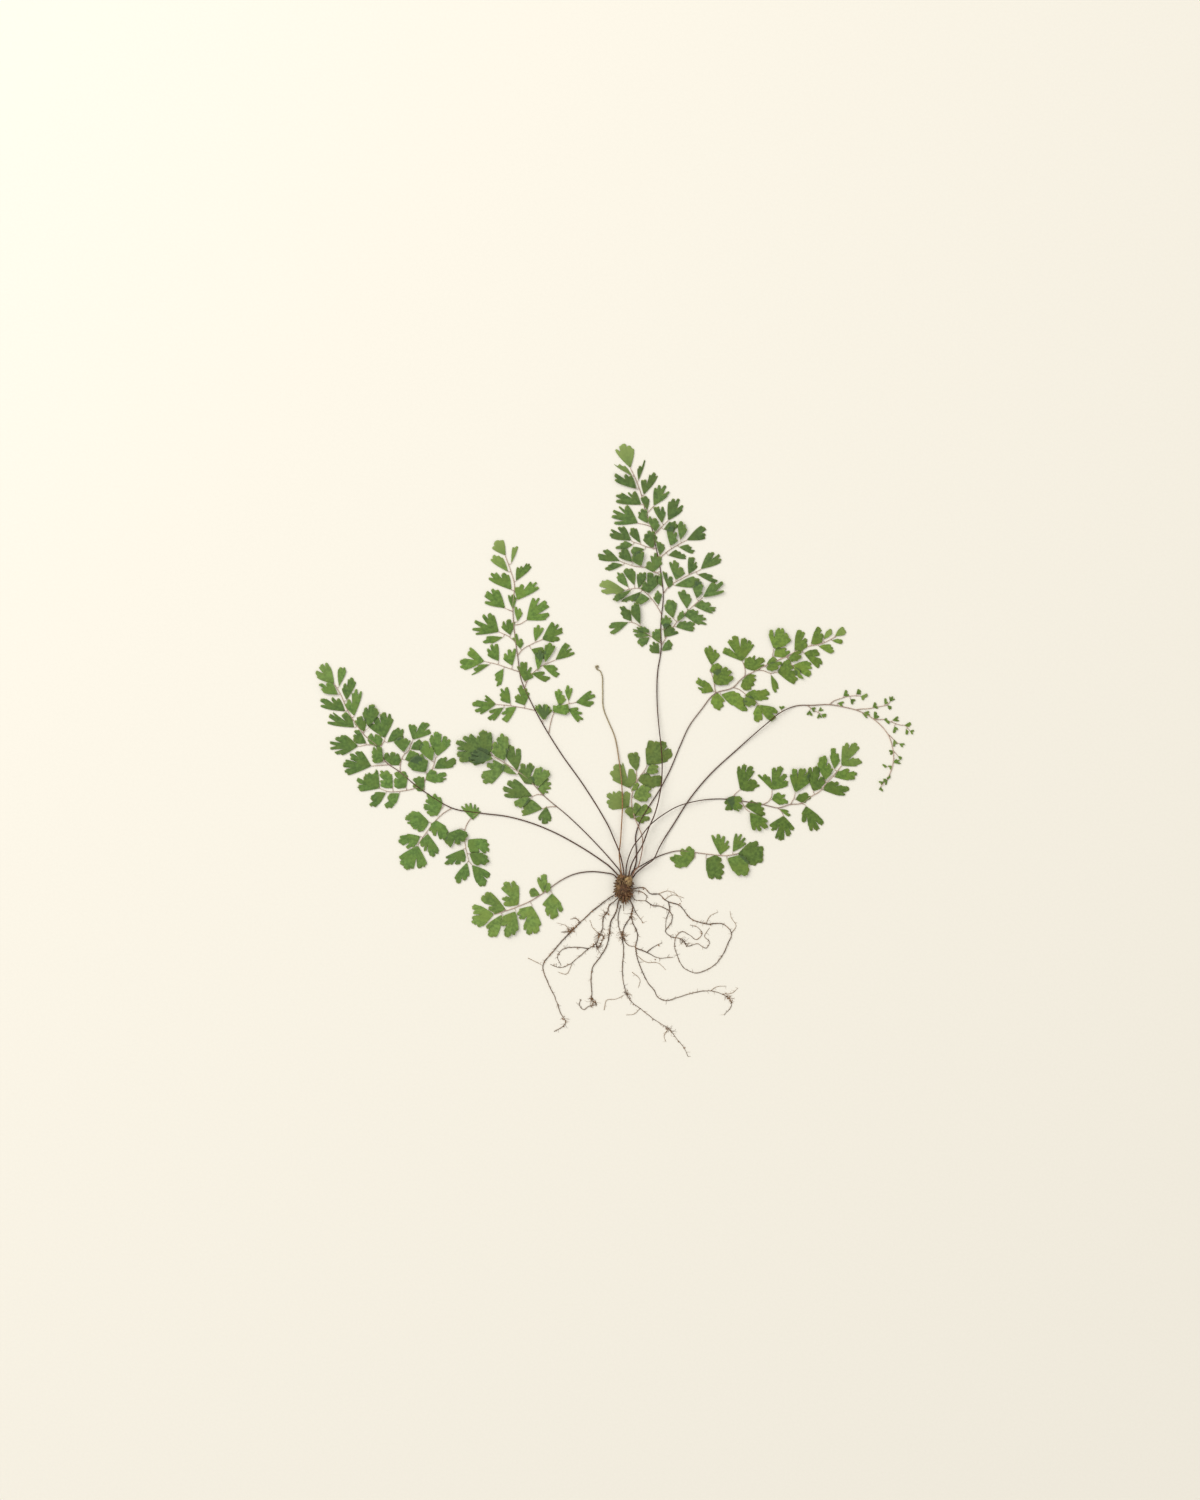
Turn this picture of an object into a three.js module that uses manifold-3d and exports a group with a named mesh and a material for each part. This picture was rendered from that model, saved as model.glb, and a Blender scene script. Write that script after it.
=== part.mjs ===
// A pressed maidenhair fern: ten fronds, a young coiled crozier, the rhizome and its roots.
// Millimetres, +Z up. It lies flat on its back. The origin is under the rhizome, on the surface that it
// lies on, +X to the right and +Y towards the tip of the tallest frond.

import * as THREE from 'three';
import { mergeVertices } from 'three/addons/utils/BufferGeometryUtils.js';
import Module from 'manifold-3d';

const wasm = await Module();
wasm.setup();

// Driving dimensions
const bladeThickness = 0.6;
const firstLayer = 0.4; // height of the middle of a leaflet that lies lowest
const layerStep = 0.9; // the next leaflet up clears the one under it and any stem there
const layerCount = 6;
const floorGap = 0.05; // between a lying stem and the surface
const stipeTip = 0.26; // radius at the end of a rachis
const stemSides = 4;
const axisRadius = 0.3;
const axisTip = 0.22;
const axisSides = 3;
const branchShare = 0.8; // a side root's radius, as a share of the main one
const rootTaper = 0.55; // radius at a root's end, as a share of its start
const crownEdge = -6; // a root that starts above this y sits in the rhizome
const stalkHalfWidth = 0.28;
const stalkShare = 0.45; // of a leaflet's length next to its axis, where it may lie over its own stem
const rootHalfThickness = 0.08; // a blade thins to this inside the axis that it grows from
const shortStalk = 1.5; // a leaflet nearer than this grows straight from its axis
const neckShare = 0.08; // half width of a stalk, at most, as a share of its leaflet's length
const footShare = 0.7; // width of a stalk at its foot, as a share of its width at the blade
const sunkFoot = 0.45; // a foot at the end of an axis stays this far inside it
const leastLobe = 2.2; // a fan has no more lobes than fit its edge at this width
const wideLobe = 3.4; // a lobe wider than this ends in two corners, a narrower one in one
const lobeInset = 0.16; // share of a lobe's angle that its notch takes on each side
const fanBulge = 0.06;
const middleCut = 0.36; // depth of the middle notch, as a share of the leaflet's length
const sideCut = 0.62; // the other notches, as a share of the middle one
const cutUneven = 0.2;
const tipUneven = 0.03;
const ownClearance = 0.12; // in plan, among leaflets of one frond
const otherClearance = 0.35; // in plan, between fronds
const ownRise = 0.02; // in height, among leaflets of one frond
const otherRise = 0.1; // in height, between fronds
const socketClearance = 0.5; // round each stipe and root where it sits in the rhizome
const cornerMatch = 1e-3;
const mergeDistance = 1e-4;

const leafGreen = '#5f8040';
const youngGreen = '#6c8a3a';
const stipeBrown = '#5a3a2c';
const rhizomeBrown = '#4a3323';
const rootBrown = '#4b3a2d';

// Every path is a list of [x, y] or, where it is lifted clear of what it crosses, [x, y, height].
// Every leaflet is [base x, base y, first corner x, y, last corner x, y, lobes, depth of the middle cut].
const fronds = [
  {
    name: 'frond_upper_right',
    radius: 0.42,
    stem: [
      [3, 4.6, 0.6], [5.2, 9], [6, 12], [6.2, 17], [5.8, 25], [8.2, 32.5], [12.2, 39.3], [18.3, 49],
      [23, 58], [28, 70], [32.8, 80.3], [38.5, 88], [45.7, 96.4], [54.3, 99.2], [59.6, 104.3],
      [65, 107.2], [70.1, 110], [80.6, 114.5], [91.1, 119.6], [98.8, 121.2], [106, 124.8],
    ],
    leaflets: [
      [46.8, 96.2, 50.3, 92.3, 44.3, 91, 5], [62, 106, 66.2, 104.6, 60, 98.2, 5],
      [75, 115, 76.5, 119, 80.5, 114.5, 4], [71.2, 110.5, 74.5, 114.8, 76.5, 113, 2],
      [71.2, 109.5, 78.7, 111.8, 75.5, 107.5, 4], [85.3, 117.8, 87.8, 128.3, 91.5, 119.5, 4, 0.45],
      [82.2, 114, 88.8, 117, 84.8, 112.3, 4], [89.8, 116.3, 96.5, 118, 96, 109.2, 5, 0.42],
      [93.5, 120.9, 96.8, 129.7, 98.8, 121.8, 4], [99.7, 123, 102.3, 128.5, 104.3, 126.2, 2, 0.2],
      [97.4, 119.7, 103.2, 120.6, 103.8, 116.2, 4, 0.2], [105.5, 124.8, 108.5, 129.5, 110.9, 126.2, 3, 0.15],
      [103.8, 122.7, 107.7, 123.7, 109, 121.2, 2, 0.1],
    ],
    pinnae: [
      {
        axis: [[45.5, 97], [45.3, 99.5], [45, 102], [43.6, 106.6]],
        leaflets: [
          [43.2, 107.7, 40.5, 118.8, 47.5, 116, 4], [45.3, 101, 45.9, 111, 54, 102.5, 6],
          [44.9, 97.3, 37, 104.3, 38.5, 96.8, 5, 0.5],
        ],
      },
      {
        axis: [[54.5, 99.2], [57.5, 98.3], [60, 96.5], [62, 94.6], [66.4, 91.6]],
        leaflets: [
          [48.8, 95.6, 62, 94.5, 56.5, 88.5, 5], [60.5, 94.8, 71.8, 98.8, 69, 92.9, 5],
          [66.5, 91.9, 60.3, 95, 60.5, 90.3, 4, 0.25], [66.8, 90.7, 65.1, 83.2, 69.1, 83.8, 3],
          [67.1, 90.6, 76.6, 87.3, 71.8, 82.8, 4, 0.4],
        ],
      },
      {
        axis: [[60.2, 104.9], [60.6, 107], [60.2, 109.5], [59.3, 112.1]],
        leaflets: [[59.3, 112.3, 49.8, 118.5, 64.8, 120.6, 6, 0.6],
        [60.8, 108.9, 61.8, 114.3, 69.9, 109.7, 5]],
      },
      {
        axis: [[66.5, 108.1], [70, 107.6], [73, 106.4], [76.2, 106.8]],
        leaflets: [[76.5, 106.8, 81.7, 113.3, 84.7, 101, 6], [73.4, 105.6, 77.3, 98.8, 74.3, 96.5, 2]],
      },
      {
        axis: [[81, 114.7], [82.3, 113.3], [83, 111.8], [83.9, 110.4]],
        leaflets: [[84.1, 110.1, 92.3, 112.4, 92, 104.5, 4], [84.5, 109.6, 89.8, 104.2, 87, 104.6, 2]],
      },
      {
        axis: [[74, 112.7], [74.3, 115.4], [74.7, 117.8]],
        leaflets: [[74.8, 118.2, 73, 128.3, 82.8, 121.8, 5, 0.5]],
      },
    ],
  },
  {
    name: 'frond_inner_centre',
    radius: 0.36,
    stem: [
      [3.9, 4.8, 3.1], [5.5, 8, 2.9], [7, 9.5, 2.7], [7.5, 11, 2.4], [8.5, 15, 1.8], [9.3, 20, 1.4],
      [9, 25, 1.4], [7.3, 29.5, 1.6], [5.8, 33, 1.5], [4.8, 36, 1], [3.7, 42], [4.5, 48], [6, 51.5],
      [6.2, 57.3],
    ],
    leaflets: [
      [2.5, 39.3, -6.5, 38.8, 1.5, 47, 6], [3, 48.7, -5, 52, 1.5, 59, 6], [7.3, 52.3, 11, 56, 15.5, 49.2, 4],
      [4.8, 44.5, 10.8, 49.8, 10, 42.5, 5], [5.5, 34.5, 6, 41.3, 12.5, 36, 4], [5, 35, 12.5, 34.5, 8, 32, 3],
      [5, 33.8, 0.8, 38.3, 4, 41.3, 3], [2.8, 48, 1.8, 57, 6.3, 54.5, 3], [6, 57.4, 0.8, 61.5, 7.4, 63, 4],
    ],
    pinnae: [
      {
        axis: [[6.2, 52], [8.5, 55.5], [10, 57.5], [11.4, 59.8]],
        leaflets: [[11.4, 60, 12, 71.5, 22.8, 63.3, 4], [10.9, 56.2, 13.5, 61, 16.5, 56.2, 3]],
      },
    ],
  },
  {
    name: 'frond_top',
    radius: 0.48,
    stem: [
      [2.1, 4.4, 4.1], [3.7, 10.8, 4.1], [5.7, 14.9, 4], [8.6, 19.5, 3.9], [12.7, 30, 3.6], [14.7, 34.4, 3.2],
      [16.8, 41, 2.7], [18.4, 49.3, 2.4], [19, 62.6, 2.4], [18.5, 70, 2.3], [17.6, 78, 1.6], [16.5, 93, 0.8],
      [16.9, 108], [18.4, 117], [18.4, 131], [19.6, 146], [18.4, 157], [15.8, 170], [13.8, 179],
      [10.8, 187], [8.5, 196], [5.6, 204], [3.3, 208.6],
    ],
    leaflets: [
      [3.3, 208.8, -4.2, 217.5, 5, 218, 4], [4.2, 204.8, -5.2, 210.3, 0.3, 210, 3],
      [6.5, 198.3, -4.7, 203.2, 4.2, 205.5, 5], [7.1, 202.5, 7, 209.3, 11.2, 212.3, 3],
      [9.8, 195.4, 8.7, 203, 17, 205, 4], [8.6, 190.6, -4.3, 192, 6.8, 196.8, 5],
      [11.6, 187.8, 7.8, 194, 12.8, 193.5, 3], [11.9, 181.4, 6.8, 184.5, 10.8, 188.8, 4],
      [14.3, 168.6, 9.5, 173.5, 15.8, 176, 4], [18, 165.3, 16, 171.5, 20.4, 168, 3],
      [14.5, 157, 11.5, 160.5, 19.2, 161.5, 5], [18, 121.5, 14, 125, 18, 128.6, 4],
      [17.8, 116.3, 12.8, 119.5, 16, 123, 4], [18.8, 117.6, 21.5, 123, 23.8, 118.7, 4],
    ],
    pinnae: [
      {
        axis: [[11.4, 186.2], [13.5, 188.5], [14.8, 190]],
        leaflets: [[14.8, 190, 15.3, 199, 22.8, 196.8, 5]],
      },
      {
        axis: [[15.6, 175.5], [17.5, 178], [19.5, 180.3], [21.7, 182.4]],
        leaflets: [
          [19, 181, 14.7, 189.3, 20.7, 187.3, 3], [21.7, 182.4, 22.3, 192.5, 29.9, 187.3, 5],
          [15.6, 176.8, 12.2, 183.5, 18, 181, 4], [20, 178.3, 21.5, 181.5, 27, 180.5, 3],
        ],
      },
      {
        axis: [[17.8, 163.5], [22, 167.5], [26, 170], [31.2, 172.9]],
        leaflets: [
          [28.2, 172.7, 26.6, 180.5, 31.6, 178.3, 4], [23.2, 169.7, 21, 178.5, 27.3, 172.8, 4],
          [31.2, 172.9, 36.8, 178.8, 40.8, 173.8, 4], [27.3, 169.5, 32, 170.7, 34, 166.2, 3],
          [22.3, 165.3, 25.8, 168.2, 29.5, 163.3, 4],
        ],
      },
      {
        axis: [[19.7, 146], [21.5, 148.8], [30, 154.3], [38.3, 158.2]],
        leaflets: [
          [38.4, 158.3, 42, 166, 48.6, 162.7, 4], [32.1, 155.7, 32, 163.8, 36.8, 159.3, 3],
          [25.7, 153, 22.9, 161.7, 30.4, 156.3, 5], [36.7, 155.8, 42.5, 156, 44.7, 151, 3],
          [22.3, 149, 19, 157, 25.3, 151.5, 4], [25.2, 150.2, 33.5, 153.5, 34.5, 150, 3],
          [19.2, 149.5, 15.5, 155, 18.8, 155.5, 3],
        ],
      },
      {
        axis: [[18.7, 120], [20.5, 123.5], [26, 131.5], [35, 140.5], [39, 144]],
        leaflets: [
          [39, 144, 44, 151.3, 49.5, 146.3, 4], [35.1, 139.9, 39.3, 142.7, 43.5, 136.5, 5],
          [36.3, 143.6, 34.3, 150, 39.2, 147.5, 4], [31.4, 138.7, 27, 147, 33.8, 142.8, 4],
          [30, 136.5, 33.5, 138.5, 39.5, 130.4, 5], [24.5, 133.8, 20.5, 141, 26.2, 139.5, 4],
          [26.8, 132, 27, 136.3, 30.8, 136, 3], [25.8, 129.5, 32.5, 132.3, 34, 127.4, 4],
          [20.4, 124.8, 20, 135, 24.8, 134, 3], [20.5, 128.5, 27, 129, 25.5, 125.5, 3],
        ],
      },
      { axis: [[13.4, 179.6], [10.5, 180.7], [7, 181.3]], leaflets: [[7, 181.3, -5, 181, 4, 188.5, 6]] },
      {
        axis: [[15.9, 168.8], [12, 169.4], [8.5, 170.7], [4, 172.3]],
        leaflets: [
          [3.7, 172.6, -7, 174.6, 0.8, 179.3, 5], [8.3, 171.2, 2.7, 174.3, 6.3, 178.5, 4],
          [4.5, 170.6, -4, 169.3, -1, 172, 3],
        ],
      },
      {
        axis: [[18.8, 155.2], [15.5, 157], [10.5, 159.2], [5.5, 159.8], [-2, 162.4]],
        leaflets: [
          [-2, 162.5, -11.8, 163.3, -8, 168.5, 4], [-0.2, 160.7, -8.3, 157.7, -6.5, 161.2, 2],
          [4.5, 161.8, -2.5, 164.5, 1.5, 168.7, 4], [8.8, 159.8, 3.5, 164, 9.7, 168.3, 4],
        ],
      },
      {
        axis: [[18.4, 135.8], [17, 139], [11.5, 146], [8, 148.6], [0.5, 148]],
        leaflets: [
          [0.5, 148, -9, 145.8, -10.3, 153, 4], [4, 148.3, -5.5, 143.8, -2.5, 142.3, 3],
          [8.5, 147.3, -1, 142.5, 3.5, 141.5, 3], [13, 143.5, 4.5, 142.8, 7.5, 140.6, 3],
          [2, 149.5, -3.6, 153, -1, 156.8, 3], [5.5, 150, 0, 157.5, 5.3, 158.3, 3],
          [7, 148.8, 7, 156, 12, 155.5, 3], [12.5, 146.3, 8.3, 149, 16.8, 155, 5],
          [17.3, 140.5, 13.8, 144.5, 18.9, 146, 4],
        ],
      },
      {
        axis: [[18.7, 122], [15.5, 124], [12.8, 125.2], [5, 131.5], [2.5, 132]],
        leaflets: [
          [2.3, 131.9, -7, 131, -6, 126.2, 3, 0.55], [4, 132.5, -2, 138, 1.5, 139.8, 4],
          [8.3, 130.5, 3, 136.5, 7, 141, 3], [13.3, 125, 9.3, 129.8, 13, 128.3, 3],
          [12.8, 124.5, 6.5, 122.3, 10.8, 120.5, 4], [12, 126.2, 4.2, 128.3, 5.2, 125, 3],
        ],
      },
    ],
  },
  {
    name: 'frond_upper_left',
    radius: 0.48,
    stem: [
      [0.1, 4.4, 3.3], [-0.3, 8, 3.2], [-2.6, 17.8, 2.9], [-5, 23.5, 2.2], [-7.5, 29.3, 1.2], [-10.5, 34.8],
      [-20, 50], [-32, 67], [-41.5, 82.5], [-47, 93], [-51.5, 103.5], [-53.2, 115], [-54.7, 126],
      [-55.6, 140], [-55, 152], [-56.4, 156.7], [-59.2, 164.6],
    ],
    leaflets: [
      [-59.2, 164.8, -66, 168.8, -59.7, 172.5, 4], [-56.4, 160.8, -56.5, 168, -52.2, 168.5, 2],
      [-57.8, 156.6, -66.6, 162.7, -60, 163, 4], [-54, 152.4, -53.9, 158.5, -46.3, 159.3, 4],
      [-56.3, 147.8, -67.8, 153.5, -57.2, 155, 5], [-53.6, 142.8, -55, 149, -42.3, 148.8, 5],
      [-55.6, 138, -58, 145, -54.5, 144.5, 3], [-53.2, 132.2, -55.2, 137, -51, 136, 3],
    ],
    pinnae: [
      {
        axis: [[-55.6, 137.3], [-57.5, 138], [-59.3, 138.8]],
        leaflets: [[-59.3, 138.8, -69.8, 142.2, -62.5, 147.8, 5]],
      },
      {
        axis: [[-54.3, 130.5], [-52, 131], [-48.9, 132.8]],
        leaflets: [[-48.9, 132.8, -47, 142, -37.3, 134.8, 5, 0.5]],
      },
      {
        axis: [[-54.4, 122], [-58, 125], [-62.5, 127]],
        leaflets: [
          [-62.5, 127, -74.5, 126.3, -64.9, 135.3, 5], [-56.8, 125.5, -61.2, 129, -54.4, 130, 4],
          [-60.5, 124.5, -70.5, 121.8, -68, 124.8, 3],
        ],
      },
      {
        axis: [[-53, 115.3], [-51, 118], [-44.5, 121.7], [-41, 123.2]],
        leaflets: [
          [-51.9, 118.6, -55.8, 123.8, -50.2, 122.3, 4], [-44.3, 122, -45.2, 129, -39.9, 128, 3],
          [-41, 123, -36.5, 131.8, -32.5, 122.8, 5], [-46.3, 118.3, -39.8, 119.5, -39, 113.5, 3],
        ],
      },
      {
        axis: [[-53, 107], [-56, 108.3], [-64, 111], [-69.6, 112.3]],
        leaflets: [
          [-62.6, 112.3, -68.3, 115.5, -62.6, 120.8, 4], [-69.6, 112.3, -80.3, 108.3, -77.3, 119.2, 4, 0.5],
          [-67, 110.7, -75.6, 104.7, -75, 109.5, 3], [-60.3, 108.5, -64.6, 105, -62.3, 99.9, 3],
          [-55.7, 110, -60.3, 114.5, -53.6, 117, 4],
        ],
      },
      {
        axis: [[-49.3, 99], [-48.7, 102], [-46, 106], [-42, 109.5], [-34.4, 113]],
        leaflets: [
          [-34.3, 113, -31, 121, -24.7, 115.7, 4], [-39.8, 111.5, -39.5, 121, -34.2, 117.5, 3],
          [-40.5, 109.5, -44.7, 117, -40, 118, 3], [-49.8, 102.4, -53, 110, -45.5, 108, 5],
          [-41, 110, -35.5, 110.5, -33.5, 104, 4], [-46, 106.5, -39.5, 107.3, -39, 102, 3],
        ],
      },
      {
        axis: [[-45, 87.5], [-48.5, 88.7], [-58, 90.3], [-63.6, 90.8]],
        leaflets: [
          [-63.7, 90.8, -71.8, 86.2, -69.5, 95.6, 5], [-56.7, 91, -61.8, 93.5, -57.8, 98.3, 4],
          [-60.3, 89.3, -67.8, 87, -64.5, 82.6, 3], [-53.6, 89.5, -61, 86.3, -58.7, 81.7, 4],
          [-49, 90.3, -55, 93.5, -47.8, 96.5, 5],
        ],
      },
      {
        axis: [[-37.2, 76.3], [-36.8, 81], [-34.5, 87.3], [-31, 90], [-24.3, 91.8]],
        leaflets: [
          [-24.2, 91.8, -17.5, 97.5, -16.5, 89.8, 4], [-27.5, 92.2, -29.2, 99.3, -25.6, 97.5, 2],
          [-32.5, 90, -34.8, 96, -29.5, 94.5, 4], [-40.5, 83, -44.3, 89.5, -36, 88, 5],
          [-35.5, 87, -29, 91, -28, 86.5, 3], [-27.8, 88.5, -22.5, 89, -22.5, 82.2, 5],
        ],
      },
    ],
  },
  {
    name: 'frond_far_left',
    radius: 0.48,
    stem: [
      [-1.9, 3.8, 1.6], [-4, 6.5, 1.4], [-7.5, 10, 0.8], [-12, 13.3], [-22, 19.8], [-34, 26.4], [-46, 31.4],
      [-58, 34.7], [-72, 36.5], [-86, 39], [-95, 44], [-105, 51], [-112, 57], [-119.5, 62.5],
      [-123.5, 70], [-129.8, 75.5], [-134, 81], [-138.5, 88.3], [-141.8, 96], [-144.6, 100.7],
    ],
    leaflets: [
      [-144.7, 100.8, -153.3, 104.8, -147, 109.8, 4], [-142.5, 99.8, -142.8, 107.5, -139.3, 107.5, 2],
      [-143, 95.5, -151.2, 98, -146, 101, 3], [-138.7, 92.8, -140.8, 98.3, -134.7, 101.5, 4],
      [-139.3, 87.2, -151.5, 89.6, -142.3, 93.5, 4], [-134.8, 85, -139.4, 89.5, -131.2, 96.8, 5],
      [-134.8, 79, -147.5, 81.3, -137.5, 86.3, 5], [-129.9, 76.5, -134.8, 81.5, -130.3, 84.5, 3],
      [-91.3, 38.5, -96.5, 35.2, -94, 46, 6],
    ],
    pinnae: [
      {
        axis: [[-122.5, 69], [-120.8, 71], [-119.6, 73.5]],
        leaflets: [
          [-128, 79, -130, 87.5, -123.2, 87.5, 4], [-119.5, 73.7, -126.5, 79.5, -115.8, 83.5, 5],
          [-118.5, 71.7, -116, 77.3, -110.5, 75.5, 3], [-124, 69.8, -128, 72.5, -120.9, 73, 4],
        ],
      },
      {
        axis: [[-124, 70.3], [-128.5, 70.6], [-132.4, 69.8]],
        leaflets: [[-132.5, 69.8, -143.5, 66, -139.5, 75.3, 5], [-128.7, 71.3, -134.5, 71.5, -130.5, 77, 4]],
      },
      {
        axis: [[-117.5, 60.7], [-122, 60.3], [-126.2, 60]],
        leaflets: [[-126.3, 60, -138.5, 56.2, -131.8, 66.8, 5], [-120.5, 62, -125.5, 62.3, -121.5, 69, 4]],
      },
      {
        axis: [[-111.8, 57.2], [-111.8, 61], [-110.5, 65], [-108, 67.5], [-106, 72]],
        leaflets: [
          [-116.5, 60.3, -119.8, 63.5, -111.8, 64, 5], [-110, 66.7, -114.8, 73, -106.8, 72.5, 4],
          [-105.5, 73, -107.9, 79.5, -97.3, 76.5, 5, 0.5], [-106.5, 68.5, -103.5, 73.5, -101.5, 68, 3],
          [-109.7, 63, -106.5, 67, -101, 62, 3],
        ],
      },
      {
        axis: [[-103, 49.5], [-105.5, 48.6], [-112, 47.4], [-118, 47.3], [-121.9, 48.7]],
        leaflets: [
          [-108.8, 49.3, -115, 51, -108.5, 55.8, 5], [-115.8, 49, -121.5, 50.5, -116.3, 56, 5],
          [-122, 49, -131.3, 47.8, -123.8, 57.5, 5], [-119, 46.5, -126.8, 43.5, -123.8, 39.7, 3],
          [-112, 46.3, -118, 44.5, -115.5, 40, 3],
        ],
      },
      {
        axis: [[-100.3, 47.5], [-99.8, 51.5], [-98.6, 55], [-96, 58.5], [-94, 64.5]],
        leaflets: [
          [-95.8, 62.2, -101.8, 67.5, -95.3, 69, 4], [-99.2, 56.7, -107.5, 60, -98.3, 62.5, 5],
          [-93.8, 64.8, -97, 73, -87, 71, 5], [-95, 58.5, -92.8, 63.3, -85, 60.3, 4],
          [-99.2, 52.8, -97.5, 57.3, -90, 52.3, 4], [-100.2, 47.3, -105.3, 50.8, -100.2, 54, 4],
        ],
      },
      {
        axis: [[-86, 38.9], [-90, 36.6], [-94, 33], [-98.7, 27], [-103, 20.8]],
        leaflets: [
          [-97.3, 32, -101.3, 27.3, -104, 37.3, 6], [-94, 32.8, -97, 28, -88.8, 25.5, 4],
          [-101.5, 24.8, -112, 24.8, -105, 19.8, 4], [-98.2, 26.2, -101.2, 20, -93.2, 17.5, 4],
          [-103, 20.3, -112, 15.5, -99, 12.5, 6],
        ],
      },
      {
        axis: [[-73, 36.5], [-77, 33.3], [-79.3, 29], [-79.5, 22], [-77.7, 12.5]],
        leaflets: [
          [-75.5, 33, -81.2, 40, -71.8, 37.5, 6], [-82.2, 28.3, -90.5, 24.5, -78.3, 24.5, 5],
          [-77.8, 23.3, -71, 23.3, -70.5, 16.8, 4], [-77.3, 16.2, -69.5, 16, -74.5, 11, 4],
          [-80.5, 18.3, -89, 14, -79.5, 13.3, 5], [-78.3, 11.8, -84.3, 4.5, -77.8, 5.5, 3],
          [-76, 10.5, -68, 7, -73.5, 1.5, 4],
        ],
      },
    ],
  },
  {
    name: 'frond_young_right',
    radius: 0.46,
    stem: [
      [4.2, 3.9, 0.9], [6, 6.5, 1.1], [8, 8.3, 1.4], [10.5, 10.2, 1.8], [14.5, 13.2, 2], [17.5, 19, 1.5],
      [20, 23.5, 0.8], [24.4, 30.3], [32.8, 43.5], [42.3, 55], [56.7, 68.4], [72, 81.8, 1.5],
      [77.7, 86.4, 1.5],
      [85.4, 89.9], [95, 90.4], [102.6, 90.7], [110.3, 89.4], [116, 88], [123.7, 84.2], [128.4, 80.3],
      [132.3, 75.1], [134.2, 69.3], [134.7, 62.6], [133.2, 56.9], [131.5, 53.5], [129.4, 51.2], [128.3, 49.6],
    ],
    leaflets: [
      [78.6, 88.1, 77.7, 89.8, 80.2, 89.8, 2], [119.1, 86.4, 122.6, 87.2, 121.5, 84, 3],
      [125, 83.3, 125.4, 87.2, 127.5, 84.8, 2], [135, 67.5, 132.5, 67.7, 133.2, 65.6, 2],
      [134.3, 61.8, 136.3, 63.4, 138.3, 61.3, 3], [131.6, 59.8, 129.2, 60.8, 130.2, 59.2, 2],
      [133.9, 60.1, 132.1, 59.9, 133.3, 58.2, 2], [133, 55.6, 132.9, 53.9, 131.4, 53.6, 1],
      [131.8, 53.3, 129.6, 53.5, 130.8, 50.5, 3], [129.6, 52, 127.3, 52.2, 128.4, 50.7, 2],
      [128.3, 49.6, 127.6, 48, 129.3, 47.4, 2],
    ],
    pinnae: [
      {
        axis: [[102.6, 90.7], [105, 92.6], [107.5, 93.5], [113, 95], [118.3, 95]],
        leaflets: [
          [109.7, 95, 111, 98, 112.5, 95.2, 2], [116.1, 95.9, 117.3, 98.5, 118.4, 96.1, 1],
          [118.4, 94.9, 121.7, 96, 119.5, 92.9, 2], [113.2, 93.4, 115.7, 93, 114, 90.8, 2],
          [106.8, 91.5, 109.9, 92, 109.2, 89.8, 2],
        ],
      },
      {
        axis: [[91.5, 90.1], [93.5, 88.9], [96, 87.3], [98.2, 86.1]],
        leaflets: [
          [93.6, 89, 95.8, 89, 95, 87, 2], [97.2, 87.4, 98.5, 89.3, 99.7, 88, 2],
          [92.8, 87.9, 91.4, 85.6, 94, 85.2, 2], [97.5, 86.2, 96.7, 83.8, 98.7, 84.2, 2],
          [98.6, 85.9, 101.2, 85.8, 99.8, 84.1, 1],
        ],
      },
      {
        axis: [[115.8, 88.1], [118.5, 88.5], [121.5, 88.6], [127.5, 89.7], [131.8, 90.8], [132.9, 92]],
        leaflets: [
          [124.3, 89.4, 125.5, 91.9, 126.9, 88.8, 2], [130.2, 90.8, 130.6, 93.9, 132, 91.8, 2],
          [133, 92.2, 132.8, 94.7, 135.4, 93.5, 3], [131.6, 90.4, 133.8, 89.4, 132.8, 88.2, 1],
        ],
      },
      {
        axis: [[124, 84], [127, 83.2], [129.5, 83.3], [134, 81.9], [138, 80.5], [140.3, 80.3], [142.9, 77.7]],
        leaflets: [
          [129.8, 83.4, 131.4, 83.8, 132.6, 81.1, 2], [134.1, 82.8, 137, 84.7, 137.4, 82.6, 2],
          [135.2, 79.8, 136.9, 78.4, 134.7, 76.5, 2], [140.3, 80.4, 143.3, 81.7, 142.7, 79.7, 1],
          [141, 78.5, 142.2, 77, 141.1, 75.7, 1], [142.9, 77.6, 145, 77.8, 144.2, 75.9, 2],
        ],
      },
      {
        axis: [[131.5, 76], [133.3, 74.8], [136, 72], [137.3, 71.3]],
        leaflets: [[134.9, 73.4, 136.6, 71, 134.9, 69.7, 2], [137.5, 71.2, 140.3, 70.9, 139.3, 69.4, 2]],
      },
      { axis: [[134.6, 67.5], [136, 66.2], [136.8, 65.1]],
      leaflets: [[136.9, 65, 138.9, 64.3, 138.2, 63.1, 1]] },
    ],
  },
  {
    name: 'frond_right',
    radius: 0.4,
    stem: [
      [0.9, 4.4, 1], [1.2, 10, 1.3], [2.2, 14, 1.9], [5, 20.5, 2.6], [7.8, 24, 2.6], [13, 30.5, 2.4],
      [20, 36, 2], [28, 40.3, 1.8], [32, 41.5, 1.8], [38, 42.8, 1.2], [45, 43.5], [54, 43.2], [60, 42.3],
      [67, 41.3], [72, 40.1], [77, 39.1], [83.2, 40.8], [88.5, 41.3], [93.3, 44.6], [98, 47.5],
      [101.3, 51.5], [104.5, 55], [108.7, 60.1],
    ],
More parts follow.
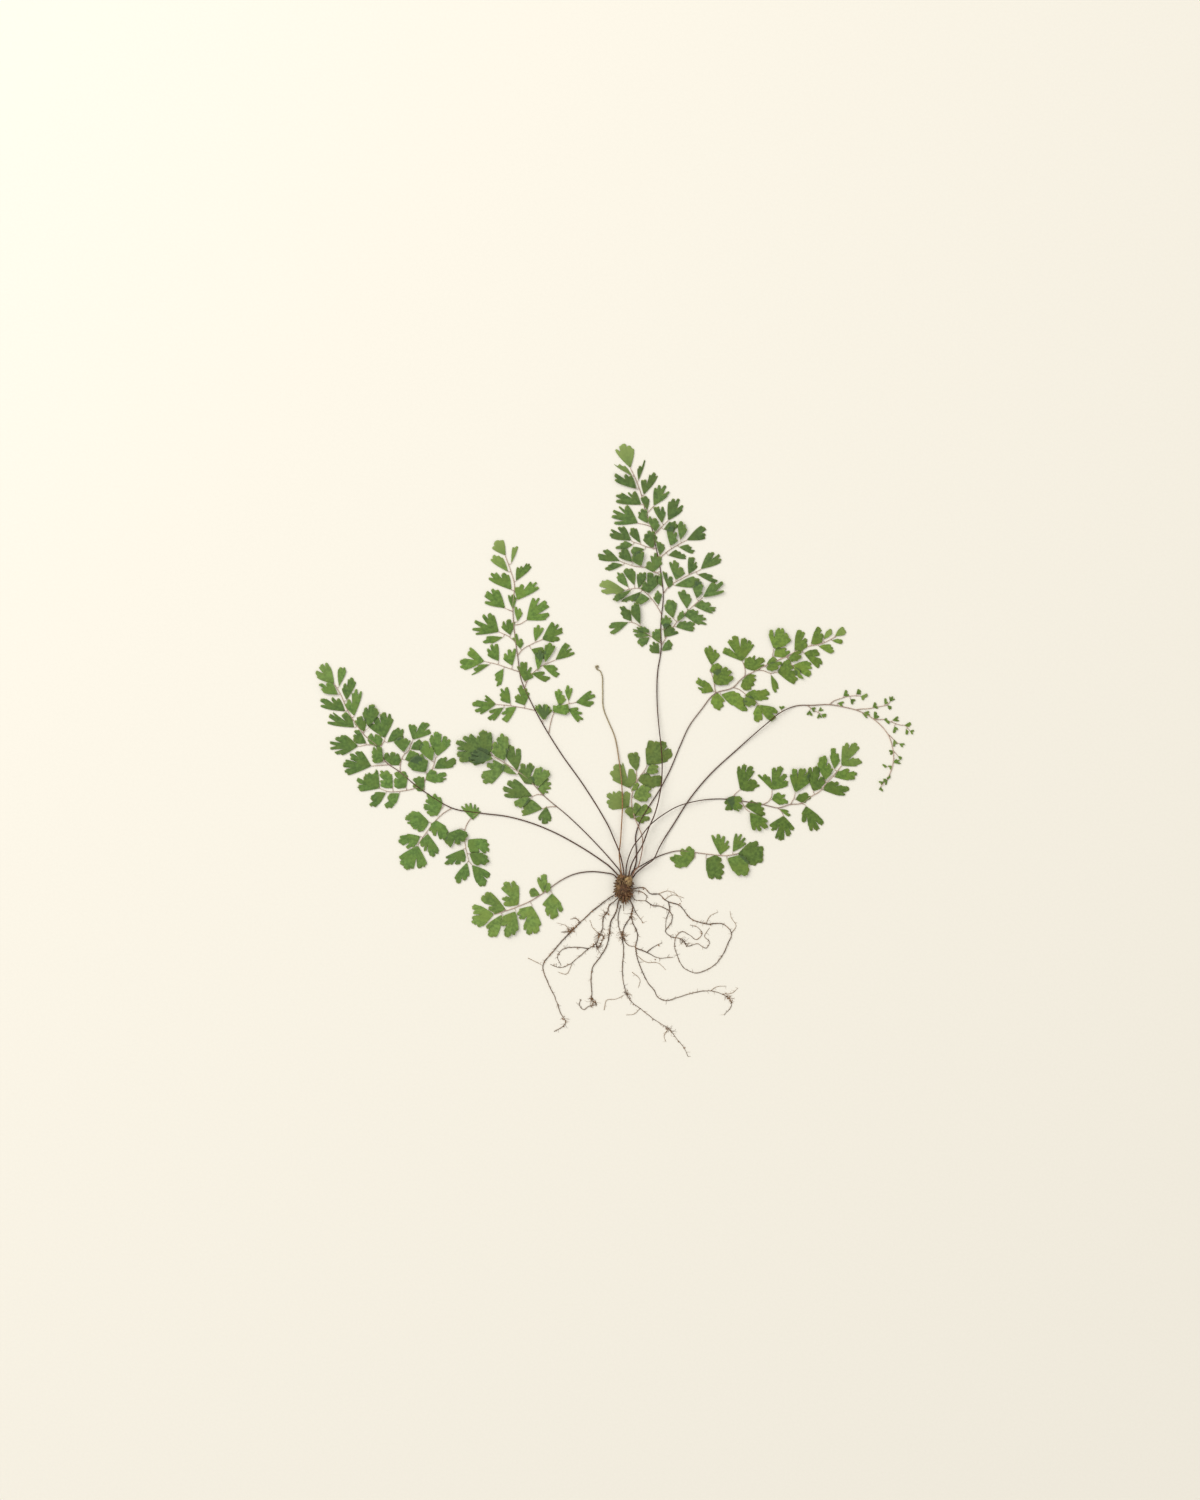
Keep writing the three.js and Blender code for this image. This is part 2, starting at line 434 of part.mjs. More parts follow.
    leaflets: [
      [55.5, 45.4, 50.2, 42.2, 52.5, 37.4, 4], [51.3, 44, 58.9, 44.3, 57.2, 37.1, 4],
      [94.4, 47.4, 92.8, 59.8, 100.5, 52.5, 5, 0.42], [100.4, 52.8, 97.5, 63, 104.2, 58.8, 5],
      [105.3, 58.5, 103.7, 69.2, 107.8, 65, 3], [108.8, 60.2, 110, 71, 117.7, 60.4, 6, 0.6],
      [105.3, 54.4, 112.5, 58.3, 115.3, 53.3, 3], [99.5, 48.2, 107, 52.4, 110.2, 45.1, 4],
    ],
    pinnae: [
      { axis: [[53.4, 43.2], [55.6, 46.1], [57.8, 48]],
      leaflets: [[58, 48.2, 57, 60.2, 65.5, 47.8, 6, 0.45]] },
      {
        axis: [[69.5, 41], [72.5, 42.6], [73.6, 44.5], [74, 47.7]],
        leaflets: [[74, 48, 67, 56.2, 81.6, 50, 6, 0.55], [74.1, 43.3, 78.7, 46.6, 79, 40.7, 4]],
      },
      {
        axis: [[83.2, 40.8], [84, 42.3], [85, 44], [85.5, 46.6]],
        leaflets: [[85.6, 46.8, 83.6, 58.2, 92.5, 52.3, 5, 0.5],
        [85.7, 43.3, 91.8, 46.4, 91.5, 41.8, 3, 0.15]],
      },
      {
        axis: [[58, 42.6], [59.5, 41], [60.4, 39.2], [61.5, 38], [62.6, 37.2]],
        leaflets: [[60.6, 40, 66.5, 42.7, 67.5, 34.8, 5], [62.8, 37, 64.2, 27.4, 71.9, 32.1, 4]],
      },
      {
        axis: [[76.5, 39.2], [77.7, 38.3], [79, 36.7], [79.8, 35.2]],
        leaflets: [[79.8, 35, 72.9, 29.1, 84.9, 28.7, 5, 0.55], [77.8, 38.5, 82.2, 37.9, 81.5, 35.2, 3]],
      },
      { axis: [[88.5, 41.3], [90, 40.9], [91, 40.2]], leaflets: [[91, 40, 89.3, 31.5, 99.4, 31.3, 4, 0.5]] },
    ],
  },
  {
    name: 'frond_lower_right',
    radius: 0.4,
    stem: [
      [3.1, 4.7, 2.1], [4.5, 7.8, 1.8], [7, 9.3, 1.4], [10, 11, 0.7], [14, 13.3], [20, 15.9], [27, 17.6],
      [35.2, 16.8], [43.3, 15.8], [51.7, 15.3], [56.6, 16.2],
    ],
    leaflets: [
      [35.2, 13.8, 27.5, 9.3, 33.5, 19.3, 5], [48, 15.5, 44, 25.5, 52.8, 20, 5],
      [54.3, 17, 56.2, 26.3, 61, 21.5, 4], [56.8, 16, 65, 21.8, 64, 10.5, 6],
      [51.5, 13.7, 61.5, 12, 57, 5.5, 4], [41, 13.5, 48, 14.5, 43, 4, 6],
    ],
    pinnae: [],
  },
  {
    name: 'frond_lower_left',
    radius: 0.42,
    stem: [
      [-2.9, 3.2, 0.9], [-4.8, 5.4, 0.9], [-10, 6.7], [-20.5, 6.9], [-25, 5.9], [-30, 3.7], [-40, -3.2],
      [-45, -6.5],
      [-55, -11], [-64.4, -14.1],
    ],
    leaflets: [
      [-64.8, -14.2, -75.5, -10, -71.8, -20.3, 5], [-59, -11.8, -68, -3, -65, -13.5, 5],
      [-52.8, -9.5, -59.5, -9.8, -52.7, 0.2, 5, 0.5], [-61, -14, -68.8, -20.3, -63.5, -24.8, 3],
      [-54.5, -12.5, -61.5, -19, -53.3, -21.8, 4], [-46, -9.8, -53.3, -13.5, -42.2, -19, 6],
      [-36.5, -3.5, -39.5, -11, -31.2, -11, 4], [-40.5, -3.8, -43.3, 2, -37, 1, 4],
      [-38.8, -4, -45, -1, -42, -8.3, 4],
    ],
    pinnae: [],
  },
  {
    name: 'frond_inner_left',
    radius: 0.4,
    stem: [
      [-0.8, 4.4, 0.8], [-2.4, 8], [-5, 11.2], [-15, 22.3], [-28, 35], [-40.3, 45.4], [-48, 53.5],
      [-58, 60.5],
      [-65.4, 64.9],
    ],
    leaflets: [
      [-49.3, 51.2, -52.8, 57, -45.3, 59.8, 4], [-43.5, 49.5, -43.5, 58.5, -37.3, 54.8, 4],
      [-43.3, 48.5, -37.8, 53.8, -39.8, 45.8, 5], [-53.2, 57.5, -58, 69.5, -51.8, 67, 4],
      [-59.5, 62.5, -65.5, 69, -57.9, 72, 5], [-66, 65.5, -80.5, 62.6, -74.5, 74.5, 6],
      [-66.5, 66.5, -73.5, 74, -66, 74, 4], [-65, 63.5, -76.2, 61.8, -74, 68, 4],
      [-58.5, 60, -67.5, 51.6, -68.3, 61.3, 6], [-53.5, 55.7, -59.5, 57.3, -58.5, 62, 3],
    ],
    pinnae: [
      {
        axis: [[-40.3, 45.4], [-43, 45.8], [-45.8, 44.9]],
        leaflets: [[-46, 44.8, -59.3, 44.7, -54.5, 53.3, 5], [-46.8, 43.2, -54.5, 40, -50.5, 44.8, 3]],
      },
      {
        axis: [[-34, 39.3], [-38, 39.5], [-40.6, 38.7]],
        leaflets: [[-38.7, 39.5, -42.9, 33.5, -36.6, 33.3, 4], [-40.8, 38.5, -50.8, 35.3, -49.5, 42.5, 3]],
      },
    ],
  },
];

const crozier = {
  name: 'crozier',
  radius: 0.36,
  tip: 0.3,
  path: [
    [-1, 4.6, 2], [-1.8, 10, 1.8], [-2.4, 17, 1.6], [-1.9, 21, 1.6], [-1.3, 30, 1.5], [-0.8, 39, 1.5],
    [-1.6, 56, 1.5], [-2.6, 63.5, 0.8], [-5.1, 76], [-7.7, 82], [-10.2, 88.5], [-10.7, 98.8], [-11.3, 106.2],
    [-12.2, 107.8], [-13.6, 108.3], [-14, 109.5], [-13, 110.3],
  ],
};

// Each node of roots is one or more paths that grow out of each other. The first one starts in the rhizome.
const roots = [
  {
    name: 'root_far_left',
    radius: 0.42,
    paths: [
      [
        [-2.4, -3, 1.4], [-5, -4.5, 1], [-14, -11], [-26, -22.3], [-30, -26.3], [-36.2, -33.5],
        [-40.6, -39.8],
        [-40, -43.5], [-38, -48.5], [-34.2, -56.5], [-32, -63], [-29.4, -68.8], [-31.5, -70.8], [-35, -72.8],
      ],
      [[-24.5, -21], [-27.5, -22.6], [-31.6, -23]],
      [[-21.7, -18.6], [-24.3, -16], [-26.8, -16.6]],
    ],
  },
  {
    name: 'root_left',
    radius: 0.38,
    paths: [
      [
        [-2.2, -4.9, 2.6], [-4.6, -7.4, 1.6], [-7, -9.3], [-8.7, -13.8], [-10.3, -15.5], [-10.6, -20],
        [-12, -24.5],
        [-14, -28.5], [-18, -31.5], [-22.5, -35.3], [-27, -39], [-32.5, -40.7], [-36.8, -39.2],
      ],
      [[-14, -28.5], [-13, -31], [-12.1, -30], [-10.9, -27.3], [-10.3, -25]],
      [[-17.6, -31.2], [-19.5, -31], [-26, -30.6], [-31.8, -32.5], [-33.3, -35.5], [-31.5, -39.6]],
    ],
  },
  {
    name: 'root_inner_left',
    radius: 0.4,
    paths: [
      [
        [-1.3, -5, 1], [-2.9, -8.4, 0.7], [-4, -13], [-6.5, -17.5], [-7.3, -23], [-8.5, -29.5], [-12, -35.5],
        [-15.8, -41], [-16.5, -47], [-16.2, -55], [-16.5, -56.7], [-13.8, -59], [-18, -60.3], [-19.7, -61.8],
        [-21.4, -61], [-22.3, -58.3], [-21.3, -56.8],
      ],
    ],
  },
  {
    name: 'root_short',
    radius: 0.34,
    paths: [[[0.5, -5.2, 1.8], [-0.2, -8.4, 0.9], [-0.3, -12.5]]],
  },
  {
    name: 'roots_middle',
    radius: 0.38,
    paths: [
      [
        [2.5, -4.8, 1], [3.4, -8, 0.7], [4.3, -9.6], [3.5, -15], [4.3, -18], [6.8, -25], [5.8, -30.3],
        [6.3, -34.5],
        [9, -42.5], [13, -49.8], [15.3, -52.5], [16.3, -55], [21, -57.3], [26.5, -55.8], [36.5, -53],
        [43.3, -52.4],
        [49, -54], [53, -56.5], [53.7, -59.5], [50, -64.5],
      ],
      [
        [3.5, -15.4], [0.3, -20], [-0.8, -25], [-0.2, -32], [-0.8, -41], [0.2, -50.5], [3, -57], [8, -61.2],
        [17, -68], [22.3, -71.3], [26, -76], [30, -81], [32, -85.3],
      ],
      [[-0.8, -25], [2.5, -29.8], [5.8, -30.3]],
      [[-1.7, -9.5], [-3, -16], [-2.2, -22], [-0.9, -25]],
      [[4.3, -9.6], [5.8, -13], [9.5, -18.5]],
      [[5.9, -31], [12, -33.5], [16.5, -35.8], [24.6, -35.6]],
      [[11.2, -33.2], [14, -31], [19, -28.3]],
    ],
  },
  {
    name: 'roots_right',
    radius: 0.38,
    paths: [
      [
        [2.8, -1.3, 1.6], [5, -1.3, 1], [10, -0.9], [13.5, -3.9], [17, -3.9], [21.5, -7.7], [27, -9.3],
        [34, -16.7],
        [41, -18.8], [50, -19.3], [53.7, -23.5], [51.8, -29], [48, -36.5], [43, -41], [35, -43.3],
        [30, -40.8],
        [26.5, -34.5], [25.7, -26], [28.5, -22.8], [33.5, -25], [36, -26.8], [39, -23.7], [36.5, -20.5],
        [33, -19.5],
      ],
      [
        [10.8, -7.4], [14.5, -9.8], [18.5, -10.3], [24, -14.7], [23.7, -18], [20.7, -22.8], [23, -25],
        [29.5, -27],
        [31, -29.8], [37, -28.9], [41, -31], [42.8, -28], [40.3, -25.2], [42.8, -20.8],
      ],
      [[22.2, -8], [22.8, -11], [21, -17], [20.7, -22.8]],
      [[3.2, -3.6, 1.2], [5.6, -6.9], [10.8, -7.4]],
      [[3.4, -2.6, 1.2], [8.5, -2.8], [11.3, -5.2], [10.8, -7.4]],
    ],
  },
];

// The rhizome is a few lumps grown together: [x, y, z, half width, half length, half height]
const rhizomeLumps = [
  [0.3, -0.9, 2.5, 4.2, 6, 3.2],
  [0.4, 3, 2.7, 4.2, 2.9, 3],
  [0.6, -4.8, 1.9, 2.4, 3, 2],
];
const lumpDetail = 1;
const scaleCount = 14; // stubs of old stipes and scales that stand out of the rhizome
const scaleLength = 2.6;
const scaleRadius = 0.45;
const scaleSides = 3;
const scaleHeight = 1.3;
const scaleRise = 1.4; // and up to this much higher
const scaleUneven = 0.3; // as a share of their length
const scaleTurn = 0.25; // radians, off the straight way out
const fanStart = 2.6; // radians, the part of the rhizome's rim that carries them, from the upper left
const fanEnd = 6.6; // round the lower end to the right side
const fanCentre = [0.4, -1.4];
const fanHalfWidth = 3.3;
const fanHalfLength = 4.9;

function toSolid(geometry) {
  geometry.deleteAttribute('normal');
  geometry.deleteAttribute('uv');
  const merged = mergeVertices(geometry, mergeDistance);
  const mesh = new wasm.Mesh({
    numProp: 3,
    vertProperties: new Float32Array(merged.getAttribute('position').array),
    triVerts: new Uint32Array(merged.index.array),
  });
  return new wasm.Manifold(mesh);
}

function toGeometry(solid) {
  const mesh = solid.getMesh();
  const geometry = new THREE.BufferGeometry();
  geometry.setAttribute('position', new THREE.BufferAttribute(mesh.vertProperties, 3));
  geometry.setIndex(new THREE.BufferAttribute(mesh.triVerts, 1));
  geometry.computeVertexNormals();
  return geometry;
}

// A path's points in space, where one with no height of its own lies on the surface.
function placePath(points, startRadius, endRadius) {
  return points.map(([x, y, height], index) => {
    const radius = THREE.MathUtils.lerp(startRadius, endRadius, index / (points.length - 1));
    const point = new THREE.Vector3(x, y, height ?? radius + floorGap);
    return { point, radius };
  });
}

// A closed tube of flat-sided rings that follow a path.
function tube(path, sides, grown = 0) {
  const up = new THREE.Vector3(0, 0, 1);
  const turn = sides === stemSides ? Math.PI / 4 : Math.PI / 2;
  const positions = [];
  path.forEach(({ point, radius }, index) => {
    const before = path[Math.max(index - 1, 0)].point;
    const after = path[Math.min(index + 1, path.length - 1)].point;
    const along = after.clone().sub(before).normalize();
    const side = up.clone().cross(along).normalize();
    const top = along.clone().cross(side);
    for (let corner = 0; corner < sides; corner += 1) {
      const angle = turn + (corner / sides) * Math.PI * 2;
      const place = point.clone();
      if (index === 0) place.addScaledVector(along, -grown);
      place.addScaledVector(side, Math.cos(angle) * (radius + grown));
      place.addScaledVector(top, Math.sin(angle) * (radius + grown));
      positions.push(place.x, place.y, place.z);
    }
  });
  const faces = [];
  for (let ring = 0; ring < path.length - 1; ring += 1) {
    for (let corner = 0; corner < sides; corner += 1) {
      const a = ring * sides + corner;
      const b = ring * sides + ((corner + 1) % sides);
      faces.push(a, b, b + sides, a, b + sides, a + sides);
    }
  }
  const lastRing = (path.length - 1) * sides;
  for (let corner = 1; corner < sides - 1; corner += 1) {
    faces.push(0, corner + 1, corner, lastRing, lastRing + corner, lastRing + corner + 1);
  }
  const geometry = new THREE.BufferGeometry();
  geometry.setAttribute('position', new THREE.Float32BufferAttribute(positions, 3));
  geometry.setIndex(faces);
  return toSolid(geometry);
}

// The point of a path nearest to a place in plan.
function nearestOn(path, place) {
  let best = null;
  for (let index = 0; index < path.length - 1; index += 1) {
    const start = path[index].point;
    const reach = path[index + 1].point.clone().sub(start);
    const flat = reach.x * reach.x + reach.y * reach.y;
    const share = ((place.x - start.x) * reach.x + (place.y - start.y) * reach.y) / flat;
    const isLast = index === path.length - 2;
    const limit = isLast ? 1 - sunkFoot / Math.sqrt(flat) : 1;
    const point = start.clone().addScaledVector(reach, THREE.MathUtils.clamp(share, 0, limit));
    const distance = Math.hypot(point.x - place.x, point.y - place.y);
    if (best === null || distance < best.distance) best = { point, distance };
  }
  return best;
}

// The outer edge of a fan-shaped leaflet, from its first corner to its last, cut into lobes.
function fanEdge(base, first, last, mostLobes, cut) {
  const firstReach = first.clone().sub(base);
  const lastReach = last.clone().sub(base);
  const spread = Math.atan2(firstReach.cross(lastReach), firstReach.dot(lastReach));
  const reachAt = (share) => {
    const reach = THREE.MathUtils.lerp(firstReach.length(), lastReach.length(), share);
    return reach * (1 + fanBulge * Math.sin(Math.PI * share));
  };
  const placeAt = (share, scale) => {
    const angle = firstReach.angle() + spread * share;
    const way = new THREE.Vector2(Math.cos(angle), Math.sin(angle));
    return way.multiplyScalar(reachAt(share) * scale).add(base);
  };
  const fanWidth = Math.abs(spread) * firstReach.length();
  const lobes = Math.min(mostLobes, Math.max(1, Math.round(fanWidth / leastLobe)));
  const lobeWidth = (Math.abs(spread) * reachAt(0.5)) / lobes;
  const edge = [];
  for (let lobe = 0; lobe < lobes; lobe += 1) {
    const uneven = Math.sin(base.x * 12.9 + base.y * 7.7 + lobe * 2.3); // differs from lobe to lobe
    const start = lobe === 0 ? 0 : (lobe + lobeInset) / lobes;
    const end = lobe === lobes - 1 ? 1 : (lobe + 1 - lobeInset) / lobes;
    if (lobe > 0) {
      const depth = lobe === Math.round(lobes / 2) ? cut : cut * sideCut;
      edge.push(placeAt(lobe / lobes, 1 - depth * (1 + cutUneven * uneven)));
    }
    const isWide = lobes === 1 || lobeWidth > wideLobe;
    if (isWide) edge.push(placeAt(start, 1), placeAt(end, 1 + tipUneven * uneven));
    else if (lobe === 0) edge.push(placeAt(0, 1));
    else if (lobe === lobes - 1) edge.push(placeAt(1, 1));
    else edge.push(placeAt((start + end) / 2, 1 + tipUneven * uneven));
  }
  return edge;
}

// Whether two outlines in plan come nearer than a gap.
function outlinesMeet(a, b, gap) {
  const isPast = (one, other, axis) => {
    const end = Math.max(...one.map((place) => place[axis]));
    return end + gap < Math.min(...other.map((place) => place[axis]));
  };
  const isFar = isPast(a, b, 'x') || isPast(a, b, 'y') || isPast(b, a, 'x') || isPast(b, a, 'y');
  if (isFar) return false;
  return isInside(a, b[0]) || isInside(b, a[0]) || edgeDistance(a, b) < gap;
}

function isInside(outline, place) {
  let within = false;
  outline.forEach((end, index) => {
    const start = outline[(index + outline.length - 1) % outline.length];
    if (start.y > place.y !== end.y > place.y) {
      const crossing = start.x + ((place.y - start.y) / (end.y - start.y)) * (end.x - start.x);
      if (place.x < crossing) within = !within;
    }
  });
  return within;
}

function toSegment(place, start, end) {
  const reach = end.clone().sub(start);
  const share = THREE.MathUtils.clamp(place.clone().sub(start).dot(reach) / reach.lengthSq(), 0, 1);
  return place.distanceTo(start.clone().addScaledVector(reach, share));
}

// Whether a segment's two ends lie on either side of another segment's line.
function isSplit(start, end, lineStart, lineEnd) {
  const line = lineEnd.clone().sub(lineStart);
  return line.cross(start.clone().sub(lineStart)) * line.cross(end.clone().sub(lineStart)) < 0;
}

function edgeDistance(a, b) {
  let least = Infinity;
  a.forEach((aEnd, aIndex) => {
    const aStart = a[(aIndex + a.length - 1) % a.length];
    b.forEach((bEnd, bIndex) => {
      const bStart = b[(bIndex + b.length - 1) % b.length];
      if (isSplit(aStart, aEnd, bStart, bEnd) && isSplit(bStart, bEnd, aStart, aEnd)) least = 0;
      least = Math.min(least, toSegment(aStart, bStart, bEnd), toSegment(bStart, aStart, aEnd));
    });
  });
  return least;
}

// What already lies on the surface: each entry is an outline in plan between two heights, and its frond.
const laid = [];

function layPath(path, owner) {
  for (let index = 0; index < path.length - 1; index += 1) {
    const ends = [path[index], path[index + 1]];
    const radius = Math.max(ends[0].radius, ends[1].radius);
    const heights = ends.map(({ point }) => point.z);
    laid.push({
      outline: ends.map(({ point }) => new THREE.Vector2(point.x, point.y)),
      low: Math.min(...heights) - radius,
      high: Math.max(...heights) + radius,
      margin: radius,
      owner,
    });
  }
}

// The lowest layer on which a leaflet lies clear of everything laid before it.
function freeLayer(outline, owner) {
  const base = outline[0];
  const rest = outline.slice(1);
  const overOwnAxis = [base.clone().lerp(rest[0], stalkShare), ...rest];
  for (let layer = 0; layer < layerCount; layer += 1) {
    const height = firstLayer + layer * layerStep;
    const isBlocked = laid.some((other) => {
      const isOwn = other.owner === owner;
      const apart = isOwn ? ownRise : otherRise;
      if (other.high + apart < height - bladeThickness / 2) return false;
      if (other.low - apart > height + bladeThickness / 2) return false;
      const clearance = isOwn ? ownClearance : otherClearance;
      const tested = isOwn && other.margin > 0 ? overOwnAxis : outline;
      return outlinesMeet(tested, other.outline, clearance + other.margin);
    });
    if (!isBlocked) return height;
  }
  throw new Error(`no free layer for a leaflet of ${owner} at ${base.x}, ${base.y}`);
}

function unitAcross(direction) {
  return new THREE.Vector2(-direction.y, direction.x).normalize();
}

// One leaflet: a flat blade with its lobed edge, which narrows into the stalk that ties it to an axis.
function leaflet(row, axes, owner) {
  const [bx, by, px, py, qx, qy, lobes, cut = middleCut] = row;
  const base = new THREE.Vector2(bx, by);
  const foot = axes.map((axis) => nearestOn(axis, base)).sort((a, b) => a.distance - b.distance)[0];
  const footPlace = new THREE.Vector2(foot.point.x, foot.point.y);
  const edge = fanEdge(base, new THREE.Vector2(px, py), new THREE.Vector2(qx, qy), lobes, cut);
  const middle = edge[Math.floor(edge.length / 2)].clone().sub(base);
  const isStalked = foot.distance > shortStalk;
  const height = freeLayer([isStalked ? base : footPlace, ...edge], owner);
  const outline = [...edge];
  const rootCorners = [];
  if (isStalked) {
    const halfWidth = Math.min(stalkHalfWidth, middle.length() * neckShare);
    const turn = middle.cross(edge[0].clone().sub(base)) > 0 ? 1 : -1;
    const stalkWay = base.clone().sub(footPlace).normalize();
    const neckSide = unitAcross(stalkWay.clone().add(middle.normalize())).multiplyScalar(turn * halfWidth);
    const footSide = unitAcross(stalkWay).multiplyScalar(turn * halfWidth * footShare);
    rootCorners.push(footPlace.clone().sub(footSide), footPlace.clone().add(footSide));
    outline.unshift(...rootCorners, base.clone().add(neckSide));
    outline.push(base.clone().sub(neckSide));
  } else {
    rootCorners.push(footPlace);
    outline.unshift(footPlace);
  }
  const low = height - bladeThickness / 2;
  laid.push({ outline, low, high: low + bladeThickness, margin: 0, owner });

  const geometry = new THREE.ExtrudeGeometry(new THREE.Shape(outline), {
    depth: bladeThickness,
    bevelEnabled: false,
  });
  const position = geometry.getAttribute('position');
  for (let index = 0; index < position.count; index += 1) {
    const side = position.getZ(index) > bladeThickness / 2 ? 1 : -1;
    const place = new THREE.Vector2(position.getX(index), position.getY(index));
    const isRoot = rootCorners.some((corner) => corner.distanceTo(place) < cornerMatch);
    const rootZ = foot.point.z + side * rootHalfThickness;
    position.setZ(index, isRoot ? rootZ : height + (side * bladeThickness) / 2);
  }
  return toSolid(geometry);
}

function buildFrond({ name, leaflets, pinnae }, stemPath, axisPaths) {
  let solid = tube(stemPath, stemSides);
  axisPaths.forEach((path) => {
    solid = solid.add(tube(path, axisSides));
  });
  leaflets.forEach((row) => {
    solid = solid.add(leaflet(row, [stemPath], name));
  });
  pinnae.forEach((pinna, index) => {
    pinna.leaflets.forEach((row) => {
      solid = solid.add(leaflet(row, [axisPaths[index], stemPath], name));
    });
  });
  return solid;
}

function rhizomeScale(index) {
  const angle = THREE.MathUtils.lerp(fanStart, fanEnd, (index + 0.5) / scaleCount);
  const uneven = Math.sin(index * 5.3);
  const rise = Math.abs(Math.sin(index * 3.1));
  const scale = new THREE.ConeGeometry(scaleRadius, scaleLength * (1 + scaleUneven * uneven), scaleSides);
  scale.translate(0, scaleLength * scaleUneven, 0);
  scale.rotateZ(angle - Math.PI / 2 + scaleTurn * uneven);
  const x = fanCentre[0] + Math.cos(angle) * fanHalfWidth;
  const y = fanCentre[1] + Math.sin(angle) * fanHalfLength;
  return toSolid(scale.translate(x, y, scaleHeight + scaleRise * rise));
}

function buildRhizome(sunkPaths) {
  const lumps = rhizomeLumps.map(([x, y, z, width, length, height]) => {
    const lump = new THREE.IcosahedronGeometry(1, lumpDetail).scale(width, length, height);
    return toSolid(lump.translate(x, y, z));
  });
  let solid = lumps[0].add(lumps[1]).add(lumps[2]);
  for (let index = 0; index < scaleCount; index += 1) solid = solid.add(rhizomeScale(index));
  const below = new THREE.BoxGeometry(40, 40, 10).translate(0, 0, -5);
  solid = solid.subtract(toSolid(below));
  sunkPaths.forEach((path) => {
    solid = solid.subtract(tube(path, stemSides, socketClearance));
  });
  return solid;
}

function addMesh(group, name, solid, color) {
  const material = new THREE.MeshStandardMaterial({ color, roughness: 0.7, metalness: 0 });
  const mesh = new THREE.Mesh(toGeometry(solid), material);
  mesh.name = name;
  group.add(mesh);
}

const fern = new THREE.Group();
const sunkPaths = [];

const plans = fronds.map((frond) => {
  const stemPath = placePath(frond.stem, frond.radius, stipeTip);
  const axisPaths = frond.pinnae.map(({ axis }) => {
    const path = placePath(axis, axisRadius, axisTip);
    path[0].point.copy(nearestOn(stemPath, path[0].point).point);
    return path;
  });
  layPath(stemPath, frond.name);
  axisPaths.forEach((path) => layPath(path, frond.name));
  sunkPaths.push(stemPath.slice(0, 2));
  return { frond, stemPath, axisPaths };
});

const crozierPath = placePath(crozier.path, crozier.radius, crozier.tip);
layPath(crozierPath, crozier.name);
sunkPaths.push(crozierPath.slice(0, 2));

plans.forEach(({ frond, stemPath, axisPaths }) => {
  const color = frond.name === 'frond_young_right' ? youngGreen : leafGreen;
  addMesh(fern, frond.name, buildFrond(frond, stemPath, axisPaths), color);
});
addMesh(fern, crozier.name, tube(crozierPath, stemSides), stipeBrown);

roots.forEach(({ name, radius, paths }) => {
  const pieces = paths.map((points, index) => {
    const path = placePath(points, index === 0 ? radius : radius * branchShare, radius * rootTaper);
    if (path[0].point.y > crownEdge) sunkPaths.push(path.slice(0, 2));
    return tube(path, axisSides);
  });
  addMesh(fern, name, pieces.reduce((solid, piece) => solid.add(piece)), rootBrown);
});
addMesh(fern, 'rhizome', buildRhizome(sunkPaths), rhizomeBrown);

export default fern;
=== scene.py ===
import math

import bpy
import numpy as np
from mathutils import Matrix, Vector, noise


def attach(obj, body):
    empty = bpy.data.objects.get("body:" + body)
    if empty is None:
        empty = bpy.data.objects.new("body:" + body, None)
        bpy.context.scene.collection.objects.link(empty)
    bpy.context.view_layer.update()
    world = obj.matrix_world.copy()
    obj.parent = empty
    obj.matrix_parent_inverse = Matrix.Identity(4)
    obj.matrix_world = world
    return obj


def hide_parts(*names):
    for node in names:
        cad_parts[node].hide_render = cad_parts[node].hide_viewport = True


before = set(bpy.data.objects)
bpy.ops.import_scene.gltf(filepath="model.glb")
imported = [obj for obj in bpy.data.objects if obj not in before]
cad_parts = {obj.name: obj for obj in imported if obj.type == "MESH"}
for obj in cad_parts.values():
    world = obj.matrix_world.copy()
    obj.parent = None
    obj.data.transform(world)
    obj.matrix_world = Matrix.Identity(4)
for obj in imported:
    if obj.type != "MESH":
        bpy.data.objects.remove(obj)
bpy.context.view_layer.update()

# A pressed maidenhair fern, lying flat. Lists and sizes are in millimetres, in the part's own frame: the
# origin is under the rhizome, +X to the right and +Y towards the tip of the tallest frond. Objects are in
# metres.
MM = 0.001

VIEW_CENTRE = (-12, 68)  # the point of the surface under the camera
VIEW_HEIGHT = 750  # how much of the surface the picture takes in, from its lower to its upper edge
LENS = 85
SENSOR = 36

BLADE_THICKNESS = 0.24
RIM_THICKNESS = 0.1
FIRST_LAYER = 0.4  # height of the middle of a leaflet that lies lowest
LAYER_STEP = 0.65  # height of each further layer of leaflets over the one below
MOST_LAYERS = 6
ROW_STEP = 1.0  # spacing of a blade's rows of vertices, from its base to its edge
FAN_BULGE = 0.12  # how far a fan's edge bows out between its corners, as a share of its length
MIDDLE_CUT = 0.36  # depth of the middle notch, as a share of the leaflet's length
SIDE_CUT = 0.62  # the other notches, as a share of the middle one
NICK = 0.25  # a notch less deep than this is only a bend of the edge
SLIT_WIDTH = 0.2  # half the width that the mouth of every slit has at least
MOST_SLIT = 0.6  # most of the way from a notch to a tip that its slit may take
SLIT_FLARE = 0.2  # how much wider half of that mouth is for each millimetre of the slit's depth
TIP_ROUNDING = 0.35  # how far a lobe's tip falls off to its shoulder, as a share of half its width
MOST_ROUNDING = 0.8
SIDE_CORNER = 0.4  # width of the rounded corner at each end of the edge
WAVE = 0.1  # height of a blade's slow waves
CURL = 0.14  # how far a blade's sides rise or sink
BOW = 0.04  # how far a lobe's middle bows
RIM_REACH = 0.8  # how far in from its rim a blade has its whole thickness
YELLOW_REACH = 1  # how near a listed place a leaflet's base has to be

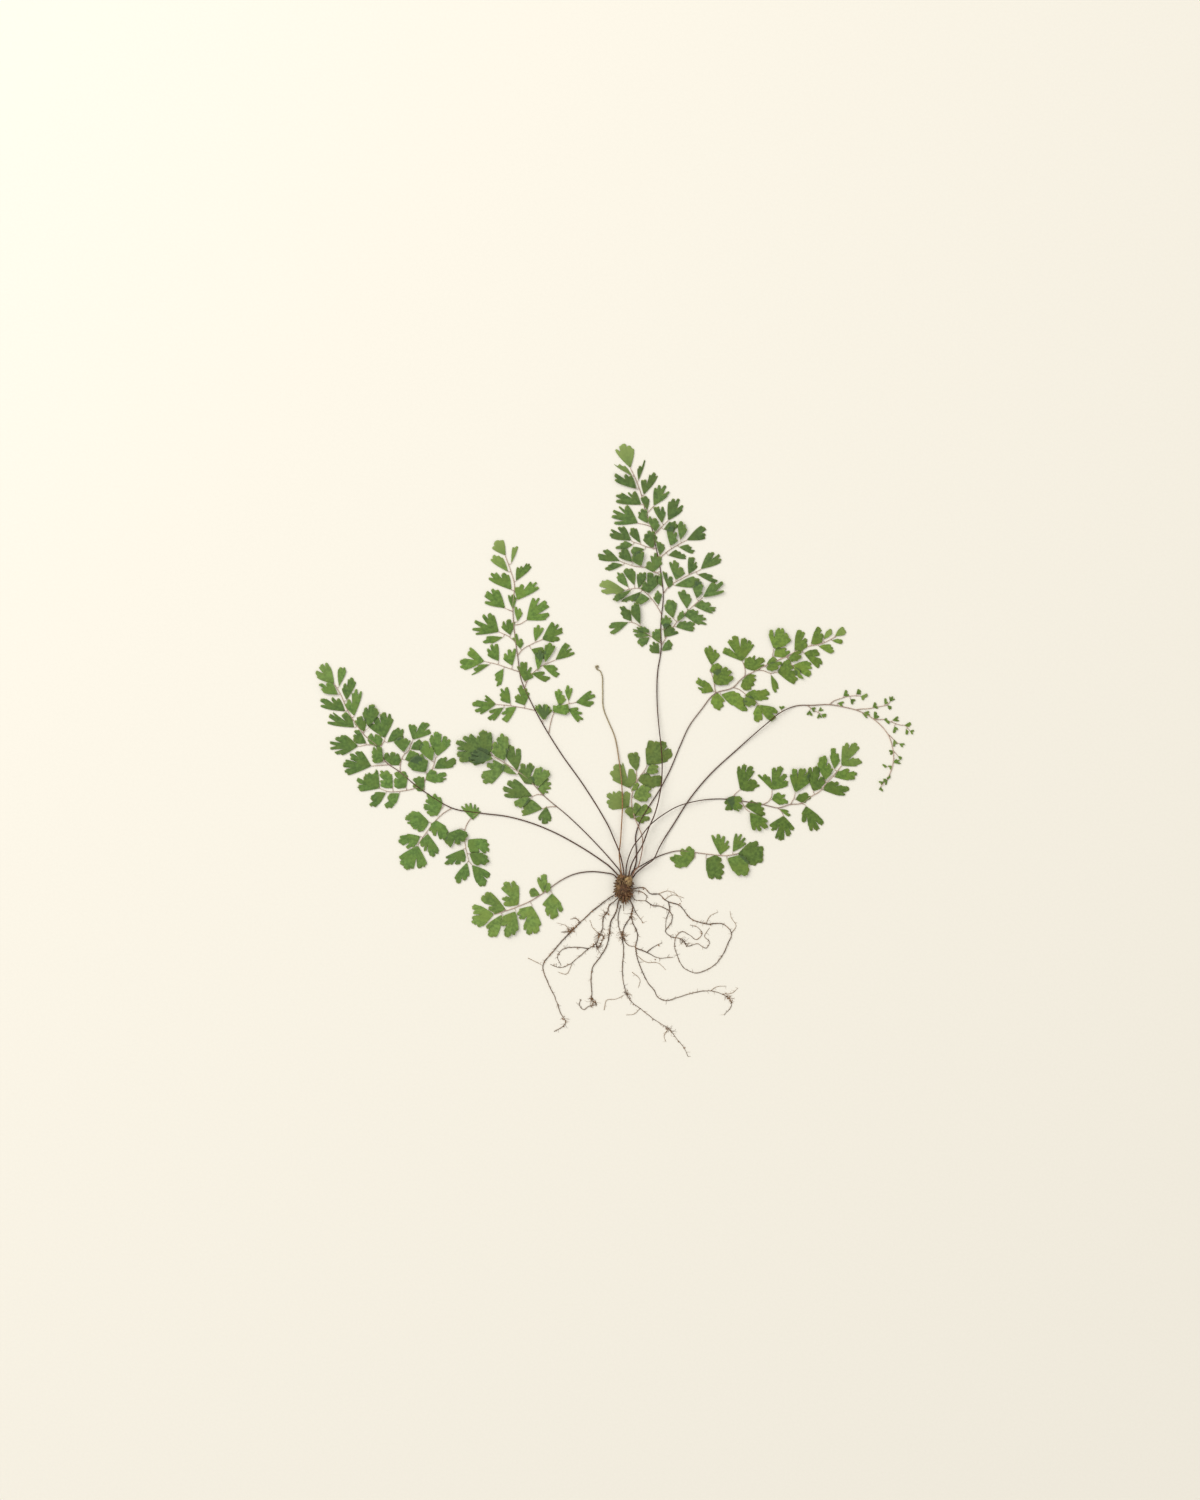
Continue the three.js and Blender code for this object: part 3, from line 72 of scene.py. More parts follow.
STEM_TIP = 0.24  # radius at the end of a rachis
STEM_SHARE = 0.74  # a dry stipe's radius, as a share of the solid's
AXIS_RADIUS = 0.2
AXIS_TIP = 0.13
STALK_RADIUS = 0.15
STALK_TIP = 0.08
STALK_INTO_BLADE = 1.4
ROOT_SHARE = 0.7
BRANCH_SHARE = 0.62
ROOT_TAPER = 0.45
FLOOR_GAP = 0.05
CURVE_STEP = 0.8  # spacing of the rings along a stem

# Every path is a list of [x, y] or, where it is lifted clear of what it crosses, [x, y, height].
# Every leaflet is [base x, base y] and then its lobe tips and the notches between them, in turn from one side
# of its edge to the other. A leaflet with seven numbers is [base x, base y, first corner x, y, last corner x,
# y, lobes] instead, and its tips and notches follow from a rule.
FRONDS = [
  {
    "name": "frond_upper_right",
    "radius": 0.42,
    "stem": [[3, 4.6, 0.6], [5.2, 9], [6, 12], [6.2, 17], [5.8, 25], [8.2, 32.5], [12.2, 39.3],
     [18.3, 49], [23, 58], [28, 70], [32.8, 80.3], [38.5, 88], [45.7, 96.4], [54.3, 99.2], [59.6, 104.3],
     [65, 107.2], [70.1, 110], [80.6, 114.5], [91.1, 119.6], [98.8, 121.2], [106, 124.8]],
    "leaflets": [
      [46.8, 96.7, 43.8, 94, 43.4, 92.4, 44, 90.8, 44.6, 89.6, 45.6, 88.7, 46.4, 88.4, 47.6, 87.8, 48.2,
       88.8, 49.9, 89.8, 48.2, 91.4, 50.4, 92.4, 49.8, 93.4, 49, 94.2],
      [62.3, 106.3, 59, 102.4, 58.6, 101, 58.6, 99.4, 59.4, 98.4, 60.8, 97.8, 62.2, 98, 63.6, 98.2,
       63.4, 99.4, 65.3, 100.4, 62.7, 101.3, 66.2, 103.2, 64.6, 104.1, 66, 105.3, 65.4, 105.5, 64.6,
       105.2],
      [75, 114.8, 75.5, 117.6, 76, 118.8, 77.6, 119.4, 79, 118.8, 81.3, 118.6, 80.4, 117.4, 82.9, 117.4,
       82.4, 116, 80.8, 114.6],
      [71.1, 110.4, 73, 113.4, 74, 114.4, 75.2, 114.6, 76, 113.8, 76.6, 112.8],
      [71, 109.4, 74.6, 112, 76, 111.8, 79, 111.6, 76.9, 110, 77.2, 108.9, 76, 108, 74.4, 107.4, 73.2,
       107.6, 72, 107.8],
      [85.2, 117.7, 86, 125.4, 86.4, 126.8, 87.4, 128, 88.2, 128.1, 88.8, 127.7, 89, 126.9, 90, 127,
       90.6, 126, 90, 124.8, 88.7, 122.6, 91, 123.8, 91.8, 123.2, 91.7, 122.4, 91.3, 121.9, 91.7, 120.6,
       91, 119, 89.4, 117.8],
      [82, 114, 85.4, 117, 86.8, 117.6, 88.8, 117, 87.2, 115.5, 88.7, 115, 88.2, 113.6, 86.8, 112.6,
       85.6, 112.4, 84.4, 112],
      [89.8, 116.4, 93.6, 118, 95, 118.2, 96.8, 117.8, 96.9, 117, 97.8, 116, 95, 114.7, 98.4, 113.6, 99,
       112.4, 98.8, 110.6, 97.8, 111, 97.2, 109],
      [93.4, 121, 95.4, 127.4, 96.2, 129, 97.2, 129.6, 98.2, 129, 98.9, 127.9, 98, 126.2, 99.4, 126,
       99.7, 124.4, 99.2, 122.6, 98.2, 121.4, 96.6, 120.8],
      [99.6, 123.2, 101.6, 127.6, 102.4, 128.2, 103.4, 128.5, 104, 127.6, 104.1, 126.4, 103.6, 125.6,
       102.8, 125],
      [97.3, 119.8, 100.4, 120.7, 102, 120.8, 103.4, 120.4, 103.6, 119.5, 104.5, 119, 104.1, 118.3, 105,
       117.4, 104.6, 116.6, 103.6, 116.3],
      [105.4, 124.9, 107.8, 128.7, 108.6, 129.4, 109.8, 129.2, 110.2, 128.2, 110.9, 127.4, 110.8, 126.4,
       110.4, 125.8],
      [103.9, 122.7, 107.2, 123.5, 108.4, 123.3, 109.2, 122.6, 109.4, 121.8, 108.8, 121.1, 107.8, 121.1,
       106.8, 121.4],
    ],
    "pinnae": [
      {
        "axis": [[45.5, 97], [45.3, 99.5], [45, 102], [43.6, 106.6]],
        "leaflets": [
          [42.8, 107.6, 44.8, 110.9, 46, 111.3, 47.6, 111, 48.2, 110.4, 49, 109.6, 48.4, 108.4, 48.6,
           107.2, 47.6, 106, 46.8, 105.4],
          [43.7, 110.4, 40.3, 118.2, 40.5, 119, 41.4, 119.4, 42.2, 118.8, 42.6, 120.2, 43.6, 119.9,
           44.3, 118.8, 44.6, 116.7, 45.4, 118.2, 46.2, 118.2, 46.5, 116.6, 47.3, 116.6, 47.8, 115.6],
          [45, 100.9, 44.5, 104.4, 44.9, 106, 45.2, 107.6, 46.6, 108.4, 48, 108.2, 48.6, 107.8, 49.2,
           108.9, 50.4, 109.4, 51.6, 109.2, 51.8, 107.6, 53.9, 107.2, 52.3, 104.9, 54.7, 104.4, 53.6,
           102.4, 52.4, 101.2, 50.6, 100.5, 48.6, 100.3],
          [44.8, 97.3, 38.8, 96.8, 38.4, 98, 37, 99.5, 39.9, 98.9, 36.1, 102.5, 37, 103.2, 37.2, 104.4,
           39, 102.7, 39.8, 102.9, 41, 102.4, 42.2, 101.6],
        ],
      },
      {
        "axis": [[54.5, 99.2], [57.5, 98.3], [60, 96.5], [62, 94.6], [66.4, 91.6]],
        "leaflets": [
          [48.4, 95.7, 54.4, 90.3, 55.6, 90.1, 56.4, 89.2, 57, 88.6, 57.8, 88, 58.4, 87.8, 59.4, 87.2,
           60.4, 87.3, 61.5, 87.5, 60.3, 89.9, 60.8, 91.6, 60.2, 93.6, 58, 95.6, 57, 96.4, 55.4, 97.1],
          [60.3, 95, 63.2, 97.4, 64.4, 97.9, 66, 97.6, 66.8, 97.7, 67.8, 97.8, 68.6, 97.3, 71.2, 98.5,
           72, 97.3, 72.8, 96, 70.9, 94.8, 72.3, 93.7, 70.6, 93.1, 69, 92.8],
          [66.3, 92.1, 64.8, 90, 63.8, 90.4, 62.2, 89.4, 61.2, 90.2, 60, 90.8, 59.4, 92.4, 60, 93.6,
           61.4, 94.6, 62.6, 95.2],
          [66.9, 90.8, 64.7, 85.8, 64.9, 84, 65.6, 82.4, 66.2, 81.9, 67, 82, 67.8, 83, 68.6, 82.8, 69.2,
           84.2, 69, 86],
          [67.1, 90.6, 71.8, 83.4, 72.8, 82.6, 74, 82.4, 74.6, 83, 75.7, 83.9, 75.2, 85.2, 73.9, 85.9,
           74.4, 86.4, 75, 86.3, 75.8, 86, 76.6, 86.4, 76.4, 87.8, 75.6, 88.6],
        ],
      },
      {
        "axis": [[60.2, 104.9], [60.6, 107], [60.2, 109.5], [59.3, 112.1]],
        "leaflets": [
          [59.2, 112.3, 49.4, 117.2, 49.9, 118, 50.3, 119.2, 51.2, 119.5, 52.4, 118.9, 55.9, 116.2,
           52.3, 122.6, 52.8, 123.6, 54, 123.2, 54.5, 122.9, 54.7, 125, 55.8, 125.3, 57.1, 124.9, 58.2,
           119, 59.4, 123.8, 60.6, 124.3, 61.5, 123.2, 61.4, 120.9, 62.4, 122.9, 63, 122.9, 63.6, 122.2,
           63.5, 120.6, 64.9, 120.7],
          [60.6, 108.9, 60, 111.4, 60.4, 112.8, 61.6, 114, 62.4, 114.4, 63.2, 114.6, 64, 113.9, 65.3,
           115.3, 65.8, 114.7, 65.6, 113.6, 65.4, 112.7, 67.8, 114.3, 69.2, 114.2, 70.3, 112.9, 68,
           110.6, 70.2, 110.6, 69.4, 109.4, 68, 108.2, 66, 107.6, 64, 107.8],
        ],
      },
      {
        "axis": [[66.5, 108.1], [70, 107.6], [73, 106.4], [76.2, 106.8]],
        "leaflets": [
          [76.6, 106.8, 80.4, 112.4, 81.6, 113.2, 83, 112.8, 83.4, 111, 84.8, 109.2, 83.2, 107.8, 87,
           106.4, 85.3, 104.9, 86.8, 103.2, 85.8, 102.4, 85.2, 101.1, 84.2, 101.1, 83, 101.8],
          [73.4, 105.7, 74.6, 97.8, 75, 97, 75.8, 96.7, 76.1, 98.7, 76.8, 98.4, 77.2, 99.2, 76.9,
           100.6],
        ],
      },
      {
        "axis": [[81, 114.7], [82.3, 113.3], [83, 111.8], [83.9, 110.4]],
        "leaflets": [
          [84.4, 110.4, 88.6, 111.6, 90, 112.2, 91.8, 112.4, 92.8, 111.8, 93.7, 110.8, 92.9, 110, 93.9,
           108.8, 91.9, 108.2, 93.4, 107.2, 93.8, 106, 92.6, 104.6, 91.6, 104.7, 90.2, 105.6],
          [84.8, 109.6, 88.2, 107.6, 87.9, 105.8, 89.8, 103.9, 89, 103.4, 87.6, 103.8, 86.8, 104.8,
           85.9, 105.6],
        ],
      },
      {
        "axis": [[74, 112.7], [74.3, 115.4], [74.7, 117.8]],
        "leaflets": [
          [74.8, 118.4, 72.6, 126, 72.8, 127.4, 73.9, 128.2, 75.2, 123.8, 76.4, 128.1, 76.9, 128.8,
           77.6, 129, 78.3, 128, 79.4, 128.9, 80.1, 127.9, 80.4, 127, 79.7, 125.7, 81.3, 126.5, 82,
           125.6, 82.4, 124.8, 82.3, 124.2, 83.4, 123.2, 82.4, 121.6, 81, 120.4],
        ],
      },
    ],
  },
  {
    "name": "frond_inner_centre",
    "radius": 0.36,
    "stem": [[3.9, 4.8, 3.1], [5.5, 8, 2.9], [7, 9.5, 2.7], [7.5, 11, 2.4], [8.5, 15, 1.8],
     [9.3, 20, 1.4], [9, 25, 1.4], [7.3, 29.5, 1.6], [5.8, 33, 1.5], [4.8, 36, 1], [3.7, 42], [4.5, 48],
     [6, 51.5], [6.2, 57.3]],
    "leaflets": [
      [2.4, 39.2, -6.2, 38.6, -7.2, 39.2, -7.8, 40.4, -7.9, 41.2, -8.7, 42.2, -6.8, 43.4, -8.6, 45,
       -8.6, 46.2, -7.2, 46.9, -5.8, 46, -5, 47.6, -4, 46.4, -2.6, 47.6, -1.6, 47.3, -0.8, 47, 0, 45, 1,
       47.3, 1.8, 47.4, 2.8, 46.6],
      [3, 48.8, -5.6, 53.6, -6, 55.2, -6.9, 56.8, -6.4, 57.8, -5.2, 58, -4.9, 58.3, -4.9, 60.2, -4,
       61.1, -2.4, 61.2, -0.8, 60.2, 0.8, 61.9, 1.8, 62.3, 3.1, 61.2, 1.8, 53.4, 3.6, 58.6, 5, 58, 6,
       56, 6.4, 54.6, 6.4, 53.2],
      [7.2, 52.4, 8.6, 55.6, 10.4, 56.3, 12.8, 55.7, 13.7, 54.3, 15.6, 55.2, 17.4, 55.3, 18.9, 54.2,
       18.9, 52.4, 18.2, 50.4, 17, 49.7, 15.2, 49.4, 13.6, 49.2, 12, 49.4],
      [4.5, 44.2, 6.4, 48.2, 8, 49.6, 10, 50.4, 12, 50, 13.8, 48.8, 13, 47.6, 12.4, 47.2, 12.2, 46.5,
       13.6, 45.5, 12.2, 44, 11.8, 42.9, 10.6, 42.2, 8.8, 42.2],
      [5.2, 34.8, 8, 39.2, 9.6, 40.4, 11.6, 40.5, 12.3, 39.4, 13.6, 38.6, 13.7, 37, 12.6, 35.7, 11,
       35.7, 9.8, 35.8],
      [4.9, 35.2, 4.6, 39.4, 5, 40.9, 6.2, 41.7, 7.2, 41, 8.4, 40.2],
      [5, 33.9, 7.6, 31.8, 8.6, 31.4, 9.8, 31.6, 10.2, 32.5, 11.4, 32.5, 12.4, 32.7, 12.9, 33.8, 12,
       34.8, 10.4, 35],
      [5, 34, 3, 34.2, 1.6, 35.8, 0.6, 38, 1.6, 39.4, 3.4, 39.6],
      [3.6, 47.4, 5.6, 51.4, 6.6, 52, 7.4, 51.2, 7.4, 50, 6.8, 48.8],
      [6.2, 57.4, 2.6, 62.4, 2, 64.4, 2.6, 66.3, 3.4, 66.7, 4.2, 66.7, 4.9, 66.2, 5.9, 67, 7, 66.5, 7.6,
       64.8, 7.8, 63, 7.6, 61],
    ],
    "pinnae": [
      {
        "axis": [[6.2, 52], [8.5, 55.5], [10, 57.5], [11.4, 59.8]],
        "leaflets": [
          [11.3, 60.2, 11.3, 69, 12, 71.4, 13, 72.8, 14.4, 72.6, 14.9, 72.3, 15.3, 71.8, 16.6, 72.3, 18,
           71.9, 20, 72.2, 21.3, 71.9, 21.5, 70.2, 19.6, 67.2, 22.2, 68.9, 23.6, 68.4, 24, 66.6, 23.6,
           64.2, 21.8, 62.6],
          [10.9, 56.3, 12.8, 60.2, 13.8, 61.2, 15.2, 60.8, 16, 60.3, 16.8, 60.4, 17.4, 59.6, 17.2, 59.1,
           16.1, 58.5, 17.2, 57.6, 16.4, 56.3, 15, 56],
        ],
      },
    ],
  },
  {
    "name": "frond_top",
    "radius": 0.48,
    "stem": [[2.1, 4.4, 4.1], [3.7, 10.8, 4.1], [5.7, 14.9, 4], [8.6, 19.5, 3.9], [12.7, 30, 3.6],
     [14.7, 34.4, 3.2], [16.8, 41, 2.7], [18.4, 49.3, 2.4], [19, 62.6, 2.4], [18.5, 70, 2.3],
     [17.6, 78, 1.6], [16.5, 93, 0.8], [16.9, 108], [18.4, 117], [18.4, 131], [19.6, 146], [18.4, 157],
     [15.8, 170], [13.8, 179], [10.8, 187], [8.5, 196], [5.6, 204], [3.3, 208.6]],
    "leaflets": [
      [3.2, 208.9, -4.1, 218.2, -1.8, 217.3, -2.1, 219.9, -1.5, 220.2, -0.2, 221.1, 1.4, 219.7, 2.6,
       220.2, 3.6, 219.4, 4.7, 218.6],
      [4.2, 204.9, -4.9, 210.9, -3.3, 210, -2.2, 211, -1.2, 210.2, 0.2, 210],
      [6.3, 198.4, -4.6, 203, -3.5, 203.6, -4.4, 206.1, 0.5, 203.4, 0.9, 206, 2.3, 204.6, 3.4, 205.2],
      [7.2, 202.6, 6.9, 208.7, 7.3, 209, 7.9, 210.1, 8.9, 209.6, 10.4, 213],
      [9.9, 195.5, 8.9, 203, 9.8, 202.9, 10.8, 203.2, 11.6, 200.8, 12.8, 205.7, 13.7, 205.2, 15, 206.8,
       15.8, 204.8, 16.8, 205.1],
      [8.6, 190.6, -4, 192.3, -1.6, 193.5, -4, 195.3, -2.6, 195.8, -1.2, 196.6, 3.8, 193.9, 2.2, 196.9,
       4.1, 195.6, 5.3, 197.4],
      [11.6, 187.9, 8.6, 194.2, 9.6, 194.5, 10.6, 195, 11.6, 194.5, 12.4, 193.6],
      [11.8, 181.3, 7.1, 184.6, 7.4, 185.8, 7.3, 187.1, 8.4, 186.8, 9.1, 188.7, 10.1, 187.9, 11, 188.3],
      [14.3, 168.5, 9.7, 173.4, 10.2, 174.7, 10.7, 176.1, 11.7, 176.1, 12.5, 177.7, 13.6, 177, 14.8,
       177.4, 15.6, 176, 16.4, 174.8],
      [17.9, 165.2, 16.4, 172.6, 17.1, 171.8, 18, 172, 18.8, 171.2, 19.8, 170.9, 20.1, 170, 20.4,
       169.3],
      [14.8, 156.8, 10.6, 159.6, 11.4, 160.4, 12, 162.2, 13.9, 161.5, 13.2, 165.1, 14.9, 164.6, 15.5,
       166.6, 16.6, 165, 18.6, 164.6, 18.7, 163, 19.1, 161.6],
      [17.9, 121.4, 13.9, 125, 14, 126.4, 14.7, 127.4, 15.4, 127, 16, 128.5, 17, 128.2, 17.8, 128.7],
      [17.7, 116.3, 13.6, 116.9, 12.9, 117.6, 12.7, 118.4, 13.1, 119.2, 12.9, 120.6, 14.5, 120.2, 14.7,
       122.2, 15.8, 121.2, 16.8, 121.6],
      [18.8, 117.5, 20.8, 121.8, 21.4, 122.2, 22.5, 123.2, 23.2, 122.2, 24.2, 121.1, 24, 120, 23.8,
       118.8],
    ],
    "pinnae": [
      {
        "axis": [[11.4, 186.2], [13.5, 188.5], [14.8, 190]],
        "leaflets": [
          [14.8, 190.1, 15.7, 199.1, 16.7, 198.6, 17.5, 200.5, 18.4, 198.3, 20.8, 200.2, 19.5, 195.8,
           22.8, 197, 22.1, 195.9, 21.7, 195.1],
        ],
      },
      {
        "axis": [[15.6, 175.5], [17.5, 178], [19.5, 180.3], [21.7, 182.4]],
        "leaflets": [
          [19, 181.3, 15, 189.4, 16.2, 189.4, 17.3, 189.8, 18.2, 187.4, 19.4, 189.7, 20, 188.2, 20.6,
           187.1],
          [22, 182.6, 22.7, 192.2, 23.6, 192.3, 24.8, 193.7, 25.6, 192.1, 27.4, 193.6, 26.5, 188.8,
           29.5, 190.2, 29.3, 189, 29.2, 188],
          [15.6, 176.8, 11.9, 183.6, 12.4, 184, 13, 184.9, 14.1, 183.2, 15.6, 184, 16.4, 183.2, 17.4,
           182.2, 17.2, 181.4, 17.7, 180.6],
          [19.8, 178.3, 23.2, 182, 24.3, 181.8, 25.6, 182.6, 26, 181, 27, 180.2, 26.3, 179, 25.2,
           177.4],
        ],
      },
      {
        "axis": [[17.8, 163.5], [22, 167.5], [26, 170], [31.2, 172.9]],
        "leaflets": [
          [28.1, 172.8, 27.2, 181, 27.7, 181.9, 28.4, 182.4, 29.6, 180.3, 30.5, 180.9, 30.8, 179.5,
           31.4, 178.5],
          [23.1, 169.9, 21.7, 179, 22.8, 178.6, 24.1, 180.2, 24.7, 175.8, 26.2, 176.8, 26, 174, 26.8,
           172.9],
          [31.2, 172.9, 38.9, 180, 39.8, 179.6, 41, 178.4, 38.9, 176.4, 40.8, 175.7, 40.3, 174.9, 40.6,
           173.9],
          [27.3, 169.5, 32.4, 170.4, 33, 169.6, 33.8, 169.5, 33.4, 168.2, 35.4, 167.8, 34.9, 167.1,
           34.4, 166.3],
          [22.1, 165.3, 26.3, 167.9, 27.1, 167.2, 28.3, 166.8, 28.9, 165.8, 30.2, 166, 30.5, 165.3, 31,
           164.9, 30.6, 164.2, 31, 163.6],
        ],
      },
      {
        "axis": [[19.7, 146], [21.5, 148.8], [30, 154.3], [38.3, 158.2]],
        "leaflets": [
          [38.3, 158.4, 42.6, 166.7, 43.4, 166.5, 44.8, 166.8, 43.9, 163.4, 47.6, 165.8, 47.1, 163.6,
           48.7, 163.2, 48.3, 162.6, 48.4, 162],
          [32.2, 155.8, 32.7, 164.4, 33.5, 164.3, 34.9, 164.3, 34.9, 161.2, 36.3, 162, 36.1, 160.9,
           36.7, 159.9],
          [25.8, 153, 22.9, 162, 24.4, 161, 25.2, 162.9, 26.2, 162.2, 27.3, 161.6, 27.2, 158.7, 28.8,
           159.4, 29.7, 157.9, 30.4, 156.6],
          [36.7, 155.7, 41.3, 156.3, 42.6, 155.8, 44.3, 155, 43.8, 154, 46.7, 152.7, 46.2, 152, 45.6,
           151.7],
          [22.2, 148.8, 19.5, 157.4, 20.4, 156.8, 21.4, 156.8, 21.9, 153.2, 23.7, 154.8, 24.2, 152.8,
           24.7, 151.6],
          [25.1, 150.2, 35, 154.5, 36.4, 153.8, 37.8, 153.2, 37.6, 152.4, 38.8, 151.6, 37.4, 150.2, 36,
           149.6],
          [19, 149.6, 16.4, 152.4, 16.6, 153.6, 17, 155.4, 17.8, 154.8, 18.4, 156.6],
        ],
      },
      {
        "axis": [[18.7, 120], [20.5, 123.5], [26, 131.5], [35, 140.5], [39, 144]],
        "leaflets": [
          [39.3, 144.2, 44.6, 152, 46.2, 150.6, 49.2, 152.2, 45.8, 147.2, 50, 147.3],
          [35, 140, 39.4, 142.7, 40.9, 141.6, 42.5, 141.9, 43, 141.4, 43.4, 140.6, 42.4, 139.6, 46,
           139.3, 45.2, 138.6, 45.6, 137.9, 43.6, 137.2, 44.3, 136.4],
          [36.3, 143.7, 34.6, 150, 35.4, 150.6, 36.2, 152.8, 37.6, 152, 38.8, 152.2, 38.9, 151.2, 39.9,
           150.2, 39.2, 149, 39.6, 148.2, 38.8, 147.8, 39.1, 147],
          [31.4, 138.6, 27.2, 147.2, 28.5, 147, 30, 148.2, 31.1, 146.2, 32.4, 146, 33, 144.8, 33.6,
           143.8],
          [30.2, 135.2, 32.4, 138.3, 33.6, 138, 34.9, 138.3, 35.8, 137, 37, 137.8, 36.7, 135.4, 39.6,
           135.6, 39.2, 134.4, 41, 133.5, 38.6, 132.6, 41.2, 130.8, 40, 130.6, 37.6, 130.7],
          [24.6, 133.8, 20.4, 138.6, 20.3, 139.5, 20.6, 140.8, 21.1, 141.2, 22.2, 143.2, 23.5, 142.8,
           24.4, 142.9, 25.1, 142.3, 26.1, 141.6],
          [26.7, 132, 26.9, 135, 27.5, 135.8, 28, 137, 28.6, 136.9, 29.3, 137.7, 29.9, 136.6, 30.4,
           135.6],
          [25.8, 129.5, 28.6, 132.2, 29.6, 132.2, 31, 132.4, 31, 131.1, 33.4, 132.4, 34.4, 131.8, 35.4,
           131.2, 34.3, 129.8, 35.3, 128.8, 34.6, 128.2, 34.6, 127.5],
          [20.2, 124.4, 20.2, 131.2, 21.4, 130.6, 22.8, 131, 23.8, 129.6, 25.2, 128.8, 25.2, 127.4,
           27.3, 126.4, 26, 125.8, 24.4, 125.4],
          [20.5, 128.5, 18.4, 132.6, 18.9, 133.2, 19.4, 134.2, 20.1, 133.6, 21, 135.4, 21.8, 134.2,
           23.4, 134, 23.2, 132.8, 24, 132.6],
        ],
      },
      {
        "axis": [[13.4, 179.6], [10.5, 180.7], [7, 181.3]],
        "leaflets": [
          [7, 181.4, -4.9, 181.4, 0.2, 182.7, -6.2, 184.6, -3.5, 185.6, -5.5, 187.5, 0.6, 185.9, -2.4,
           189.9, 0.4, 187.9, 1.5, 190.4],
        ],
      },
      {
        "axis": [[15.9, 168.8], [12, 169.4], [8.5, 170.7], [4, 172.3]],
        "leaflets": [
          [3.6, 172.7, -6.4, 174.3, -7, 175, -7.1, 176, -5.3, 176.5, -6.5, 178.2, -1.4, 176.2, -2.8,
           179.5, -1.4, 179.2, -0.3, 179.8],
          [8.3, 171.3, 2.8, 176.6, 3.3, 177.6, 3.5, 179, 4.1, 178.9, 4.7, 179.2, 5.3, 178.6, 6, 178.8],
          [10.3, 168.4, 4.4, 169.3, 3.8, 168.4, 3.4, 167.4, 4, 166.2, 4.7, 165],
          [4.5, 170.6, 0, 172.3, -0.8, 171.6, -1.7, 171.3, -2, 170.3, -4.3, 169, -2.6, 168.6, -1,
           168.2],
        ],
      },
      {
        "axis": [[18.8, 155.2], [15.5, 157], [10.5, 159.2], [5.5, 159.8], [-2, 162.4]],
        "leaflets": [
          [-2.1, 162.5, -12.6, 163.6, -12.8, 164.6, -12.9, 165.9, -9, 165.6, -10.4, 167.8, -9.7, 168,
           -8.7, 168.3],
          [-0.3, 160.6, -6.3, 161.4, -7.3, 160.6, -8, 160.1, -8.2, 159.6, -9.6, 158.8, -9, 158.1, -8,
           157.8],
          [4.2, 161.9, -2.6, 164.8, -2.2, 165.6, -2.6, 166.6, -1.4, 167, -0.8, 168.8, 0, 168.4, 1,
           168.8],
          [8.6, 159.6, 3.6, 163.4, 4, 164.4, 5, 165.8, 6, 165.8, 7.4, 167.6, 8.6, 167, 9.8, 167],
        ],
      },
      {
        "axis": [[18.4, 135.8], [17, 139], [11.5, 146], [8, 148.6], [0.5, 148]],
        "leaflets": [
          [0.5, 147.9, -8.8, 153, -10, 152.6, -11, 152.6, -11.4, 151.6, -12.3, 150.4, -8.4, 148.7,
           -11.4, 147.6, -10.2, 146.6, -9.2, 146, -6.6, 146.4, -4.2, 146],
          [4, 148.2, -4.8, 144.8, -5, 144, -5.7, 143.2, -4.6, 142.8, -3.8, 142.1, -2.8, 142.6, -1.6,
           143.2],
          [8.5, 147.2, -1.3, 142.3, -0.2, 142.2, 0.8, 141.8, 2, 142.6, 3.2, 142.8, 4.2, 142.2, 5.2,
           142.4],
          [13, 143.5, 8.2, 146, 7.2, 145.2, 6, 145, 5.6, 144, 4.8, 143.2, 5.6, 142.4, 6, 141.4, 6.8,
           141.4, 7.8, 140.9],
          [2.2, 149.4, -3.2, 153, -3.4, 153.8, -3.8, 154.4, -2.8, 155.2, -3.4, 156.8, -2, 156.2, -1,
           156.6],
          [5.2, 150.2, -0.2, 157.6, 0.2, 158.2, 1, 158.8, 2.4, 158.4, 3.8, 158.8, 4.6, 158.2, 5.3,
           157.4],
          [7.2, 148.8, 6.8, 156, 7.4, 156, 8.2, 156.8, 9.4, 156.2, 10.8, 156.8, 11, 155.6, 11, 154.4],
          [12.6, 146.3, 8.4, 149, 9.2, 150, 10.5, 152.4, 11.6, 150.8, 13, 156.8, 14.9, 154.4, 16.2,
           155.6, 16.4, 153, 17, 151.2],
          [17.3, 140.5, 14.8, 144.4, 15.4, 145.2, 16, 146.6, 16.3, 147, 16.8, 147.8, 17.6, 146.6, 18.6,
           146.2],
        ],
      },
      {
        "axis": [[18.7, 122], [15.5, 124], [12.8, 125.2], [5, 131.5], [2.5, 132]],
        "leaflets": [
          [2.3, 131.9, -6.6, 131.2, -6.9, 130.5, -7.6, 129.6, -4.4, 128.9, -7, 126.6, -6.4, 126.2, -5.6,
           126],
          [3.8, 132.4, -0.6, 134.4, -1, 135.4, -1.7, 136.6, -1.2, 137.8, -2.2, 139.6, -1.2, 139.6, -0.2,
           140.1, 1, 138.8, 2.4, 138.2],
          [8.2, 130.6, 3.2, 137.6, 3.6, 138.8, 4.3, 140.3, 4.9, 140.6, 5.3, 141.7, 6.2, 141.2, 7,
           141.3],
          [13.2, 125.2, 4.4, 128.4, 4.9, 127.8, 4.4, 127.2, 7.4, 126.4, 5, 125.6, 5.6, 125.2, 6, 124.6],
          [12.8, 124.4, 7.4, 123.6, 6.9, 122.8, 6.8, 121.4, 7.6, 121, 8.8, 119.6, 9.8, 120.2, 10.9,
           120.8],
          [12.8, 126.4, 12, 128.6, 11.2, 128.8, 10.4, 129.8, 9.4, 129.4, 8.6, 130.4, 7.6, 129.2, 6.4,
           129.6, 6.6, 128.6, 6.8, 127.8],
        ],
      },
    ],
  },
  {
    "name": "frond_upper_left",
    "radius": 0.48,
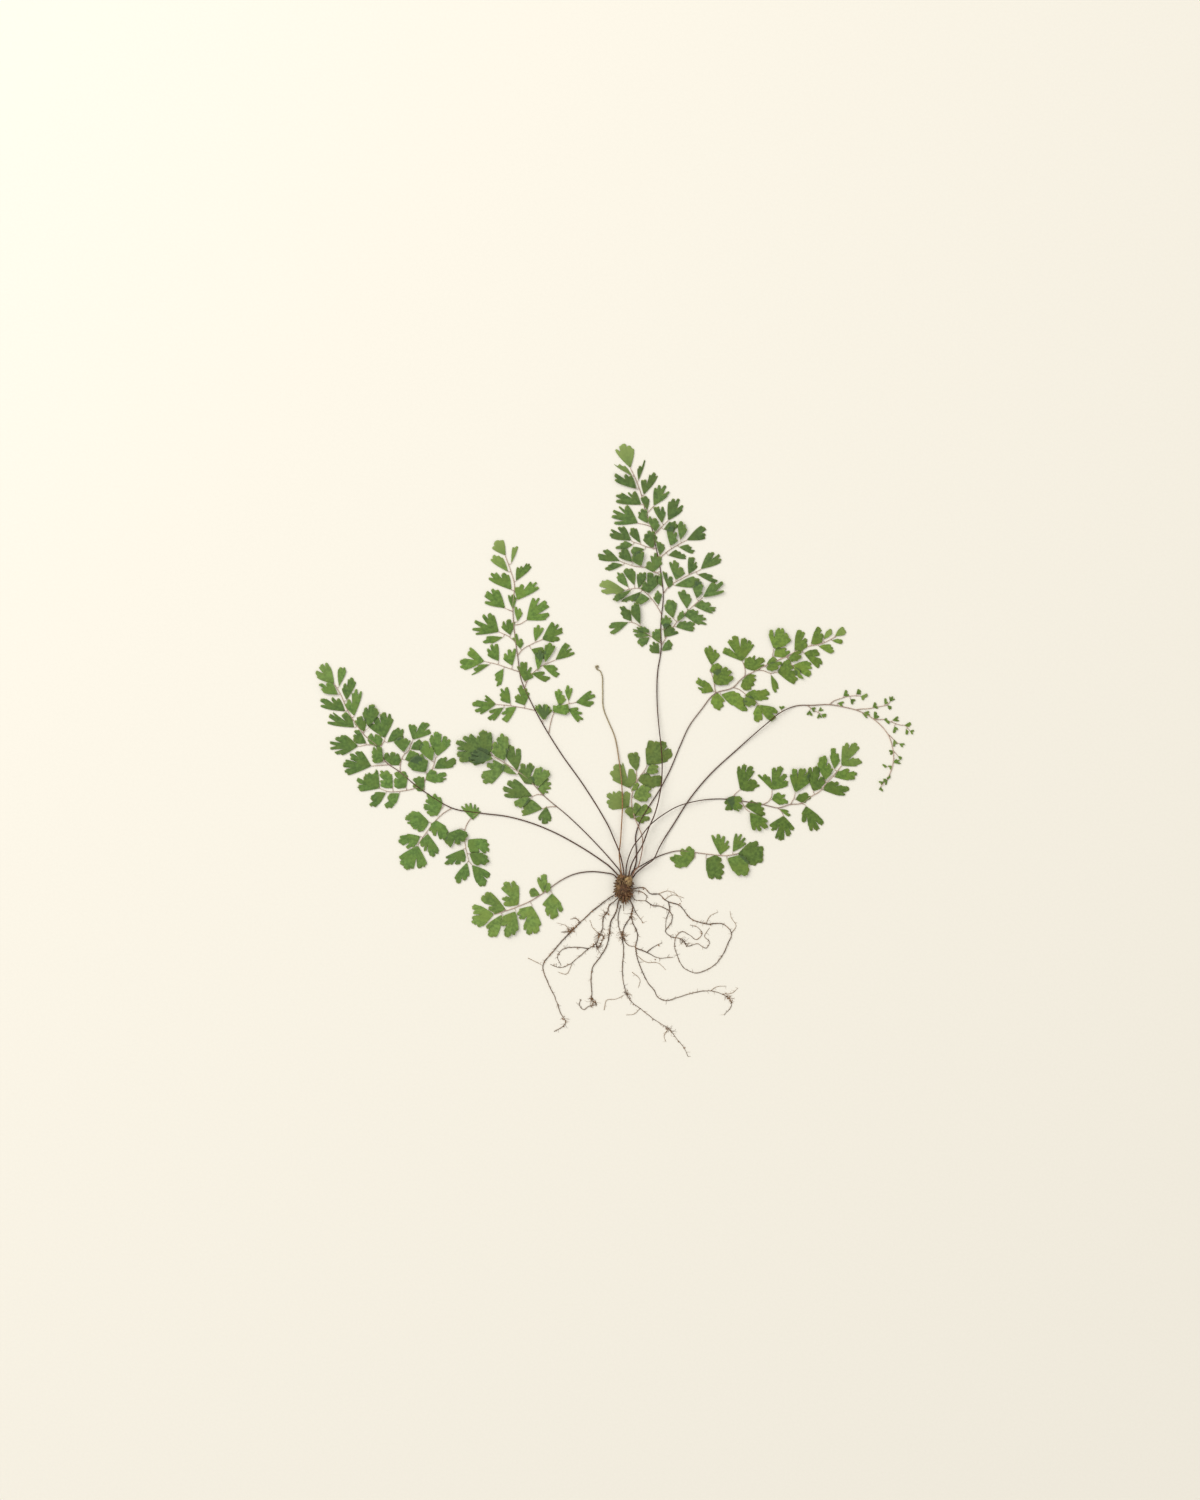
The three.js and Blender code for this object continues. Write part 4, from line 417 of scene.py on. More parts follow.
    "stem": [[0.1, 4.4, 3.3], [-0.3, 8, 3.2], [-2.6, 17.8, 2.9], [-5, 23.5, 2.2], [-7.5, 29.3, 1.2],
     [-10.5, 34.8], [-20, 50], [-32, 67], [-41.5, 82.5], [-47, 93], [-51.5, 103.5], [-53.2, 115],
     [-54.7, 126], [-55.6, 140], [-55, 152], [-56.4, 156.7], [-59.2, 164.6]],
    "leaflets": [
      [-59.2, 165.2, -65.9, 169.2, -64.8, 170.2, -64, 172.6, -62.3, 172.7, -60.6, 173],
      [-56.4, 161.2, -55.4, 169.4, -54.6, 169.1, -53.2, 169.8],
      [-57.9, 157, -66.6, 163.3, -65.6, 163.6, -65, 165.6, -63.9, 165, -62.7, 165.2, -61.8, 164.4, -61,
       164.2],
      [-54, 152.5, -53.1, 159.4, -52.2, 158.7, -51.3, 160, -50.5, 158.8, -48.6, 161.3, -48.2, 160.6,
       -47.4, 161.3, -47.2, 160.2, -46.4, 159.7],
      [-56.3, 148, -67.6, 153.9, -65.4, 154.1, -66.3, 156.6, -64.7, 156, -63.5, 157.1, -61, 153.7,
       -60.2, 156.6, -59, 156, -57.9, 155.6],
      [-53.4, 142.9, -54.2, 149.4, -52.3, 149.4, -51, 150.9, -50.2, 147.8, -46.6, 152.1, -45.6, 150.9,
       -43.7, 151.8, -44.9, 149.4, -42.5, 149.1],
      [-55.6, 138.2, -57.7, 145.5, -56.6, 144.5, -55.2, 145.8, -54.6, 145, -54, 144.2],
      [-53.3, 132.2, -54.4, 139.7, -53, 137.8, -52.1, 138.9, -51.5, 137.6, -50.9, 136.8],
    ],
    "pinnae": [
      {
        "axis": [[-55.6, 137.3], [-57.5, 138], [-59.3, 138.8]],
        "leaflets": [
          [-59.4, 138.9, -69.6, 141.8, -66.5, 142.4, -69.6, 145.2, -68.9, 146.2, -68.4, 147.4, -65.8,
           146, -65.7, 148.7, -64.4, 147.7, -63.2, 148.2],
        ],
      },
      {
        "axis": [[-54.3, 130.5], [-52, 131], [-48.9, 132.8]],
        "leaflets": [
          [-48.8, 132.9, -45.2, 144, -44.3, 142.3, -42.3, 143.9, -43.8, 139.9, -38.8, 142.2, -38.8,
           140.8, -37.4, 139.7, -43.2, 135.8, -37.4, 135.7, -38.2, 134.4, -39, 133.4],
        ],
      },
      {
        "axis": [[-54.4, 122], [-58, 125], [-62.5, 127]],
        "leaflets": [
          [-62.6, 127, -74.2, 126.2, -71.8, 127.3, -75.8, 128.4, -71.6, 129.4, -74.6, 132.6, -68.2,
           130.5, -70.1, 136, -67.9, 133.7, -67, 136.6, -66.1, 135.7, -65.2, 135.4],
          [-56.8, 125.4, -61.2, 129.8, -60.7, 130.9, -60.1, 132.5, -58.9, 130.3, -57.4, 133.4, -56.2,
           131.4, -54.8, 131.9],
          [-60.5, 124.4, -66.5, 121.4, -67.5, 121.6, -70.6, 122, -69, 123.1, -68.8, 124.4],
        ],
      },
      {
        "axis": [[-53, 115.3], [-51, 118], [-44.5, 121.7], [-41, 123.2]],
        "leaflets": [
          [-51.9, 118.6, -55.6, 124.1, -54.7, 124.3, -53.5, 126.2, -52.6, 122.4, -51.4, 123.7, -50.7,
           122.8, -50.3, 121.7],
          [-44.5, 122.2, -44.7, 129.3, -43.8, 129.1, -42.9, 130.6, -42.1, 128.6, -40.3, 129],
          [-41, 123.3, -35.7, 131.9, -34.8, 129.4, -33, 131, -34, 127.8, -31, 129, -31, 127.5, -30.6,
           126.6, -34.6, 124.9, -32.2, 123.2, -33.6, 122.3, -35, 122],
          [-46.4, 118.4, -40.4, 119, -39.9, 117.7, -38.6, 117.2, -39.8, 115.4, -39.8, 113.8, -40.6,
           113.3, -41.8, 112.8],
        ],
      },
      {
        "axis": [[-53, 107], [-56, 108.3], [-64, 111], [-69.6, 112.3]],
        "leaflets": [
          [-62.6, 112.4, -68.2, 115.7, -67.9, 116.6, -68.1, 118.8, -66.3, 117.7, -66, 121, -65, 119.8,
           -63.5, 121.1],
          [-69.8, 112.4, -80, 108.4, -81.2, 109, -82, 109.8, -80.9, 110.7, -82.1, 112.5, -81.3, 113.2,
           -80.2, 113.8, -75, 113.2, -78, 117, -77, 117.7, -77, 119.2],
          [-67.2, 110.8, -76.3, 105.6, -74, 107.3, -75.2, 108.4, -74.2, 109.2, -73, 110.2],
          [-60.2, 108.7, -64.6, 105.3, -64.2, 104, -64.4, 102.9, -63.2, 102.2, -63.8, 99.9, -62.8,
           100.2, -61.9, 100.5],
          [-55.8, 110.1, -60.3, 113.9, -60, 115, -59.5, 116.4, -58, 115.2, -57.5, 118.3, -55.9, 116.6,
           -54.4, 118.7],
        ],
      },
      {
        "axis": [[-49.3, 99], [-48.7, 102], [-46, 106], [-42, 109.5], [-34.4, 113]],
        "leaflets": [
          [-34.3, 113, -29, 121.5, -28.1, 120.8, -27.1, 120.3, -29, 117.7, -26.2, 118.6, -27.5, 116.7,
           -24.7, 116.4],
          [-39.6, 111.4, -39, 120.6, -38, 121, -37, 121.7, -35.9, 120.4, -34.5, 120],
          [-43, 107.4, -44.1, 116.8, -43, 116, -41.8, 118, -41, 116.5, -40.2, 116.6],
          [-49.8, 102.3, -53.2, 109.9, -51.8, 109.6, -50.8, 112.1, -49.9, 111.4, -48.9, 112, -48.5,
           107.3, -46.3, 109.4, -46.9, 106.8, -45.3, 104.8],
          [-40.8, 110.2, -34.6, 110, -34, 109.3, -33.2, 108.5, -34.5, 107.5, -32.2, 106.1, -33, 105.2,
           -33.6, 104.4],
          [-46.4, 106.3, -39.7, 106.8, -41, 105.4, -36.9, 104.2, -37.9, 103, -38.9, 102.2],
        ],
      },
      {
        "axis": [[-45, 87.5], [-48.5, 88.7], [-58, 90.3], [-63.6, 90.8]],
        "leaflets": [
          [-63.9, 90.9, -72, 86.2, -71.6, 87.4, -74.6, 87.9, -71.6, 89.5, -75.9, 91.3, -74.3, 92.3,
           -73.6, 93.6, -68, 91.8, -69.7, 93.2, -68.8, 93.9, -69.4, 95.3],
          [-56.7, 91.1, -61.8, 93.4, -61.4, 94.5, -62.2, 95.7, -61.2, 96.8, -61.6, 98.7, -59.7, 97.4,
           -58.5, 99.5],
          [-60.1, 89.3, -67.5, 87.2, -64.9, 86.5, -68.3, 84, -67.6, 83.3, -67, 82.8, -65.9, 83.6, -65.4,
           82.8],
          [-53.7, 89.5, -59.2, 88.6, -59.5, 87.6, -61.2, 86.2, -58.6, 86, -61, 83.2, -60, 82.7, -59,
           81.9],
          [-49.6, 90.3, -54.4, 92.5, -54, 93.2, -54.4, 95, -53.7, 95.2, -53, 95.9, -51.5, 94.8, -53.2,
           98.9, -52.4, 99.2, -51.7, 100.4, -50.4, 98.6, -48.8, 98.9, -48.4, 97.3, -47.4, 96.6],
        ],
      },
      {
        "axis": [[-37.2, 76.3], [-36.8, 81], [-34.5, 87.3], [-31, 90], [-24.3, 91.8]],
        "leaflets": [
          [-24.2, 91.8, -16.4, 97.5, -17, 95.6, -14.5, 95.2, -18.5, 92.6, -15.1, 91.8, -15.8, 90.6,
           -16.8, 89.8],
          [-27.7, 92.4, -29.3, 98.1, -28.9, 98.9, -28.1, 100.4, -27.2, 98.4, -26.1, 99],
          [-32.4, 89.8, -34.3, 97.5, -33.3, 97.3, -32.4, 98.5, -31.7, 97.3, -30.8, 97.4, -31.2, 95.6,
           -29.7, 95.2, -29.8, 94.3, -29.1, 93.6],
          [-40.5, 83, -44.3, 89.5, -36, 88, 5],
          [-35.6, 87, -35, 90.4, -33.6, 90, -31.6, 91, -30.2, 90.4, -28, 90.6, -27.6, 89, -27.2, 87.8,
           -27.8, 86.6, -28.6, 85.8],
          [-39.5, 82.8, -44.2, 90.5, -43.3, 90, -42.3, 91, -40.9, 88.4, -39.2, 90.9, -37.8, 88.9, -36.9,
           89.3],
          [-27.9, 88.6, -22.8, 88.9, -23.6, 87.4, -20.8, 86.7, -23, 85.7, -20.4, 83.4, -22.1, 83.3,
           -22.8, 82],
        ],
      },
    ],
  },
  {
    "name": "frond_far_left",
    "radius": 0.48,
    "stem": [[-1.9, 3.8, 1.6], [-4, 6.5, 1.4], [-7.5, 10, 0.8], [-12, 13.3], [-22, 19.8], [-34, 26.4],
     [-46, 31.4], [-58, 34.7], [-72, 36.5], [-86, 39], [-95, 44], [-105, 51], [-112, 57], [-119.5, 62.5],
     [-123.5, 70], [-129.8, 75.5], [-134, 81], [-138.5, 88.3], [-141.8, 96], [-144.6, 100.7]],
    "leaflets": [
      [-144.8, 101, -153.4, 104.6, -153.8, 105.8, -153.9, 107.4, -150.4, 106.5, -152.3, 109.4, -151.6,
       110.6, -150.7, 111.1, -149.4, 109.7, -148.7, 111.7, -147.8, 110.8, -147.1, 109.8],
      [-142.5, 99.6, -142.7, 108.4, -142.3, 109, -141.5, 109.4, -140.5, 108.6, -139.7, 109.4, -139.3,
       108.7, -139, 107.8],
      [-143, 95.6, -150.4, 97, -150.8, 97.7, -151.3, 98.4, -150.2, 99.2, -152.6, 100.5, -151.9, 101.3,
       -150.8, 101.8, -148.6, 99.8, -148.3, 101.8, -147.2, 102, -146, 101.5],
      [-138.7, 92.9, -140.8, 98.8, -140.3, 99.4, -139.3, 101.4, -138.4, 99.7, -137.8, 103.3, -137,
       103.6, -136, 104.3, -135.2, 103.1, -134.2, 102.1],
      [-139.3, 87.3, -151.7, 90.2, -149.3, 90.8, -151.7, 93.2, -150.9, 93.9, -149.9, 94, -149.3, 93.6,
       -148.3, 94.4, -145.2, 91.3, -145.5, 94.7, -144, 92.7, -142.8, 93.9],
      [-134.8, 85, -139.4, 90.9, -138.4, 91.6, -137.5, 93.4, -135.8, 91, -135.7, 96.4, -134.8, 96.6,
       -133.9, 98.5, -132.9, 95.3, -131.3, 97.4],
      [-134.9, 79.2, -148.2, 81.9, -144.2, 82.3, -147.4, 85.2, -146.9, 86, -146.4, 86.8, -144.3, 84.9,
       -144.8, 87.6, -139.3, 82.5, -140.9, 85.6, -140.1, 86.3, -139.4, 86.9, -138.2, 86.4, -137, 85.4],
      [-129.8, 77, -134.6, 81.4, -134.6, 82.3, -134.2, 82.9, -133.4, 82.9, -133.2, 84.4, -132.4, 84.6,
       -131.2, 85, -130.2, 82.5, -129.2, 83.6],
      [-91.4, 38.4, -94, 35.2, -95.8, 35.1, -97.4, 35.6, -98.6, 36.5, -98.7, 37.2, -97.3, 38.2, -99.7,
       38.3, -100.3, 39.2, -100, 40.2, -100.2, 41.2, -99, 41.4, -96.7, 40.5, -99.2, 42.6, -98.9, 43.4,
       -98, 43.6, -98.4, 44.8, -98.4, 46, -96, 44.8, -94.4, 46.3, -93.4, 44.7, -92.2, 44.5, -91.2, 43.4,
       -90.8, 42],
    ],
    "pinnae": [
      {
        "axis": [[-122.5, 69], [-120.8, 71], [-119.6, 73.5]],
        "leaflets": [
          [-127.7, 79.3, -130.4, 86.8, -129.8, 88.4, -128.7, 89.4, -127.8, 87.9, -127, 90.5, -126, 90.8,
           -124.7, 90.7, -124.6, 88.8, -123.6, 88.8, -123, 88, -122.5, 87],
          [-119.6, 73.9, -127.6, 80.2, -124.5, 81, -123.8, 84.3, -123.2, 84.7, -122.4, 84.2, -121.3,
           80.5, -121.6, 85.8, -120.8, 86.6, -119.6, 86.9, -118.4, 83.9, -117.1, 86.2, -116.5, 84.8,
           -115.5, 83.4],
          [-118.4, 71.8, -114.8, 78.1, -113.8, 78.6, -112.5, 79.1, -112, 77.8, -110.5, 78.5, -110.3,
           76.4, -110.2, 74.6],
          [-123.4, 69.4, -127.4, 71.6, -127.9, 72.5, -128, 73.5, -127.8, 74.2, -127.8, 75, -127.2, 75.8,
           -126.4, 76.4, -124.8, 74.2, -124.2, 75.9, -123.3, 75.9, -122.4, 75.4, -121.4, 75, -120.8,
           73.6, -120.9, 72.4, -121, 71.2],
        ],
      },
      {
        "axis": [[-124, 70.3], [-128.5, 70.6], [-132.4, 69.8]],
        "leaflets": [
          [-132.8, 70, -141.3, 65.8, -142.2, 66.3, -143.8, 66, -144.3, 66.6, -144.7, 67, -140, 68.7,
           -146.9, 69.1, -144.1, 70.3, -147, 72, -146.8, 72.7, -146, 72.9, -141.6, 71.6, -144.3, 73.9,
           -143.8, 74.6, -143, 74.8, -142, 74.3, -141.5, 75.2, -140.6, 75.5, -139.6, 75.5],
          [-128.8, 71.3, -134.3, 71.7, -134.9, 72.4, -135.3, 73.5, -135.1, 74.4, -135.3, 75.3, -134.8,
           75.9, -134.3, 75.8, -133.2, 75.2, -134.9, 77.4, -134.2, 78.1, -133, 78.1],
        ],
      },
      {
        "axis": [[-117.5, 60.7], [-122, 60.3], [-126.2, 60]],
        "leaflets": [
          [-126.3, 59.9, -138.3, 56.1, -138.8, 57, -139.7, 57.5, -139.6, 58.3, -138.9, 58.9, -136.3,
           59.3, -140.4, 60.3, -140.6, 60.9, -140.2, 61.6, -139, 62.3, -139.2, 63.2, -138.6, 63.5,
           -137.8, 63.4, -132.5, 61.7, -136.8, 63.8, -136.3, 64.7, -137, 65.9, -136.5, 66.4, -135.8,
           66.4, -132.9, 64.6, -134.3, 66.8, -133, 67.5, -131.5, 67.4],
          [-120.4, 62, -124.8, 61.6, -125.4, 62.1, -125.7, 63, -125.5, 63.9, -126.1, 64.9, -125.6, 65.8,
           -125.8, 67.6, -125.5, 68.8, -124.8, 69.7, -123.5, 67.8, -123.4, 70, -122.4, 70, -121.4,
           69.4],
        ],
      },
      {
        "axis": [[-111.8, 57.2], [-111.8, 61], [-110.5, 65], [-108, 67.5], [-106, 72]],
        "leaflets": [
          [-116.4, 60.4, -120.2, 64.4, -119.8, 65.6, -118.8, 66.7, -116.6, 64.6, -117, 66.4, -116, 67.2,
           -114.6, 66.8, -114.2, 65.2, -113.3, 66.4, -112.2, 65.3, -111.6, 63.6, -111.8, 61.9, -112.4,
           60.7],
          [-110.1, 66.8, -114.9, 72.4, -113.6, 73.6, -112, 74.6, -110, 73.4, -109.2, 74, -107.8, 72.5,
           -106.8, 72.8],
          [-105.6, 73.1, -107.5, 80.4, -107.3, 80.9, -106.6, 80.9, -106, 80.4, -104.9, 80.7, -104.3,
           80.5, -103.9, 79.8, -104, 76.2, -102.1, 80.2, -101.2, 81.5, -99.9, 81.8, -98.6, 81.7, -97.3,
           80.9, -99.6, 77.6, -97.2, 78.2, -96.8, 77.4, -96.5, 76.6],
          [-106.6, 68.4, -104.6, 72, -103.5, 72.6, -102, 73.2, -101.2, 72, -100.4, 71.6, -100.8, 70,
           -101, 68.4],
          [-109.6, 63.1, -106.4, 67.9, -105.6, 67.3, -104.6, 67.2, -103.4, 66.6, -102.6, 66, -101.4,
           64.4, -100.8, 63.2, -101.6, 62.2, -102.6, 61.4],
        ],
      },
      {
        "axis": [[-103, 49.5], [-105.5, 48.6], [-112, 47.4], [-118, 47.3], [-121.9, 48.7]],
        "leaflets": [
          [-108.9, 49.2, -113.4, 48.9, -114.3, 49.4, -114.9, 50.4, -114.8, 51.6, -115, 52.6, -114.9,
           53.4, -114.3, 54, -112.4, 53.4, -114.6, 55.4, -114.9, 56.4, -113.6, 57.2, -112.2, 56.6,
           -110.4, 57.4, -109, 56.9, -108.3, 55.4],
          [-115.6, 48.9, -120, 49.3, -121, 49.7, -121.8, 50.4, -121.4, 51.6, -121.9, 52.6, -121.2, 53.1,
           -120.6, 53, -119.3, 53, -121.9, 54.8, -122.4, 55.6, -121.8, 56.2, -121.4, 56.4, -121.9, 57.5,
           -120, 57, -119, 57.8, -117.6, 57.2, -116.4, 56],
          [-122.1, 48.9, -130.2, 47.8, -131.4, 47.6, -132.4, 48.4, -133.4, 49.6, -132.6, 50.6, -129.2,
           50.9, -132.6, 51.6, -133.6, 52.6, -133.4, 53.6, -132.8, 54.4, -131.6, 54.6, -130, 52.9,
           -129.9, 54.8, -129.2, 56.4, -128.4, 55.8, -127.4, 56.9, -125.6, 56, -123.9, 58.6, -123.3,
           57.8],
          [-119, 46.7, -124.6, 46.6, -125.4, 45.6, -126.6, 44.6, -126.9, 43.8, -126.4, 43.2, -125.2,
           42.6, -127.2, 42, -127.5, 41, -126.6, 39.8, -125.6, 40.3, -124.6, 39.5, -123.6, 40.2, -122.8,
           40.9],
          [-112.2, 46.4, -117.4, 45.9, -118, 45, -118.2, 43.8, -117.6, 42.5, -120, 40.9, -119.5, 39.8,
           -118.8, 38.9, -117.8, 39.3, -116.6, 39, -115.4, 40, -114.2, 41.4],
        ],
      },
      {
        "axis": [[-100.3, 47.5], [-99.8, 51.5], [-98.6, 55], [-96, 58.5], [-94, 64.5]],
        "leaflets": [
          [-95.9, 62.3, -101.9, 68.2, -102, 69.4, -101.4, 70.6, -100.9, 71.4, -100.2, 72.4, -98.9, 72.9,
           -97.7, 72.4, -97.2, 71.4, -97, 70.4, -97, 68.6, -96.2, 69.8, -95.5, 69.3, -95.1, 68.2],
          [-99.1, 56.8, -106.2, 58.4, -107.2, 59.5, -108, 61, -107.4, 62.4, -106.4, 63.8, -105.2, 64.8,
           -103.6, 65.6, -102.2, 65.2, -100.9, 66.2, -99.9, 64, -98.6, 63.2, -97.9, 62.2, -98.1, 61],
          [-93.4, 64.8, -97, 73.8, -96.6, 75, -95.9, 75.7, -94.7, 74.1, -94.9, 76.7, -94.1, 77.3, -92.9,
           77.1, -92.4, 76.5, -91.7, 76.2, -91.4, 71.4, -90.2, 74.8, -89.6, 75, -88.8, 74.8, -88.6,
           72.8, -87.2, 73.4, -86.7, 72.4, -86.9, 71],
          [-94.9, 58.7, -92.4, 63.3, -91.6, 63.9, -90.6, 63.8, -90.2, 63.9, -88.9, 64.5, -89, 61.7,
           -86.4, 63.7, -85.6, 64, -84.6, 63.8, -83.8, 63, -84, 61.8, -84.8, 60.6, -85.4, 59.7],
          [-99.1, 53, -98.4, 56.3, -97.4, 57.4, -95.6, 58.1, -94.6, 57.6, -93.9, 57.3, -93.9, 55.5,
           -91.6, 56.7, -90.2, 56.8, -88.8, 56, -91.3, 53.7, -88.8, 54, -89.2, 53.2, -90.4, 52.4, -92.2,
           51.8, -94.2, 51.6],
          [-99.9, 47.4, -103.4, 47.8, -104.6, 48.9, -105.5, 50.4, -104.9, 51.2, -104.4, 51.4, -103.6,
           50.9, -105.6, 53.2, -104.8, 54.2, -103.8, 54.2, -103.4, 54.2, -102.6, 54.9, -101.4, 54.3,
           -100.3, 54.6, -99.8, 53.4, -99.7, 51.8],
        ],
      },
      {
        "axis": [[-86, 38.9], [-90, 36.6], [-94, 33], [-98.7, 27], [-103, 20.8]],
        "leaflets": [
          [-97.4, 32.1, -103, 37.2, -104.6, 37.4, -106.4, 37, -107.2, 36.5, -107.7, 35.9, -107.9, 35.5,
           -108.8, 35.4, -109.4, 34.2, -109.4, 33.4, -106.8, 32.7, -108.4, 31.8, -107.8, 31.2, -106.8,
           31, -106.4, 30, -105.6, 28.9, -104.8, 28.6, -104.4, 28.4, -103.7, 28.9, -103.2, 27.6, -102.2,
           27.2, -101, 27.4, -99.8, 28.4, -99, 29.4],
          [-93.9, 32.9, -96.6, 30.6, -97.1, 29, -97.1, 27.4, -96.2, 28, -95.9, 26.6, -95.6, 25.6, -94.6,
           25, -93.4, 28.1, -93.2, 25, -92.6, 23.7, -91.8, 23.3, -91, 23.8, -90.4, 22.9, -89.4, 22.6,
           -88.6, 23.4, -88.3, 24.8, -88.1, 26.6, -88.6, 28.3, -89.2, 29.6],
          [-101.8, 24.9, -108.4, 25.9, -110.2, 25.4, -112.2, 24.6, -111.8, 23.6, -112.8, 22.6, -112.6,
           21.6, -111.8, 21.4, -111.2, 21, -110.8, 20.4, -110, 20.6, -107.5, 21.9, -109.2, 19.8, -108.6,
           18.9, -107.4, 19, -106.8, 19.8, -106.2, 19.7, -105.6, 19.4, -104.8, 20, -104, 20.8],
          [-98.1, 26.2, -102.2, 21.4, -101.8, 20.2, -101, 19.6, -99.6, 20.4, -100.4, 18.4, -100.2, 17.3,
           -99, 17.6, -98.3, 20.6, -98, 17, -97.4, 15.4, -96.4, 15, -95.8, 14.2, -94.9, 14.8, -94.8,
           17.2, -94.3, 15.9, -93, 15.9, -92.8, 17.4],
          [-103, 20.3, -111, 15.8, -112.4, 14.8, -112.2, 13.8, -111, 13.2, -112.2, 12.2, -112.1, 11,
           -110.8, 10.3, -110.2, 10.2, -109.9, 8.9, -108.8, 8, -107.4, 8.3, -107.2, 8.9, -105.6, 8.6,
           -104.8, 10.6, -104, 13.8, -103.8, 10, -102.8, 8.8, -101.6, 8.9, -101.2, 9.6, -100, 9.2, -99,
           10.8],
        ],
      },
      {
        "axis": [[-73, 36.5], [-77, 33.3], [-79.3, 29], [-79.5, 22], [-77.7, 12.5]],
        "leaflets": [
          [-75.5, 33, -81.2, 40, -71.8, 37.5, 6],
          [-82.3, 28.6, -88.4, 26, -89.2, 24, -89.3, 21.6, -88.6, 21, -88, 20.6, -87.4, 19.8, -86.9,
           19.3, -84.5, 23.5, -84.3, 21.2, -83.4, 20.6, -82, 20.7, -81.8, 22.8, -80.8, 22.1, -79.6,
           22.2, -79.4, 22.8, -79.4, 23.8, -78.2, 24.6, -78.1, 25.6, -78.5, 26.6],
          [-77.9, 23.3, -77.9, 19.4, -77.2, 17.4, -75.6, 16.4, -74.4, 16.8, -73, 16.4, -72.9, 18.8,
           -71.4, 16.2, -70.4, 15.9, -69.2, 16.4, -69, 17.4, -67.8, 16.9, -68.4, 19.4, -67.4, 20.6,
           -68.4, 21.4, -68.5, 22.6, -69.6, 23.3, -71, 23.5],
          [-77.4, 16.4, -74.8, 11, -74, 10.5, -72.4, 10.6, -71.4, 11.1, -69.4, 10.5, -68.4, 11.6, -67.3,
           12.4, -68.3, 13.4, -68.1, 14.6, -69, 15.4, -70.4, 16.2],
          [-80.3, 18.5, -89.1, 14.2, -87.4, 13.8, -89.7, 11.2, -89.2, 10.7, -88.4, 10.6, -87.4, 11,
           -86.2, 10.6, -83.8, 13.5, -84.5, 11, -83.6, 10.7, -82.2, 10.8, -81.6, 12.7, -80.6, 12, -79.4,
           12.6, -79.2, 14],
          [-78.5, 11.8, -84.6, 3.7, -84, 2.8, -83.6, 1.6, -82.8, 1.2, -81.9, 1.4, -80.9, 4.4, -80.4, 3,
           -79.8, 2.5, -79, 3.2, -78.6, 4.2, -77.7, 4.9],
          [-76.1, 10.6, -73.6, 1.6, -72.8, 0.6, -71.6, -0.3, -70.8, 0.1, -69.8, -0.1, -69, 1.2, -68.5,
           2.4, -70.7, 5.1, -68.4, 3.8, -67.4, 4.2, -67, 5.4, -67.2, 6.4, -68, 6.9],
        ],
      },
    ],
  },
  {
    "name": "frond_young_right",
    "radius": 0.46,
    "stem": [[4.2, 3.9, 0.9], [6, 6.5, 1.1], [8, 8.3, 1.4], [10.5, 10.2, 1.8], [14.5, 13.2, 2],
     [17.5, 19, 1.5], [20, 23.5, 0.8], [24.4, 30.3], [32.8, 43.5], [42.3, 55], [56.7, 68.4],
     [72, 81.8, 1.5], [77.7, 86.4, 1.5], [85.4, 89.9], [95, 90.4], [102.6, 90.7], [110.3, 89.4],
     [116, 88], [123.7, 84.2], [128.4, 80.3], [132.3, 75.1], [134.2, 69.3], [134.7, 62.6], [133.2, 56.9],
     [131.5, 53.5], [129.4, 51.2], [128.3, 49.6]],
    "leaflets": [
      [78.6, 88.1, 77.7, 89.8, 80.2, 89.8, 2],
      [119.1, 86.4, 122.6, 87.2, 121.5, 84, 3],
      [125, 83.3, 125.4, 87.2, 127.5, 84.8, 2],
      [135, 67.5, 132.5, 67.7, 133.2, 65.6, 2],
      [134.3, 61.8, 136.3, 63.4, 138.3, 61.3, 3],
      [131.6, 59.8, 129.2, 60.8, 130.2, 59.2, 2],
      [133.9, 60.1, 132.1, 59.9, 133.3, 58.2, 2],
      [133, 55.6, 132.9, 53.9, 131.4, 53.6, 1],
      [131.8, 53.3, 129.6, 53.5, 130.8, 50.5, 3],
      [129.6, 52, 127.3, 52.2, 128.4, 50.7, 2],
      [128.3, 49.6, 127.6, 48, 129.3, 47.4, 2],
    ],
    "pinnae": [
      {
        "axis": [[102.6, 90.7], [105, 92.6], [107.5, 93.5], [113, 95], [118.3, 95]],
        "leaflets": [
          [109.7, 95, 111, 98, 112.5, 95.2, 2],
          [116.1, 95.9, 117.3, 98.5, 118.4, 96.1, 1],
          [118.4, 94.9, 121.7, 96, 119.5, 92.9, 2],
          [113.2, 93.4, 115.7, 93, 114, 90.8, 2],
          [106.8, 91.5, 109.9, 92, 109.2, 89.8, 2],
        ],
      },
      {
        "axis": [[91.5, 90.1], [93.5, 88.9], [96, 87.3], [98.2, 86.1]],
        "leaflets": [
          [93.6, 89, 95.8, 89, 95, 87, 2],
          [97.2, 87.4, 98.5, 89.3, 99.7, 88, 2],
          [92.8, 87.9, 91.4, 85.6, 94, 85.2, 2],
          [97.5, 86.2, 96.7, 83.8, 98.7, 84.2, 2],
          [98.6, 85.9, 101.2, 85.8, 99.8, 84.1, 1],
        ],
      },
      {
        "axis": [[115.8, 88.1], [118.5, 88.5], [121.5, 88.6], [127.5, 89.7], [131.8, 90.8], [132.9, 92]],
        "leaflets": [
          [124.3, 89.4, 125.5, 91.9, 126.9, 88.8, 2],
          [130.2, 90.8, 130.6, 93.9, 132, 91.8, 2],
          [133, 92.2, 132.8, 94.7, 135.4, 93.5, 3],
          [131.6, 90.4, 133.8, 89.4, 132.8, 88.2, 1],
        ],
      },
      {
        "axis": [[124, 84], [127, 83.2], [129.5, 83.3], [134, 81.9], [138, 80.5], [140.3, 80.3],
         [142.9, 77.7]],
        "leaflets": [
          [129.8, 83.4, 131.4, 83.8, 132.6, 81.1, 2],
